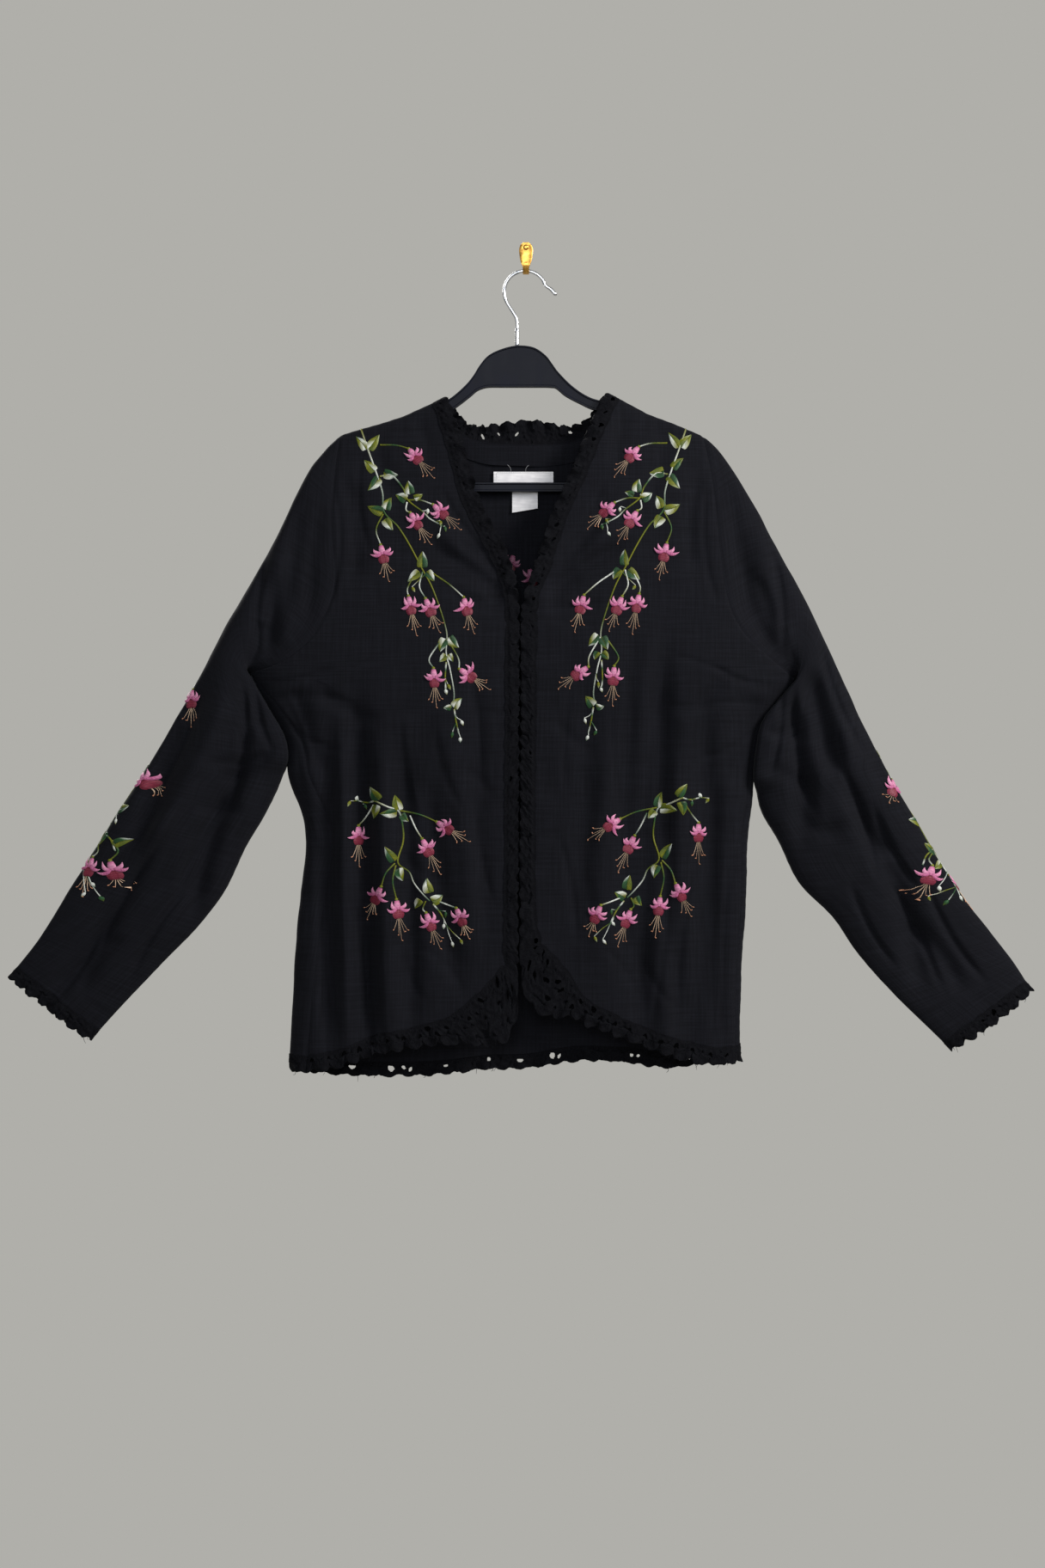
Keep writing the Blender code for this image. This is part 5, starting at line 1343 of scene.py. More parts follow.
@dataclass
class Garment:
    """The cut and sewn cloth of the cardigan.

    Its rumples have the columns size, number that picks the pattern, and height.
    """

    cutting: Cutting = field(default_factory=Cutting)
    wall: float = 0.9
    seam_gap: float = 0.06
    rumples: Table = ((52.0, 11, 1.0), (23.0, 12, 0.55), (10.0, 13, 0.2))
    crease_height: float = 0.9
    crease_size: float = 17.0
    crease_stretch: tuple[float, float, float] = (1.0, 1.0, 0.45)
    crease_patch: float = 70.0
    groove_depth: float = 0.9
    groove_width: float = 2.6
    groove_reach: float = 5.0
    pucker_height: float = 0.28
    pucker_pitch: float = 11.0
    pucker_reach: float = 12.0
    soft_rounds: int = 24
    soft_centre: tuple[float, float] = (140.0, -432.0)
    soft_reach: tuple[float, float] = (40.0, 42.0)
    fronts: dict[Side, Panel] = field(default_factory=dict)
    sleeves: dict[Side, Panel] = field(default_factory=dict)
    back: Panel | None = None

    def lay_out(self) -> None:
        """Lays the panels on the form and lets them share the normals of their seams."""
        cut = self.cutting
        self.back = cut.back()
        self.soften_back()
        half = cut.armhole_rows
        rows = slice(0, half + 1)
        for side, place in ((L, 0), (R, -1)):
            front = self.fronts[side] = cut.front(side)
            sleeve = cut.sleeve(side, front.points[rows, 0], self.back.points[rows, place])
            self.sleeves[side] = sleeve
            meets = ((front, 0, slice(half, None, -1)), (self.back, place, slice(half, None)))
            shared = [unit(sleeve.normals[0, ring] + panel.normals[rows, line])
                      for panel, line, ring in meets]
            for (panel, line, ring), normals in zip(meets, shared):
                panel.normals[rows, line] = normals
                sleeve.normals[0, ring] = normals

    def soften_back(self) -> None:
        """Evens out the depth of the back, where its outline widens fast under the arms."""
        points = self.back.points
        inner = points[1:-1, 1:-1]
        beside = np.clip((np.abs(inner[..., 0]) - self.soft_centre[0]) / self.soft_reach[0], 0, 1)
        share = 0.5 * np.exp(-(((inner[..., 2] - self.soft_centre[1]) / self.soft_reach[1]) ** 2)) * beside
        for _ in range(self.soft_rounds):
            y = points[..., 1]
            mean = (y[:-2, 1:-1] + y[2:, 1:-1] + y[1:-1, :-2] + y[1:-1, 2:]) / 4
            points[1:-1, 1:-1, 1] += share * (mean - y[1:-1, 1:-1])

    def work_surface(self, panel: Panel, edges: Sequence[Edge]) -> None:
        """Sinks the seams, puckers the cloth beside them and rumples the rest.

        Args:
            panel: Piece that is worked on.
            edges: Its sewn edges.
        """
        points = panel.points
        height = sum(high * rumple(points, size, seed) for size, seed, high in self.rumples)
        creased = np.clip(rumple(points, self.crease_patch, 14) * 1.6, 0, 1)
        lines = np.abs(rumple(points * self.crease_stretch, self.crease_size, 15))
        height += self.crease_height * creased * (0.5 - lines)
        for edge in edges:
            axis, end, _ = edge.value
            if end:
                distance = lengths_of(points[:, ::-1], axis)[:, ::-1]
            else:
                distance = lengths_of(points, axis)
            border = np.take(lengths_of(points, 1 - axis), [end], axis=axis)
            wave = np.sin(2 * math.pi * border / self.pucker_pitch + 0.8 * np.sin(border / 31.0))
            height += self.pucker_height * wave * np.exp(-distance / self.pucker_reach)
            height *= 1 - np.exp(-distance / self.groove_reach)
            height -= self.groove_depth * np.exp(-((distance / self.groove_width) ** 2))
        points += panel.normals * height[..., None]

    def pull_back(self, panel: Panel, edges: Sequence[Edge]) -> None:
        """Moves the sewn edges of a panel in by half the seam gap, square to the edge.

        Args:
            panel: Piece that is worked on.
            edges: Its sewn edges.
        """
        before = panel.points.copy()
        for edge in edges:
            axis, end, near = edge.value
            line = np.take(before, end, axis=axis)
            toward = np.take(before, near, axis=axis) - line
            tangent = np.gradient(line, axis=0)
            step = unit(np.cross(np.take(panel.normals, end, axis=axis), tangent))
            step *= np.sign((step * toward).sum(axis=1, keepdims=True))
            target = panel.points[end] if axis == 0 else panel.points[:, end]
            target += step * self.seam_gap / 2

    def build(self) -> dict[str, Obj]:
        """Makes the five main pieces, the shells that stand for their solids.

        Returns:
            The pieces by the names of their solids.
        """
        self.lay_out()
        panels = [("back_panel", self.back, tuple(Edge))]
        for side in Side:
            panels.append((f"front_panel_{side.word}", self.fronts[side], (Edge.TOP, Edge.LEFT)))
            panels.append((f"sleeve_{side.word}", self.sleeves[side], tuple(Edge)))
        pieces = {}
        for node, panel, edges in panels:
            self.work_surface(panel, edges)
            self.pull_back(panel, edges)
            shell = add_shell(f"linen_{node}", panel.points, panel.normals, self.wall, panel.cloth)
            pieces[node] = place_piece(shell, LINEN, node)
        return pieces


@dataclass(frozen=True)
class LacePattern:
    """The repeat of the cord lace: staggered rows of ribbed petals, with gaps between them.

    Its lengths are in millimetres along the lace and in from its free edge. Stray, sizes and lean are the
    differences between petals: how far they stand off, their least and greatest size, and their tilt.
    """

    repeat: float = 16.0
    row_pitch: float = 9.5
    petal_half: tuple[float, float] = (9.2, 6.6)
    dome: float = 2.1
    rib: float = 0.45
    ribs: float = 9.0
    rim: float = 0.6
    notch: float = 3.2
    jag: float = 1.3
    overlap: float = 1.6
    openness: float = 0.4
    ruffle: float = 3.0
    ruffle_pitch: float = 27.0
    stray: tuple[float, float] = (1.8, 0.9)
    sizes: tuple[float, float] = (0.86, 1.08)
    lean: float = 0.45
    gap_half: tuple[float, float] = (1.4, 3.1)
    gap_lean: float = 0.9
    gap_margin: float = 2.9

    def petals(self, length: float, widest: float, random: Random) -> Array:
        """Places and sizes of the petals.

        Args:
            length: Length of the lace.
            widest: Its greatest width.
            random: Draws the small differences between them.

        Returns:
            For each petal its row, place along, distance in from the free edge, half sizes and tilt.
        """
        found = []
        for row in range(max(1, math.ceil((widest + self.overlap - 2.0) / self.row_pitch))):
            for index in range(-1, round(length / self.repeat) + 2):
                stray_run, stray_inward = (random.uniform(-reach, reach) for reach in self.stray)
                along_run = (index + 0.5 * (row % 2)) * self.repeat + stray_run
                inward = (row + 0.55) * self.row_pitch + stray_inward
                halves = random.uniform(*self.sizes, 2) * self.petal_half
                found.append((row, along_run, inward, *halves, random.uniform(-self.lean, self.lean)))
        return np.array(found)

    def free_edge(self, run: Array, petals: Array, seed: int) -> Array:
        """How far the free edge stands out or in at each place along the lace."""
        outer = petals[petals[:, 0] == 0]
        off = (run[:, None] - outer[:, 1]) / outer[:, 3]
        lobes = (np.sqrt(np.clip(1 - off**2, 0, 1)) - 1).max(axis=1) * outer[:, 4].mean()
        jags = rumple_along(run, 3.0 * seed, 2.6, 71) + 0.6 * rumple_along(run, 3.0 * seed, 7.0, 72)
        return np.clip(lobes, -self.notch, 0) + self.jag * jags + 0.3

    def relief(self, run: Array, inward: Array, petals: Array) -> Array:
        """Height of the stitched petals over the lace's ground.

        Args:
            run: Distance along the lace.
            inward: Distance in from its free edge.
            petals: Places and sizes of the petals.

        Returns:
            The height at each place.
        """
        total = np.full(run.shape, -0.25)
        for _, centre_run, centre_inward, half_run, half_inward, tilt in petals:
            near = np.flatnonzero(np.abs(run[0] - centre_run) < half_run * 1.4)
            if not len(near):
                continue
            part = slice(near[0], near[-1] + 1)
            off_run, off_inward = run[:, part] - centre_run, inward[:, part] - centre_inward
            turned = off_run * math.cos(tilt) - off_inward * math.sin(tilt)
            risen = off_run * math.sin(tilt) + off_inward * math.cos(tilt)
            far = np.hypot(turned / half_run, risen / half_inward)
            angle = np.arctan2(turned, half_inward * 1.05 - risen)
            hollow = 1 - 0.55 * np.exp(-((far / 0.38) ** 2))
            height = self.dome * np.sqrt(np.clip(1 - far**2, 0, 1)) * hollow
            height += self.rib * np.cos(angle * self.ribs) * np.clip((far - 0.2) * 3, 0, 1)
            height += self.rim * np.exp(-(((far - 0.87) / 0.11) ** 2))
            total[:, part] = np.where(far < 1, np.maximum(total[:, part], height), total[:, part])
        return total

    def holes(self, petals: Array, widths: Callable[[Array], Array], random: Random) -> Table:
        """The gaps between neighbouring petals that go right through.

        Args:
            petals: Places and sizes of the petals.
            widths: Gives the width of the lace at a place along it.
            random: Draws which gaps are open and how wide.

        Returns:
            For each gap its place along, distance in from the free edge, half sizes and tilt.
        """
        found = []
        for row in np.unique(petals[:, 0]):
            line = petals[petals[:, 0] == row]
            for left, right in zip(line[:-1], line[1:]):
                keep, size = random.uniform(0, 1), random.uniform(*self.gap_half)
                tilt = random.uniform(-self.gap_lean, self.gap_lean)
                along_run = (left[1] + right[1]) / 2
                inward = (left[2] + right[2]) / 2 + 0.42 * self.row_pitch
                if keep < self.openness and inward + self.gap_margin < widths(np.array(along_run)):
                    found.append((along_run, inward, size, size * random.uniform(0.6, 0.95), tilt))
        return tuple(found)


@dataclass
class Edging:
    """Every strip of lace, each laid over a cloth edge and out to its own free edge."""

    garment: Garment
    pattern: LacePattern = LacePattern()
    hem_pattern: LacePattern = LacePattern(repeat=17.0, openness=0.9, ruffle=2.0, dome=1.6)
    back_hem_pattern: LacePattern = LacePattern(repeat=19.0, openness=0.0, notch=2.0, jag=1.15, dome=1.2)
    cuff_pattern: LacePattern = LacePattern(repeat=14.0, petal_half=(8.0, 6.2), openness=0.3, ruffle=1.4)
    back_neck_pattern: LacePattern = LacePattern(openness=0.0)
    centre_pattern: LacePattern = LacePattern(repeat=15.0, openness=0.12, ruffle=1.0, notch=1.4)
    wall: float = 0.8
    step: float = 1.05
    seat_height: float = 0.76
    seat_reach: float = 2.5
    uneven_height: float = 0.6
    centre_gap: float = 1.1
    end_round: float = 9.0
    end_taper: float = 5.0
    end_flat: float = 13.0
    fray_spacing: float = 60.0
    fray_radius: float = 0.28
    strips: list[Obj] = field(default_factory=list)
    edges: list[Array] = field(default_factory=list)

    def refine(self, points: Array, normals: Array) -> tuple[Array, Array]:
        """Cuts a cloth edge into the lace's own fine steps."""
        lengths = lengths_of(points)
        at = np.linspace(0, lengths[-1], max(8, round(lengths[-1] / self.step)) + 1)
        both = np.hstack([points, normals])
        both = np.stack([np.interp(at, lengths, both[:, i]) for i in range(6)], axis=1)
        return both[:, :3], unit(both[:, 3:])

    def add_strip(self, node: str, edge: Array, normals: Array, free: Array, pattern: LacePattern,
                  seed: int, holes: Table = (), rounded: tuple[bool, bool] = (False, False)) -> None:
        """Makes one strip of lace, which stands for its solid.

        Args:
            node: Solid that it stands for.
            edge: Points of the cloth's edge.
            normals: Outward normals there.
            free: Points of the lace's free edge.
            pattern: Repeat that it shows.
            seed: Number that picks its small unevenness.
            holes: Gaps of its own, beside those of the repeat.
            rounded: Whether its start and its end are rounded off.
        """
        random = np.random.default_rng(seed)
        out = unit(free - edge)
        width = np.linalg.norm(free - edge, axis=1)
        run = lengths_of(edge)
        near_end = np.minimum(run, run[-1] - run)
        petals = pattern.petals(run[-1], width.max(), random)
        inside = np.clip(near_end / self.end_taper, 0, 1)
        ends = np.where(np.array(rounded)[:, None], np.stack([run, run[-1] - run]), self.end_round)
        ends = ends.min(axis=0)
        rounding = np.sqrt(np.clip(1 - (1 - np.clip(ends / self.end_round, 0, 1)) ** 2, 0, 1))
        width = (width + pattern.free_edge(run, petals, seed) * inside) * (0.35 + 0.65 * rounding)
        overlap = pattern.overlap * (1 + 0.8 * rumple_along(run, 9.0 * seed, 6.5, 73)) * inside + 0.25
        rows = max(6, round((width.max() + pattern.overlap) / self.step)) + 1
        share = np.linspace(0, 1, rows)[:, None]
        across = share * (width + overlap) - overlap
        holes = tuple(holes) + pattern.holes(petals, lambda at: np.interp(at, run, width), random)
        grid = np.repeat(run[None], rows, axis=0)
        along_run, inward, present = self.open_holes(grid, width - across, holes)
        across = np.interp(along_run, run, width) - inward
        start, reach, faces = (np.stack([np.interp(along_run, run, line[:, i]) for i in range(3)], axis=-1)
                               for line in (edge, out, normals))
        here = np.clip(across / np.maximum(np.interp(along_run, run, width), 1e-6), 0, 1)
        phase = 1.3 * np.sin(run / 41.0 + seed)
        wave = np.sin(2 * math.pi * run / pattern.ruffle_pitch + phase) + 0.5 * np.sin(run / 2.7 + 2 * phase)
        height = pattern.ruffle * np.interp(along_run, run, wave * inside) * here**1.5
        height += pattern.relief(along_run, inward, petals)
        height += self.uneven_height * rumple(start + reach * across[..., None], 11.0, 31)
        # Beside the cloth's edge the lace is seated on the cloth, so that no light shows between them
        height += (self.seat_height - height) * np.clip(1.0 - (across - 0.5) / self.seat_reach, 0, 1)
        height *= np.interp(along_run, run, np.clip(0.15 + near_end / self.end_flat, 0, 1))
        points = start + reach * across[..., None] + faces * height[..., None]
        cloth = np.stack([along_run, across], axis=-1)
        obj = add_shell(f"lace_{node}", points, unit(faces), self.wall, cloth, present)
        self.strips.append(place_piece(obj, LACE, node))
        self.edges.append(points[-1])

    @staticmethod
    def open_holes(run: Array, inward: Array, holes: Table) -> tuple[Array, Array, Array]:
        """Cuts oval holes into a grid, and draws its points to their rims.

        Args:
            run: Distances along, for each point.
            inward: Distances in from the free edge, for each point.
            holes: Place along, place inward, half sizes and tilt of each hole.

        Returns:
            The moved distances along and inward, and which cells are left.
        """
        run, inward = run.copy(), inward.copy()
        present = np.ones((run.shape[0] - 1, run.shape[1] - 1), bool)
        for at_run, at_inward, half_run, half_inward, tilt in holes:
            turn = np.array([[math.cos(tilt), -math.sin(tilt)], [math.sin(tilt), math.cos(tilt)]])
            off = np.stack([run - at_run, inward - at_inward], axis=-1) @ turn / (half_run, half_inward)
            far = np.linalg.norm(off, axis=-1)
            middle = np.linalg.norm((off[:-1, :-1] + off[1:, 1:]) / 2, axis=-1)
            present &= middle > 1
            near = (far < 1) & (far > 0.25)
            off[near] /= far[near][:, None]
            moved = off * (half_run, half_inward) @ turn.T
            run = np.where(near, at_run + moved[..., 0], run)
            inward = np.where(near, at_inward + moved[..., 1], inward)
        return run, inward, present

    def seen_edge(self, table: Table, shares: Array, back: bool = False) -> Array:
        """Free edge from a table of share, x and z, laid on the body's surface."""
        x, z = (table_value(shares, table, index) for index in (1, 2))
        return np.column_stack([x, self.garment.cutting.form.seen_y(x, z, back), z])

    def add_front(self, side: Side) -> None:
        """The edging of one front: down the neckline, down the centre and round the cutaway hem."""
        form, cut = self.garment.cutting.form, self.garment.cutting.neck_lace_row
        panel = self.garment.fronts[side]
        seed = 3 + side.value
        edge, normals = self.refine(panel.points[: cut + 1, -1], panel.normals[: cut + 1, -1])
        join = (form.centre_x(edge[-1, 2]) + side.value * self.centre_gap / 2, edge[-1, 2])
        free = self.seen_edge(NECK_LACE[side] + ((1, *join),), shares_of(edge))
        name = f"neck_lace_{side.word}"
        self.add_strip(name, edge, normals, free, self.pattern, seed, rounded=(True, False))
        edge, normals = self.refine(panel.points[cut:, -1], panel.normals[cut:, -1])
        z = edge[:, 2] - table_value(shares_of(edge), CENTRE_DROP)
        x = form.centre_x(z) + side.value * self.centre_gap / 2
        free = np.column_stack([x, form.seen_y(x, z), z])
        self.add_strip(f"centre_lace_{side.word}", edge, normals, free, self.centre_pattern, seed + 10)
        corner = free[-1]
        edge, normals = self.refine(panel.points[-1, ::-1], panel.normals[-1, ::-1])
        free = self.seen_edge(HEM_LACE[side], shares_of(edge))
        free[0] = corner
        self.add_strip(f"hem_lace_{side.word}", edge, normals, free, self.hem_pattern, seed + 20)

    def add_back(self) -> None:
        """The edging of the back: round the hem, and standing up round the neck."""
        form, panel = self.garment.cutting.form, self.garment.back
        edge, normals = self.refine(panel.points[-1], panel.normals[-1])
        x = edge[:, 0]
        z = edge[:, 2] - table_value(shares_of(edge), BACK_HEM_DROP)
        on_front = edge[:, 1] < form.depth_row(z)[0]
        y = np.where(on_front, form.seen_y(x, z), form.seen_y(x, z, back=True))
        free = np.column_stack([x, y, z])
        limit = np.where(x < 0, form.half_width(z, L), form.half_width(z, R)) - form.side_round
        wrapped = np.abs(x - form.centre_x(z)) > limit
        free[wrapped, 1] = edge[wrapped, 1]
        holes = self.gaps_along(edge, BACK_HEM_HOLES)
        self.add_strip("back_hem_lace", edge, normals, free, self.back_hem_pattern, 41, holes)
        shoulder = 3 * self.garment.cutting.back_steps
        inside = slice(shoulder, -shoulder)
        edge, normals = self.refine(panel.points[0, inside], panel.normals[0, inside])
        free = self.seen_edge(BACK_NECK_LACE, shares_of(edge), back=True)
        holes = self.gaps_along(edge, BACK_NECK_HOLES)
        pattern = self.back_neck_pattern
        self.add_strip("back_neck_lace", edge, normals, free, pattern, 42, holes, (True, True))

    @staticmethod
    def gaps_along(edge: Array, gaps: Table) -> Table:
        """Gaps from a table that starts with x, placed along a cloth edge."""
        return tuple((np.interp(row[0], edge[:, 0], lengths_of(edge)), *row[1:]) for row in gaps)

    def add_cuff(self, side: Side) -> None:
        """The lace ring of a cuff, cut at its two edges into a front and a back piece."""
        panel = self.garment.sleeves[side]
        half = self.garment.cutting.armhole_rows
        axis = unit((panel.points[-1] - panel.points[-2]).mean(axis=0))
        for word, places in (("front", slice(0, half + 1)), ("back", slice(half, None))):
            edge, normals = self.refine(panel.points[-1, places], panel.normals[-1, places])
            free = edge + axis * table_value(shares_of(edge), CUFF_DROP)[:, None]
            self.add_strip(f"cuff_lace_{side.word}_{word}", edge, normals, free, self.cuff_pattern,
                           50 + side.value + (word == "back"))

    def build(self) -> list[Obj]:
        """Makes every strip.

        Returns:
            The strips.
        """
        self.add_back()
        for side in Side:
            self.add_front(side)
            self.add_cuff(side)
        for strip, edge in zip(self.strips[:], self.edges):
            self.add_frays(strip.name, edge)
        return self.strips

    def add_frays(self, strip: str, edge: Array) -> None:
        """Adds the few worn thread ends that hang from a free edge.

        Args:
            strip: Name of the strip of lace.
            edge: Points of its free edge.
        """
        random = np.random.default_rng(len(strip) + round(abs(edge[0, 0])))
        turns = np.linspace(0, 1, 7)[:, None]
        threads = []
        for _ in range(max(2, round(lengths_of(edge)[-1] / self.fray_spacing))):
            start = edge[random.integers(4, len(edge) - 5)] + (0, 0, 0.5)
            reach = random.uniform((-3.0, -1.5, -6.5), (3.0, 1.0, -1.5))
            bow = random.uniform(-1.6, 1.6, 3)
            route = start + reach * turns + bow * np.sin(math.pi * turns) * (1 - 0.4 * turns)
            threads.append((route, self.fray_radius * (1 - 0.5 * turns[:, 0])))
        self.strips.append(place_piece(add_threads(f"{strip}_frays", threads, 4), LACE))


@dataclass(frozen=True)
class InsideNeck:
    """The facing and the two blank labels inside the back neck.

    A label's numbers are its left, right, upper and lower edge, its tilt, and how far its lower edge curls.
    """

    garment: Garment
    facing_half_width: float = 68.0
    facing_centre: float = -4.0
    facing_depth: float = 20.5
    facing_drop: float = 1.5
    facing_wall: float = 0.8
    label_wall: float = 0.55
    neck_label: tuple[float, ...] = (-33, 28, -215, -233, 0.0, 0.0)
    care_label: tuple[float, ...] = (-14, 12, -235, -257, 0.17, 1.2)
    clearance: float = 1.75
    swell: float = 0.35
    stitch_length: float = 2.4
    stitch_radius: float = 0.32
    thread_radius: float = 0.17

    def lay(self, name: str, node: str, x: Array, z: Array, wall: float, finish: Finish,
            lift: float = 0.0) -> tuple[Obj, Array]:
        """Lays a small piece on the inside of the back panel.

        Args:
            name: Name of the piece.
            node: Solid that it stands for.
            x: Places across of its grid.
            z: Heights of its grid.
            wall: Its thickness.
            finish: Its finish.
            lift: How far it stands off what it lies on.

        Returns:
            The piece and its outer points.
        """
        inward = np.zeros(x.shape + (3,))
        inward[..., 1] = -1.0
        grid = np.stack([x, self.garment.cutting.form.seen_y(x, z, back=True), z], axis=-1)
        swell = self.swell * rumple(grid, 16.0, 61)
        grid = grid + inward * (self.clearance + wall + lift + swell)[..., None]
        obj = add_shell(name, grid, inward, wall, np.stack([x, z], axis=-1))
        return place_piece(obj, finish, node), grid

    def row_of_stitches(self, start: Array, end: Array) -> list[tuple[Array, Array]]:
        """The short stitches of one sewn row, each with its radii.

        Args:
            start: Where the row starts.
            end: Where it ends.

        Returns:
            Centre line and radii of each stitch.
        """
        radius = self.stitch_radius
        count = max(2, round(np.linalg.norm(end - start) / self.stitch_length))
        stitches = []
        for index in range(count):
            a, b = (start + (end - start) * (index + share) / count for share in (0.16, 0.84))
            middle = (a + b) / 2 + (0, -radius * 0.7, 0)
            stitches.append((np.array([a, middle, b]), (radius * 0.7, radius, radius * 0.7)))
        return stitches

    def build(self) -> list[Obj]:
        """Makes the facing, the labels and their stitches.

        Returns:
            The new pieces.
        """
        x = np.linspace(-self.facing_half_width, self.facing_half_width, 120) + self.facing_centre
        top = table_value(x, BACK_NECK) - self.facing_drop
        z = top[None] - self.facing_depth * np.linspace(0, 1, 20)[:, None]
        x = np.repeat(x[None], 20, axis=0)
        made = [self.lay("linen_neck_facing", "back_neck_facing", x, z, self.facing_wall, LINEN)[0]]
        grids = []
        down = np.linspace(0, 1, 24)[:, None]
        for name, label in (("neck_label", self.neck_label), ("care_label", self.care_label)):
            left, right, high, low, tilt, curl = label
            x = np.repeat(np.linspace(left, right, 36)[None], 24, axis=0)
            z = np.repeat(np.linspace(high, low, 24)[:, None], 36, axis=1)
            z = z + tilt * (x - left) * np.linspace(0.3, 1, 24)[:, None]
            lift = curl * down**3 * np.ones(x.shape)
            piece, grid = self.lay(f"tape_{name}", name, x, z, self.label_wall, TAPE, lift)
            made.append(piece)
            grids.append(grid)
        neck, care = (grid + (0, -0.25, 0) for grid in grids)
        rows = ((neck[1, 2], neck[-2, 2]), (neck[1, -3], neck[-2, -3]), (neck[1, 2], neck[1, -3]),
                (care[1, 2], care[1, -3]))
        stitches = [stitch for start, end in rows for stitch in self.row_of_stitches(start, end)]
        made.append(place_piece(add_threads("label_stitches", stitches, 6, "d8d8da"), THREAD))
        made.append(self.add_loose_threads(grids[0][0, 9]))
        return made

    def add_loose_threads(self, start: Array) -> Obj:
        """The two thread ends that stand up from the neck label's upper edge."""
        turns = np.linspace(0, 1, 12)[:, None]
        threads = []
        for along_edge, reach, bend in ((2.0, (-4.5, -1.5, 6.5), 1.6), (17.0, (4.0, -2.0, 6.0), -1.5)):
            foot = start + (along_edge, 0, 0)
            route = foot + np.array(reach) * turns + np.array((bend, -0.6, 0.6)) * np.sin(turns * 2.6)
            threads.append((route, self.thread_radius))
        return place_piece(add_threads("loose_label_threads", threads, 6, "8c8c90"), THREAD)


@dataclass(frozen=True)
class Hanger:
    """The moulded hanger with its raised rims, its trouser bar and its wire hook."""

    middle_y: float = -10.5
    rim: float = 1.9
    recess: float = 1.1
    steps: int = 6
    wire_radius: float = 1.75
    stem_radius: float = 2.2
    hook_centre: tuple[float, float] = (-0.5, -32.3)
    hook_radius: float = 21.7
    hook_degrees: tuple[float, float] = (18.0, 222.0)
    hook_tip: tuple[float, float] = (30.0, -34.5)
    hook_stem: Table = ((-12.5, -54.0), (-9.6, -60.0), (-9.0, -68.0), (-9.0, -86.7))

    def section(self, upper: Array, lower: Array, half_thick: float) -> Array:
        """One ring of the arm's section: a rim along each edge and a sunk web between.

        Args:
            upper: Upper point of the section, x and z.
            lower: Lower point of the section.
            half_thick: Half its thickness at the rims.

        Returns:
            The points of the ring.
        """
        middle, reach = (upper + lower) / 2, (upper - lower) / 2
        size = np.linalg.norm(reach)
        web = max(half_thick - self.recess, 1.2)
        rim = min(self.rim, 0.42 * size) / size
        soft = 0.35 / size
        half = [(1 - soft, 0.55 * half_thick), (1 - 0.3 * rim, half_thick), (1 - rim, half_thick),
                (1 - rim - 2 * soft, web), (-1 + rim + 2 * soft, web), (-1 + rim, half_thick),
                (-1 + 0.3 * rim, half_thick), (-1 + soft, 0.55 * half_thick)]
        pattern = [(1.0, 0.0)] + half + [(-1.0, 0.0)] + [(a, -t) for a, t in half[::-1]]
        return np.array([(middle[0] + a * reach[0], self.middle_y + t, middle[1] + a * reach[1])
                         for a, t in pattern])

    def loft(self, name: str, rows: Array, node: str) -> Obj:
        """Makes a moulded bar through its sections, with closed ends."""
        rings = np.array([self.section(row[0:2], row[2:4], row[4]) for row in rows])
        for end in (0, -1):
            middle = rings[end].mean(axis=0)
            rings[end] = middle + (rings[end] - middle) * 0.94
        return place_piece(add_rings(name, rings, 38.0), PLASTIC, node)

    def build(self) -> list[Obj]:
        """Makes the arms, the bar and the hook.

        Returns:
            The new pieces.
        """
        arms = np.array(HANGER_ARMS)
        keys = np.arange(len(arms))
        at = np.linspace(0, keys[-1], keys[-1] * self.steps + 1)
        smooth = np.stack([hermite(at, keys, arms[:, i]) for i in range(5)], axis=1)
        made = [self.loft("moulded_arms", smooth, "hanger_arms")]
        left, right = HANGER_ARMS[0], HANGER_ARMS[-1]
        x = np.linspace(left[0] + 0.3, right[0] - 0.3, 40)
        bar = np.stack([x, np.full(40, left[3]), x, np.full(40, left[1]), np.full(40, left[4])], axis=1)
        made.append(self.loft("moulded_bar", bar, "hanger_bar"))
        turns = np.radians(np.linspace(*self.hook_degrees, 40))
        ring = np.column_stack([self.hook_centre[0] + self.hook_radius * np.cos(turns),
                                self.hook_centre[1] + self.hook_radius * np.sin(turns)])
        flare = (np.array(self.hook_tip) + ring[0]) / 2 + (0.4, 0.6)
        route = along(np.vstack([self.hook_tip, flare, ring[::4], self.hook_stem]), np.linspace(0, 1, 110))
        route = np.column_stack([route[:, 0], np.full(len(route), self.middle_y), route[:, 1]])
        radii = np.where(route[:, 2] < -70, self.stem_radius, self.wire_radius)
        radii[route[:, 0] > 25] = self.wire_radius * 1.08
        made.append(place_piece(add_rings("wire_hook", tube_rings(route, radii, 18)), CHROME, "hanger_hook"))
        return made


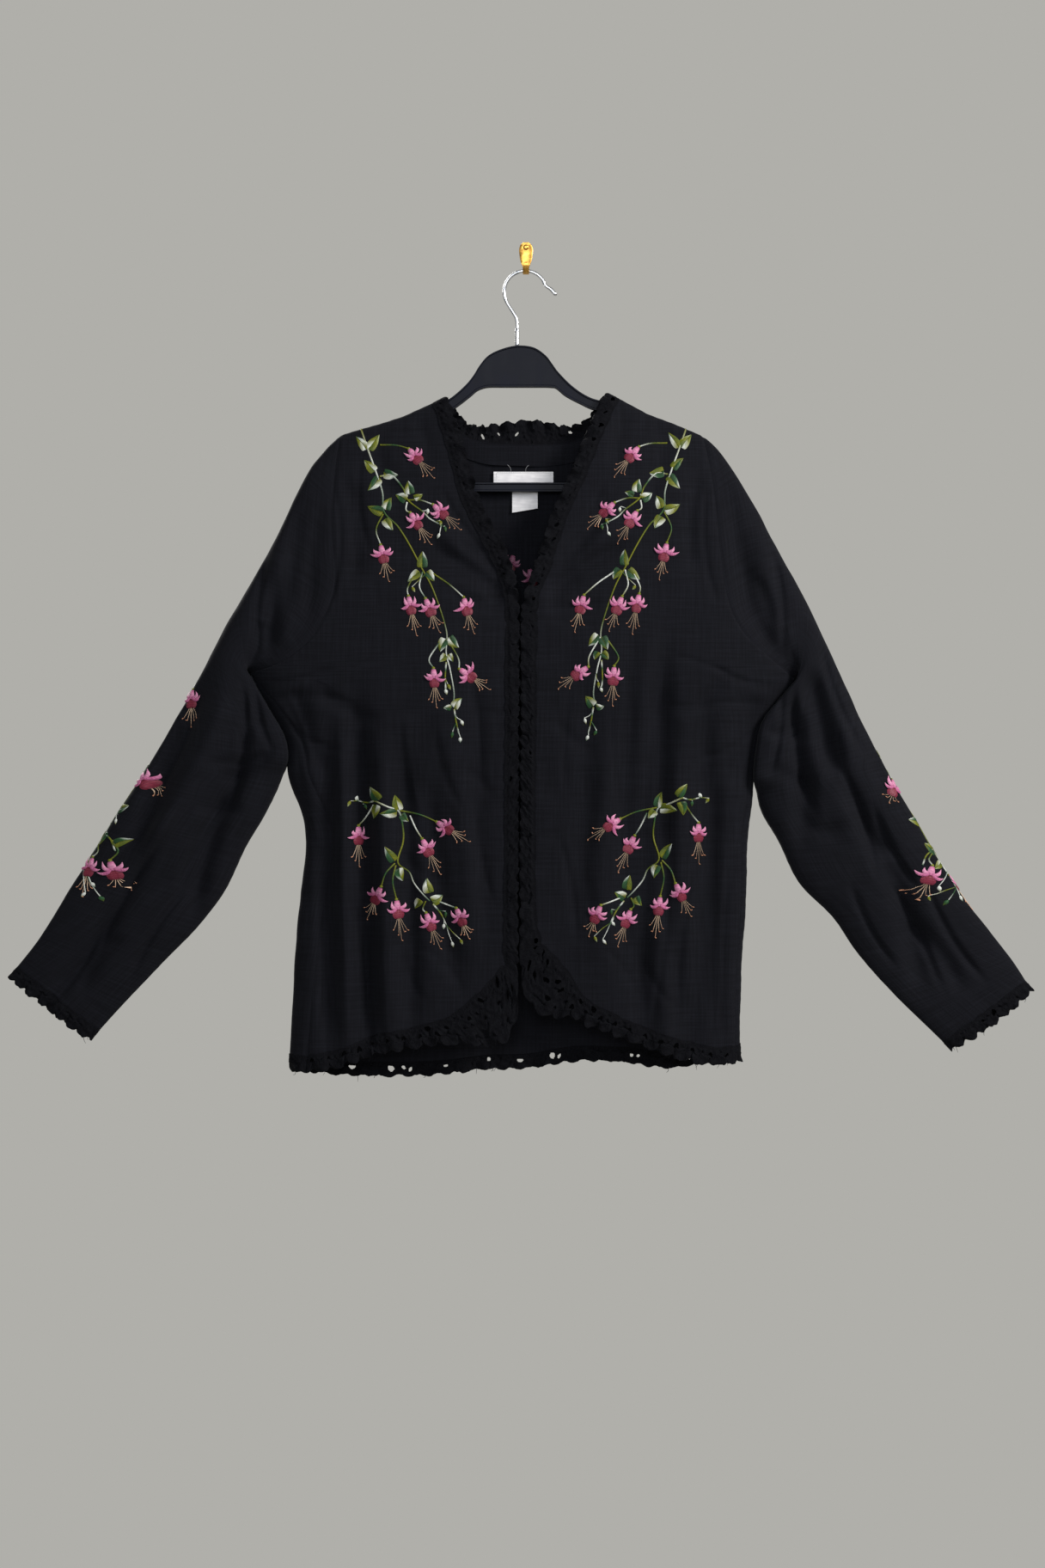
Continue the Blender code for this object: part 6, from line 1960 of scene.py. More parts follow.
@dataclass(frozen=True)
class WallHook:
    """The pressed brass hook on the wall, with its domed nail.

    The plate has the columns height and half width, the nail's dome the columns height and share of radius.
    """

    thick: float = 1.3
    plate: Table = ((20.5, 3.0), (18.8, 5.0), (15.5, 6.5), (7.0, 6.5), (0.0, 5.2), (-4.0, 3.6))
    cup_centre: tuple[float, float] = (-10.0, -5.0)
    cup_half: tuple[float, float] = (9.35, 8.5)
    cup_half_width: float = 3.2
    nail_at: tuple[float, float] = (0.0, 15.5)
    nail_radius: float = 2.8
    nail_dome: Table = ((0.0, 0.96), (0.35, 1.0), (0.8, 0.97), (1.2, 0.84), (1.5, 0.6), (1.68, 0.3))
    seam_gap: float = 0.3

    def build(self) -> list[Obj]:
        """Makes the bent strip and the nail.

        Returns:
            The new pieces.
        """
        half = self.thick / 2
        heights = np.linspace(self.plate[0][0], self.plate[-1][0], 26)
        path = [(-half, z, width) for z, width in zip(heights, table_value(heights, self.plate))]
        for turn in np.linspace(0, math.pi, 34)[1:]:
            path.append((self.cup_centre[0] + self.cup_half[0] * math.cos(turn),
                         self.cup_centre[1] - self.cup_half[1] * math.sin(turn), self.cup_half_width))
        places = np.array(path)
        tangents = np.gradient(places[:, :2], axis=0)
        tangents[:26] = (0.0, -1.0)
        pattern = ((-1, 0.55), (-0.93, 1), (-0.35, 1), (0.35, 1), (0.93, 1), (1, 0.55),
                   (1, -0.55), (0.93, -1), (0.35, -1), (-0.35, -1), (-0.93, -1), (-1, -0.55))
        strip = []
        for (y, z, width), (ty, tz) in zip(path, unit(tangents)):
            out_y, out_z = -tz * half, ty * half
            strip.append([(a * width, y + b * out_y, z + b * out_z) for a, b in pattern])
        face = -self.thick - self.seam_gap
        turns = 2 * math.pi * np.arange(24) / 24
        nail = [[(self.nail_at[0] + self.nail_radius * size * math.cos(turn), face - out,
                  self.nail_at[1] + self.nail_radius * size * math.sin(turn)) for turn in turns]
                for out, size in self.nail_dome]
        made = (("brass_hook", strip, "wall_hook"), ("brass_nail", nail, "wall_nail"))
        return [place_piece(add_rings(name, np.array(rings), 40.0), BRASS, node)
                for name, rings, node in made]


@dataclass(frozen=True)
class Studio:
    """Plain floor, soft lights, and the camera square on to the garment."""

    centre: tuple[float, float, float] = (-0.0035, -0.030, -0.5342)
    distance: float = 2.4
    frame_height: float = 1.5869
    sensor: float = 36.0
    floor_z: float = -1.46
    floor_centre_y: float = -1900.0
    floor_half: tuple[float, float] = (2300.0, 2200.0)
    backdrop: str = "b0afaa"
    floor_colour: str = "a19f9a"

    def build(self) -> None:
        """Makes the floor, the lights and the camera."""
        scene = bpy.context.scene
        scene.view_settings.view_transform = "Standard"
        world = bpy.data.worlds.new("pale studio")
        world.use_nodes = True
        background = world.node_tree.nodes["Background"]
        background.inputs["Color"].default_value = linear(self.backdrop)
        scene.world = world
        self.add_floor()
        self.add_light("key", (1.85, -1.35, 0.75), 92.0, 0.8, (1.0, 0.97, 0.93))
        self.add_light("fill", (-0.1, -2.6, 0.25), 32.0, 1.2, (0.92, 0.96, 1.0))
        self.add_light("back_key", (-1.3, 1.9, 1.1), 75.0, 1.4, (1.0, 0.98, 0.95))
        camera = bpy.data.cameras.new("camera")
        camera.sensor_width = self.sensor
        camera.lens = self.sensor * self.distance / self.frame_height
        obj = bpy.data.objects.new("camera", camera)
        obj.location = Vector(self.centre) - Vector((0, self.distance, 0))
        obj.rotation_euler = (math.pi / 2, 0, 0)
        scene.collection.objects.link(obj)
        scene.camera = obj

    def add_floor(self) -> None:
        """A plain round floor a good way under the hem."""
        turns = 2 * math.pi * np.arange(96) / 96
        (across, deep), middle, height = self.floor_half, self.floor_centre_y, self.floor_z / MM
        rings = [[(across * r * math.cos(turn), middle + deep * r * math.sin(turn), height)
                  for turn in turns] for r in (0.0002, 0.4, 0.9, 1.0)]
        obj = add_rings("floor", np.array(rings), ends=False)
        obj.data.materials.append(Finish("painted screed", self.floor_colour, 0.9).make())

    def add_light(self, name: str, place: tuple[float, float, float], power: float, size: float,
                  colour: tuple[float, float, float]) -> None:
        """One soft square light that faces the garment.

        Args:
            name: Name of the light.
            place: Where it stands.
            power: Its power in watts.
            size: Its side in metres.
            colour: Its colour.
        """
        light = bpy.data.lights.new(name, "AREA")
        light.energy = power
        light.size = size
        light.color = colour
        obj = bpy.data.objects.new(name, light)
        obj.location = place
        toward = Vector(self.centre) - Vector(place)
        obj.rotation_euler = toward.to_track_quat("-Z", "Y").to_euler()
        bpy.context.scene.collection.objects.link(obj)


class Dye(Enum):
    """Thread colours of the embroidery."""

    WHITE = "adb1ac"
    PALE = "838c6c"
    OLIVE = "5b5e0e"
    MOSS = "3b4711"
    GREEN = "1b3f20"
    DEEP = "142e19"
    PINK = "984f74"
    BLUSH = "b37795"
    ROSE = "671f31"
    WINE = "581828"
    TAN = "b8a089"
    BROWN = "a3745b"


@dataclass(frozen=True)
class FlowerForm:
    """A hanging fuchsia flower, measured across and along its own axis from the waist between tube and bell.

    Sepals have the columns side, middle across and along, end across and along, and half width. Stamens have
    the columns place across and share of the longest one's length.
    """

    bell: tuple[float, float] = (-1.5, 10.0)
    bell_half: float = 5.5
    pleat: tuple[float, float] = (-1.0, 9.3)
    pleat_off: float = 0.42
    tube: tuple[float, float] = (-9.5, 9.0)
    tube_half: float = 3.1
    sepals: Table = (
        (-1, 7.6, -1.6, 6.8, -8.2, 1.75), (1, 7.8, -1.4, 7.2, -8.0, 1.75),
        (-1, 6.4, 3.4, 11.8, -1.6, 1.7), (1, 6.4, 3.6, 12.0, -1.4, 1.7),
    )
    sepal_root: tuple[float, float] = (0.9, -2.2)
    sepal_stray: tuple[float, ...] = (1.3, 1.4, 2.0, 2.8)
    stamens: Table = ((-6.4, 0.66), (-3.0, 0.8), (0.4, 1.0), (3.6, 0.76), (6.8, 0.68))
    stamen_start: float = 7.0
    stamen_half: float = 0.21
    knot_half: float = 0.48


@dataclass
class ThreadWork:
    """Satin stitches, gathered with a height over the cloth until they are pressed onto it."""

    form: FlowerForm = FlowerForm()
    points: list[Array] = field(default_factory=list)
    faces: list[Array] = field(default_factory=list)
    dyes: list[Array] = field(default_factory=list)
    stitches: list[Array] = field(default_factory=list)
    count: int = 0

    def add_grid(self, places: Array, heights: Array, dyes: Array, stitches: Array) -> None:
        """Adds one patch of stitches.

        Args:
            places: Grid of x and z.
            heights: Height of each point over the cloth.
            dyes: Linear colour of each point.
            stitches: Distance along and across the stitches at each point.
        """
        rows, columns = places.shape[:2]
        index = np.arange(rows * columns).reshape(rows, columns) + self.count
        quads = [index[:-1, :-1], index[:-1, 1:], index[1:, 1:], index[1:, :-1]]
        self.faces.append(np.stack(quads, axis=-1).reshape(-1, 4))
        self.points.append(np.concatenate([places, heights[..., None]], axis=-1).reshape(-1, 3))
        self.dyes.append(np.broadcast_to(dyes, (rows, columns, 4)).reshape(-1, 4))
        self.stitches.append(np.concatenate([stitches, heights[..., None]], axis=-1).reshape(-1, 3))
        self.count += rows * columns

    def band(self, line: Array, half_widths: Array, rise: float, dyes: Array, columns: int = 5,
             ground: float = 0.0) -> None:
        """Adds a raised band of stitches along a line.

        Args:
            line: Points of its middle line.
            half_widths: Half its width at each point.
            rise: Height of its crown.
            dyes: Colour of each point, or of all.
            columns: Points across.
            ground: Height of its edges over the cloth.
        """
        tangent = unit(np.gradient(line, axis=0))
        side = np.column_stack([-tangent[:, 1], tangent[:, 0]])
        across = np.linspace(-1, 1, columns)
        places = line[:, None] + side[:, None] * (half_widths[:, None] * across)[..., None]
        crown = np.sqrt(np.clip(1 - across**2, 0, 1))[None]
        crown = crown * np.clip(half_widths / half_widths.max(), 0, 1)[:, None]
        run = lengths_of(line)
        stitches = np.stack(np.broadcast_arrays(half_widths[:, None] * across, run[:, None]), axis=-1)
        dyes = np.broadcast_to(dyes, (len(line), 4))[:, None]
        self.add_grid(places, ground + rise * crown, dyes, stitches)

    def stem(self, corners: Sequence[tuple[float, float]], dyes: Sequence[Dye], half_width: float = 0.85,
             taper: float = 0.75) -> None:
        """Adds a stem whose thread changes colour along it.

        Args:
            corners: A few points that it passes through.
            dyes: Its thread colours in order.
            half_width: Half its width at its start.
            taper: Share of that width at its end.
        """
        length = lengths_of(np.asarray(corners, float))[-1]
        share = np.linspace(0, 1, max(5, round(length / 1.6)))
        line = along(corners, share)
        widths = half_width * (1 - (1 - taper) * share)
        self.band(line, widths, 0.75, shades(share, dyes), 5)

    def leaf(self, base: Array, tip: Array, width: float, halves: Sequence[Sequence[Dye]],
             bend: float) -> None:
        """Adds a heart-shaped leaf of two halves, each in its own threads.

        Args:
            base: Where its stalk meets it.
            tip: Its point.
            width: Its greatest width.
            halves: Threads of its left and right half, each from base to tip.
            bend: Sideways bow of its midrib, in millimetres.
        """
        base, tip = np.asarray(base, float), np.asarray(tip, float)
        axis = tip - base
        side = unit(np.array([-axis[1], axis[0]]))
        share = np.linspace(0, 1, 10)
        rib = base + axis * share[:, None] + side * (bend * 4 * share * (1 - share))[:, None]
        outline = width / 2 * np.sin(math.pi * share**0.62) ** 0.8 * (1 - 0.25 * share)
        across = np.linspace(0, 1, 5)
        for hand, dyes in zip((1, -1), halves):
            reach = outline[:, None] * across
            back = 0.16 * width * np.sin(math.pi * np.clip(share * 2.2, 0, 1))[:, None] * across
            places = rib[:, None] + side * (hand * reach)[..., None] - unit(axis) * back[..., None]
            crown = 0.95 * np.sin(math.pi * (0.12 + 0.8 * across))[None]
            crown = crown * np.clip(outline / outline.max(), 0.15, 1)[:, None]
            tone = shades(np.clip(share[:, None] * 1.1 - 0.15 + 0.3 * (across - 0.4), 0, 1), dyes)
            run = share * np.linalg.norm(axis)
            stitches = np.stack(np.broadcast_arrays(reach, run[:, None] + 0.8 * reach), axis=-1)
            self.add_grid(places, crown, tone, stitches)
        self.band(rib, np.full(10, 0.4) * (1 - 0.6 * share), 0.5, linear(Dye.MOSS.value), 3, 0.35)

    def bud(self, base: Array, tip: Array, width: float, dye: Dye, tip_dye: Dye) -> None:
        """Adds a closed bud, pointed at both ends."""
        share = np.linspace(0, 1, 9)
        line = np.asarray(base, float) + (np.asarray(tip, float) - base) * share[:, None]
        widths = width / 2 * np.clip(np.sin(math.pi * share**0.8), 0.08, 1)
        self.band(line, widths, 1.15, shades(share, (dye, dye, tip_dye)), 7)

    def flower(self, centre: Array, tip: Array, random: Random, spread: float = 1.0) -> None:
        """Adds one hanging fuchsia flower.

        Args:
            centre: Middle of its flower, between tube and bell.
            tip: End of its longest stamen.
            random: Draws the small differences between flowers.
            spread: How wide its sepals stand.
        """
        centre, tip = np.asarray(centre, float), np.asarray(tip, float)
        down = unit(tip - centre)
        side = np.array([-down[1], down[0]])
        reach = np.linalg.norm(tip - centre)

        def at(across: Array, along_axis: Array) -> Array:
            """Places given across and along the flower's own axis."""
            return centre + np.multiply.outer(across, side) + np.multiply.outer(along_axis, down)

        self.add_stamens(at, reach, random)
        form, share = self.form, np.linspace(0, 1, 9)
        bell = at(0 * share, form.bell[0] + form.bell[1] * share)
        half = form.bell_half * np.clip(np.sin(math.pi * (0.15 + 0.6 * share)), 0, 1)
        half = half * random.uniform(0.88, 1.05)
        self.band(bell, half, 1.25, shades(share, (Dye.WINE, Dye.ROSE, Dye.ROSE, Dye.WINE)), 9)
        for offset in (-form.pleat_off, form.pleat_off):
            line = at(offset * half, form.pleat[0] + form.pleat[1] * share)
            self.band(line, 0.25 * half, 0.5, shades(share, (Dye.WINE, Dye.ROSE, Dye.WINE)), 3, 1.0)
        tube = at(0 * share, form.tube[0] + form.tube[1] * share)
        self.band(tube, form.tube_half * np.clip(np.sin(math.pi * (0.24 + 0.42 * share)), 0, 1), 1.6,
                  shades(share, (Dye.PINK, Dye.BLUSH, Dye.PINK)), 7)
        for hand, mid_across, mid_down, end_across, end_down, half_width in form.sepals:
            turn = random.uniform(-1.0, 1.0, 4) * form.sepal_stray
            size = random.uniform(0.82, 1.05) * spread
            start = at(np.array(hand * form.sepal_root[0]), np.array(form.sepal_root[1]))
            middle = at(np.array(hand * (mid_across + turn[0]) * size), np.array(mid_down + turn[1]))
            end = at(np.array(hand * (end_across + turn[2]) * size), np.array(end_down + turn[3]))
            line = (1 - share)[:, None] ** 2 * start + 2 * (share * (1 - share))[:, None] * middle
            line = line + share[:, None] ** 2 * end
            widths = half_width * np.clip(np.sin(math.pi * (0.16 + 0.84 * share**1.15)), 0.05, 1)
            tones = (Dye.PINK, Dye.BLUSH, Dye.BLUSH) if mid_down < 0 else (Dye.PINK, Dye.PINK, Dye.BLUSH)
            self.band(line, widths, 0.9, shades(share, tones), 7, 1.1)

    def add_stamens(self, at: Callable[[Array, Array], Array], reach: float, random: Random) -> None:
        """Adds the thin threads under a flower, each with a small knot at its end.

        Args:
            at: Gives places across and along the flower's own axis.
            reach: Length of the longest thread from the flower's centre.
            random: Draws the small differences.
        """
        share = np.linspace(0, 1, 8)
        first = self.form.stamen_start
        for place, (across, length) in enumerate(self.form.stamens):
            across += random.uniform(-0.7, 0.7)
            length = reach * (length + random.uniform(-0.05, 0.05) * (length < 1))
            hook = math.copysign(random.uniform(1.0, 1.9), across) if length < reach * 0.95 else 1.2
            line = at(across * (0.22 + 0.78 * share**1.3) * 0.9, first + (length - first) * share)
            dyes = shades(share, (Dye.TAN, Dye.TAN, Dye.TAN, Dye.BROWN))
            self.band(line, np.full(8, self.form.stamen_half), 0.4, dyes, 3)
            knot = at(across * 0.9 + hook * share, length - 0.6 + 1.1 * share - 1.2 * share * (place % 2))
            half = self.form.knot_half * np.clip(np.sin(math.pi * (0.15 + 0.7 * share)), 0.3, 1)
            self.band(knot, half, 0.9, linear(Dye.BROWN.value), 5)

    def press(self, name: str, target: Obj, direction: tuple[float, float, float],
              lift: float = 0.12, longest: float = 9.0) -> Obj:
        """Presses the stitches onto a piece of cloth.

        Args:
            name: Name of the embroidered piece.
            target: The cloth.
            direction: The way that the embroiderer looks at the cloth.
            lift: How far the thread's foot stands off the cloth.
            longest: Side of a face above which it spans a fold and is left out.

        Returns:
            The embroidery as one piece; stitches that miss the cloth are left out.
        """
        look = unit(np.array(direction, float))
        right = unit(np.cross(look, (0, 0, 1)))
        up = np.cross(right, look)
        flat = np.vstack(self.points)
        mesh = target.data
        places = np.empty(len(mesh.vertices) * 3)
        mesh.vertices.foreach_get("co", places)
        corners = [tuple(face.vertices) for face in mesh.polygons]
        tree = BVHTree.FromPolygons(places.reshape(-1, 3).tolist(), corners)
        points, hits = np.zeros((len(flat), 3)), np.zeros(len(flat), bool)
        toward = Vector(look)
        for index, (x, z, height) in enumerate(flat):
            start = Vector((right * x + up * z - look * 400.0) * MM)
            place, normal, _, _ = tree.ray_cast(start, toward)
            if place is not None and normal.dot(toward) < -0.12:
                points[index] = np.array(place + normal * (height + lift) * MM) / MM
                hits[index] = True
        faces = np.concatenate(self.faces)
        faces = faces[hits[faces].all(axis=1)]
        spans = points[faces]
        sides = np.linalg.norm(spans - np.roll(spans, 1, axis=1), axis=2).max(axis=1)
        faces = faces[sides < longest]
        first, second, _, last = points[faces.T]
        facing = np.cross(second - first, last - first)
        away = facing @ look > 0
        faces[away] = faces[away][:, ::-1]
        places = {"thread_dye": np.vstack(self.dyes), "stitch_mm": np.vstack(self.stitches)}
        return add_mesh(name, points, faces, 60.0, places)


def shades(share: Array, dyes: Sequence[Dye]) -> Array:
    """Linear colours along a thread that is dyed in several colours.

    Args:
        share: Shares of the thread's length.
        dyes: Its colours in order.

    Returns:
        One colour for each share.
    """
    colours = np.array([linear(dye.value) for dye in dyes])
    keys = np.linspace(0, 1, len(colours))
    return np.stack([np.interp(share, keys, colours[:, i]) for i in range(4)], axis=-1)


@dataclass(frozen=True)
class Spray:
    """The layout of one embroidered spray, in millimetres across and up as its embroiderer sees it.

    Stems are lines of points. Flowers have the columns waist across and up, longest stamen across and up,
    start of the stalk across and up, and a place that the stalk passes. Leaves run from base to tip, and
    buds have a middle.
    """

    stems: tuple[Table, ...]
    flowers: Table
    leaves: Table
    buds: Table


# Millimetres to a pixel of the photo, from the hanger's usual width, and the pixel at the frame's origin
PIXEL_SIZE = 0.87
ORIGIN_ACROSS, ORIGIN_DOWN = 612, 298


def in_millimetres(rows: Table) -> Table:
    """Turns places read off in the photo's pixels into whole millimetres from the origin.

    Args:
        rows: Places across and down the photo in turn.

    Returns:
        The same places across and up.
    """
    return tuple(
        tuple(round((ORIGIN_DOWN - place if number % 2 else place - ORIGIN_ACROSS) * PIXEL_SIZE)
              for number, place in enumerate(row))
        for row in rows
    )


# The chest and lower sprays are read off in pixels. The right front has those of the left, mirrored
CHEST = Spray(
    stems=tuple(in_millimetres(line) for line in (
        ((419, 497), (428, 523), (437, 549), (445, 574), (448, 597), (464, 614), (477, 636), (491, 662),
         (505, 689), (520, 735), (520.5, 761), (525, 781), (529, 809), (526, 824)),
        ((442, 554), (456, 553), (469, 569), (475, 583), (493, 597), (500, 605), (514, 613)),
        ((520, 771), (519, 791), (520, 804)),
        ((529, 826), (532, 840), (535, 855)),
    )),
    flowers=in_millimetres((
        (483, 531, 505, 558, 442, 516, 461, 517), (513.6, 597, 536.6, 619, 475, 583, 489, 583),
        (484, 608, 501.6, 636, 474, 585, 473, 594), (446, 648, 453, 679, 447, 599, 439, 618),
        (479, 707, 486, 741.5, 482, 672, 475, 686), (500, 710, 512, 738, 493, 667, 489, 684),
        (543, 708, 551, 739, 505, 669, 524, 682), (506, 791, 509, 824, 512, 750, 501, 768),
        (545.5, 786, 571, 804, 521, 745, 534, 767),
    )),
    leaves=in_millimetres((
        (425.6, 522, 413, 505.5), (428, 522, 441, 504), (436, 548, 423, 535), (441, 555, 428, 571),
        (446, 550, 464, 553), (478, 576, 475, 560), (473, 583, 460, 576), (482, 581, 493, 576),
        (447, 597, 428, 590), (450, 595, 456, 579.5), (448.6, 605, 457.5, 619), (493, 662, 493, 643),
        (489, 667.5, 475, 678), (497, 667.5, 506, 678), (520, 745, 513.6, 760.6), (524, 743, 535, 756),
        (529, 824, 538, 813), (526, 824, 517, 824), (520, 764, 512, 772), (523, 762, 528, 772),
    )),
    buds=in_millimetres((
        (498, 597), (513.6, 611), (519, 618), (511, 626), (520, 806.5), (524, 800), (527, 855),
        (536, 861), (539, 842), (482, 688),
    )),
)
LOWER = Spray(
    stems=tuple(in_millimetres(line) for line in (
        ((437.5, 931.5), (452, 938), (465, 943.5), (469, 964), (469, 980), (464, 1003), (476, 1014),
         (482, 1027), (492, 1039), (500, 1048)),
        ((504, 1051), (513, 1062), (520, 1076)),
        ((437, 931), (428, 934), (417, 931)),
    )),
    flowers=in_millimetres((
        (417.5, 973, 418, 1008, 436, 936, 426, 951), (519, 962, 546, 980, 466, 943, 489, 947),
        (497, 987, 512, 1017, 477, 948, 484, 964), (439.5, 1042, 427, 1069, 460, 1004, 450, 1015),
        (464, 1058, 468, 1093.5, 461, 1006, 458, 1024), (501, 1073, 512, 1104, 496, 1047, 492, 1057),
        (536, 1067, 547, 1091.5, 508, 1047, 521, 1052),
    )),
    leaves=in_millimetres((
        (443.6, 930, 431, 915), (440, 935.5, 436, 951.6), (462, 944, 443, 946), (465, 943, 460, 925),
        (468, 946, 476, 955), (460, 1002, 449, 984), (465, 1010, 469, 1024.5), (501, 1038, 497, 1021),
        (502.5, 1047, 516, 1041), (490, 1046, 483, 1057),
    )),
    buds=in_millimetres((
        (415, 929), (407, 935), (426, 938), (517, 1077), (527, 1098), (537, 1094), (519, 1064),
    )),
)
# The sprays of the sleeves and of the back are laid out from what shows at their edges. On a sleeve, across
# is the distance in from its outer edge, seen square to its outer side
LEFT_SLEEVE = Spray(
    stems=(
        ((-26, -432), (-18, -470), (-8, -505), (0, -540), (6, -584), (2, -612)),
        ((6, -584), (18, -590), (28, -602)),
    ),
    flowers=(
        (11, -449, 23, -477, -22, -424, -4, -430), (13, -531, 33, -547, -6, -512, 4, -516),
        (-30, -520, -38, -548, -12, -492, -22, -504), (13, -619, 22, -648, 2, -592, 12, -602),
        (34, -622, 46, -642, 20, -591, 30, -602), (-22, -612, -34, -638, 4, -574, -10, -586),
    ),
    leaves=(
        (-16, -478, -2, -484), (-6, -508, -20, -498), (3, -560, 16, -556), (3, -562, -10, -570),
        (6, -582, 8, -596), (0, -610, -10, -624), (24, -596, 34, -590),
    ),
    buds=(
        (12, -572), (8, -613), (36, -650), (25, -636), (22, -646), (-4, -634),
    ),
)
RIGHT_SLEEVE = Spray(
    stems=(
        ((-20, -470), (-10, -510), (-4, -548), (6, -590), (4, -622), (8, -646)),
        ((6, -600), (18, -606), (26, -616)),
    ),
    flowers=(
        (12, -539, 25, -553, -9, -516, 2, -522), (25, -627, 42, -651, 8, -602, 18, -610),
        (-3, -634, 2, -662, 4, -604, -6, -614), (-28, -556, -38, -582, -10, -520, -22, -534),
        (-30, -640, -42, -664, 0, -606, -18, -616),
    ),
    leaves=(
        (-10, -508, 4, -500), (-8, -520, -22, -512), (2, -574, 16, -570), (2, -578, -12, -588),
        (5, -603, 14, -594), (6, -614, 18, -620), (4, -624, -8, -632),
    ),
    buds=(
        (24, -640), (34, -650), (26, -654), (10, -650), (-16, -600),
    ),
)
BACK_SPRAY = Spray(
    stems=(
        ((34, -262), (20, -282), (4, -300), (-8, -330), (-6, -362), (2, -392)),
        ((4, -300), (-12, -296), (-24, -290)),
    ),
    flowers=(
        (-15, -310, -20, -334, 2, -292, -8, -294), (6, -324, 12, -348, 0, -304, 6, -308),
        (30, -300, 40, -322, 22, -280, 30, -284), (-28, -364, -38, -388, -8, -336, -20, -344),
        (18, -382, 26, -408, -4, -352, 10, -362),
    ),
    leaves=(
        (24, -276, 38, -270), (22, -280, 14, -266), (-8, -328, 6, -334), (-8, -334, -22, -328),
        (-5, -362, -16, -370), (-4, -366, 8, -360), (2, -392, -6, -404),
    ),
    buds=(
        (-30, -292), (-34, -284), (6, -402), (0, -410), (-12, -398),
    ),
)

# Threads that take turns in the stems, the leaf halves, the flower stalks and the buds
STEM_DYES = (Dye.OLIVE, Dye.WHITE, Dye.GREEN, Dye.OLIVE, Dye.OLIVE, Dye.MOSS, Dye.WHITE, Dye.GREEN)
LEAF_DYES = (
    (Dye.DEEP, Dye.GREEN, Dye.WHITE), (Dye.OLIVE, Dye.MOSS, Dye.OLIVE), (Dye.OLIVE, Dye.WHITE, Dye.GREEN),
    (Dye.MOSS, Dye.OLIVE, Dye.PALE), (Dye.DEEP, Dye.GREEN, Dye.OLIVE), (Dye.WHITE, Dye.OLIVE, Dye.MOSS),
)
STALK_DYES = (
    (Dye.OLIVE, Dye.GREEN, Dye.OLIVE), (Dye.WHITE, Dye.WHITE, Dye.OLIVE),
    (Dye.GREEN, Dye.WHITE, Dye.GREEN), (Dye.OLIVE, Dye.MOSS, Dye.WHITE),
)
BUD_DYES = ((Dye.WHITE, Dye.OLIVE), (Dye.OLIVE, Dye.PALE), (Dye.GREEN, Dye.MOSS), (Dye.WHITE, Dye.GREEN))


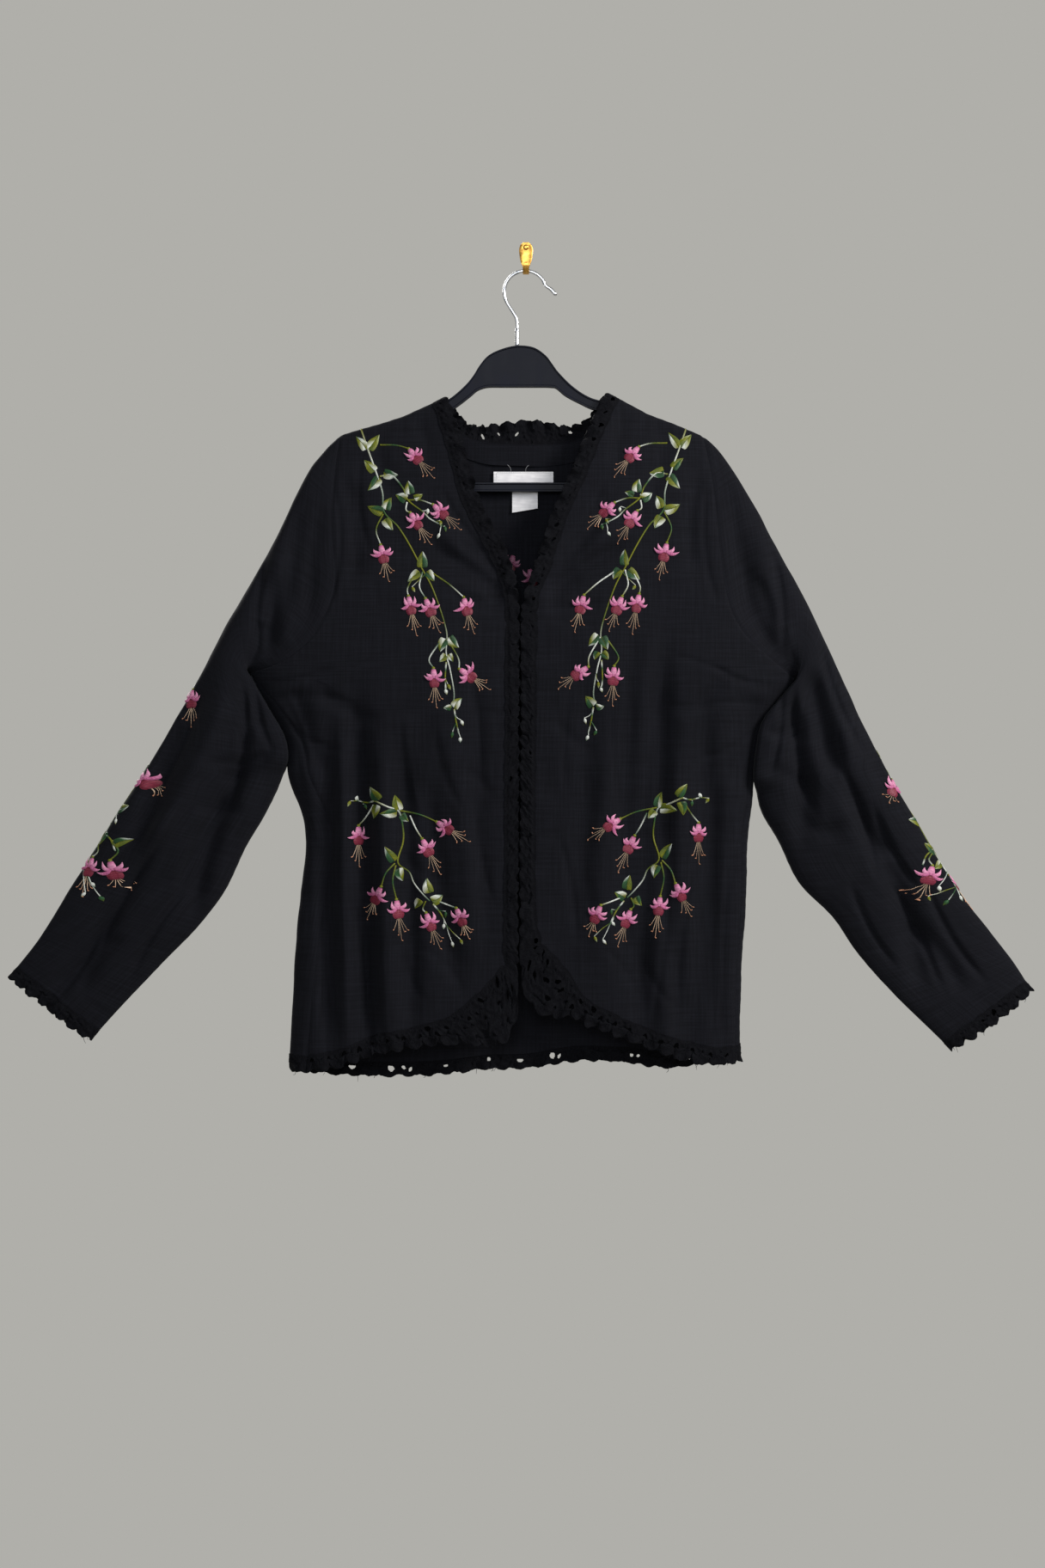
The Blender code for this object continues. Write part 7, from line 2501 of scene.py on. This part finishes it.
@dataclass
class Embroidery:
    """The fuchsia sprays, stitched onto the fronts, the sleeves and the back."""

    cloth: dict[str, Obj]
    mirrored: tuple[float, float] = (-1.0, 1.0)
    chest_shift: tuple[float, float] = (-4.5, 2.0)
    lower_shift: tuple[float, float] = (5.0, 3.0)
    sleeve_degrees: float = 55.0
    reverse_share: float = 0.4
    seed: int = 7
    made: dict[str, list[Obj]] = field(default_factory=dict)

    def stitch(self, spray: Spray, seed: int, shift: Callable[[Array], Array] | None = None) -> ThreadWork:
        """Works one spray in thread.

        Args:
            spray: Its layout.
            seed: Number that picks the small differences between its flowers.
            shift: Moves places of the layout to where the cloth lies; they stay when it is left out.

        Returns:
            The stitches, not yet pressed onto the cloth.
        """
        work = ThreadWork()
        random = np.random.default_rng(seed)
        move = shift or (lambda places: places)
        stalks = np.zeros((0, 2))
        for line in spray.stems:
            line = move(np.array(line, float))
            stalks = np.vstack([stalks, along(line, np.linspace(0, 1, 4 * len(line)))])
            work.stem(line, STEM_DYES)
        for row in spray.leaves:
            base, tip = move(np.array(row, float).reshape(2, 2))
            pair = [LEAF_DYES[place] for place in random.permutation(len(LEAF_DYES))[:2]]
            width = random.uniform(9.6, 12.0) * min(1.0, np.linalg.norm(tip - base) / 13)
            work.leaf(base, tip, width, pair, random.uniform(-1.6, 1.6))
        for row in spray.flowers:
            waist, tip, start, middle = move(np.array(row, float).reshape(4, 2))
            top = waist - unit(tip - waist) * 11.0
            work.flower(waist, tip, random, random.uniform(0.9, 1.05))
            if spray.stems:
                work.stem((start, middle, top), STALK_DYES[random.integers(len(STALK_DYES))], 0.8, 0.8)
                cup = waist - np.multiply.outer((12.5, 8.5), unit(tip - waist))
                work.bud(cup[0], cup[1], 3.4, Dye.OLIVE, Dye.WHITE)
        for place, row in enumerate(spray.buds):
            dyes = BUD_DYES[place % len(BUD_DYES)]
            middle = move(np.array([row], float))[0]
            lean = random.uniform(-0.7, 0.7)
            reach = np.array((math.sin(lean), -math.cos(lean))) * random.uniform(2.6, 3.4)
            work.bud(middle - reach, middle + reach, random.uniform(2.9, 3.6), *dyes)
            near = stalks[np.argmin(np.linalg.norm(stalks - (middle - reach) - (0, 7), axis=1))]
            bow = (near + middle - reach) / 2 + random.uniform(-1.5, 1.5, 2)
            work.stem((near, bow, middle - reach), (Dye.GREEN, dyes[0], Dye.WHITE), 0.5, 0.8)
        return work

    def add(self, name: str, node: str, work: ThreadWork, look: tuple[float, float, float]) -> None:
        """Presses a worked spray onto one piece of the cloth.

        Args:
            name: Name of the embroidered piece.
            node: The cloth piece it is on.
            work: Its stitches.
            look: The way that the embroiderer looks at the cloth.
        """
        piece = place_piece(work.press(f"embroidery_{name}", self.cloth[node], look), THREAD)
        self.made.setdefault(node, []).append(piece)

    def build(self) -> dict[str, list[Obj]]:
        """Makes every spray.

        Returns:
            The embroidered pieces by the cloth piece that they are on.
        """
        ahead, behind = (0.0, 1.0, 0.0), (0.0, -1.0, 0.0)
        sprays = (("chest", CHEST, self.chest_shift), ("lower", LOWER, self.lower_shift))
        for seed, (name, spray, shift) in enumerate(sprays, self.seed):
            self.add(f"left_{name}", "front_panel_left", self.stitch(spray, seed), ahead)
            right = self.stitch(spray, seed + 2, lambda places: places * self.mirrored + shift)
            self.add(f"right_{name}", "front_panel_right", right, ahead)
        for side, spray in ((L, LEFT_SLEEVE), (R, RIGHT_SLEEVE)):
            turn = math.radians(self.sleeve_degrees)
            look = (-side.value * math.sin(turn), math.cos(turn), 0.0)
            rows = np.array(SLEEVE[side], float)
            edge = rows[:, 0] * look[1] - column(SLEEVE_DEPTHS, 0) * look[0]

            def to_edge(places: Array) -> Array:
                """Moves places from their distance to the sleeve's outer edge to where that edge lies."""
                across = np.interp(places[:, 1], rows[::-1, 1], edge[::-1]) - side.value * places[:, 0]
                return np.column_stack([across, places[:, 1]])

            work = self.stitch(spray, self.seed + 20, to_edge)
            self.add(f"{side.word}_sleeve", f"sleeve_{side.word}", work, look)
        back = self.stitch(BACK_SPRAY, self.seed + 30, lambda places: places * self.mirrored)
        self.add("back", "back_panel", back, behind)
        reverse = self.stitch(replace(BACK_SPRAY, stems=(), leaves=(), buds=()), self.seed + 30)
        reverse.dyes = [dye * self.reverse_share for dye in reverse.dyes]
        self.add("back_reverse", "back_panel", reverse, ahead)
        return self.made


def main() -> None:
    """Makes the dressed cardigan, its hanger and hook, and the studio round them."""
    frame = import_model()
    LOG.info("frame with %d nodes", len(frame["nodes"]))
    Studio().build()
    garment = Garment()
    cloth = garment.build()
    strips = Edging(garment).build()
    inside = InsideNeck(garment).build()
    sprays = Embroidery(cloth).build()
    Hanger().build()
    WallHook().build()
    for node, piece in cloth.items():
        trims = [strip for strip in strips if belongs(strip.name, node)] + sprays[node]
        if node == "back_panel":
            trims += inside


def belongs(strip: str, node: str) -> bool:
    """Whether a strip of lace is sewn to a cloth piece."""
    kind, _, side = node.rpartition("_")
    starts = {
        "back": ("lace_back_",),
        "front_panel": (f"lace_neck_lace_{side}", f"lace_centre_lace_{side}", f"lace_hem_lace_{side}"),
        "sleeve": (f"lace_cuff_lace_{side}",),
    }
    return strip.startswith(starts[kind])


if __name__ == "__main__":
    logging.basicConfig(level=logging.INFO, format="%(name)s: %(message)s")
    main()
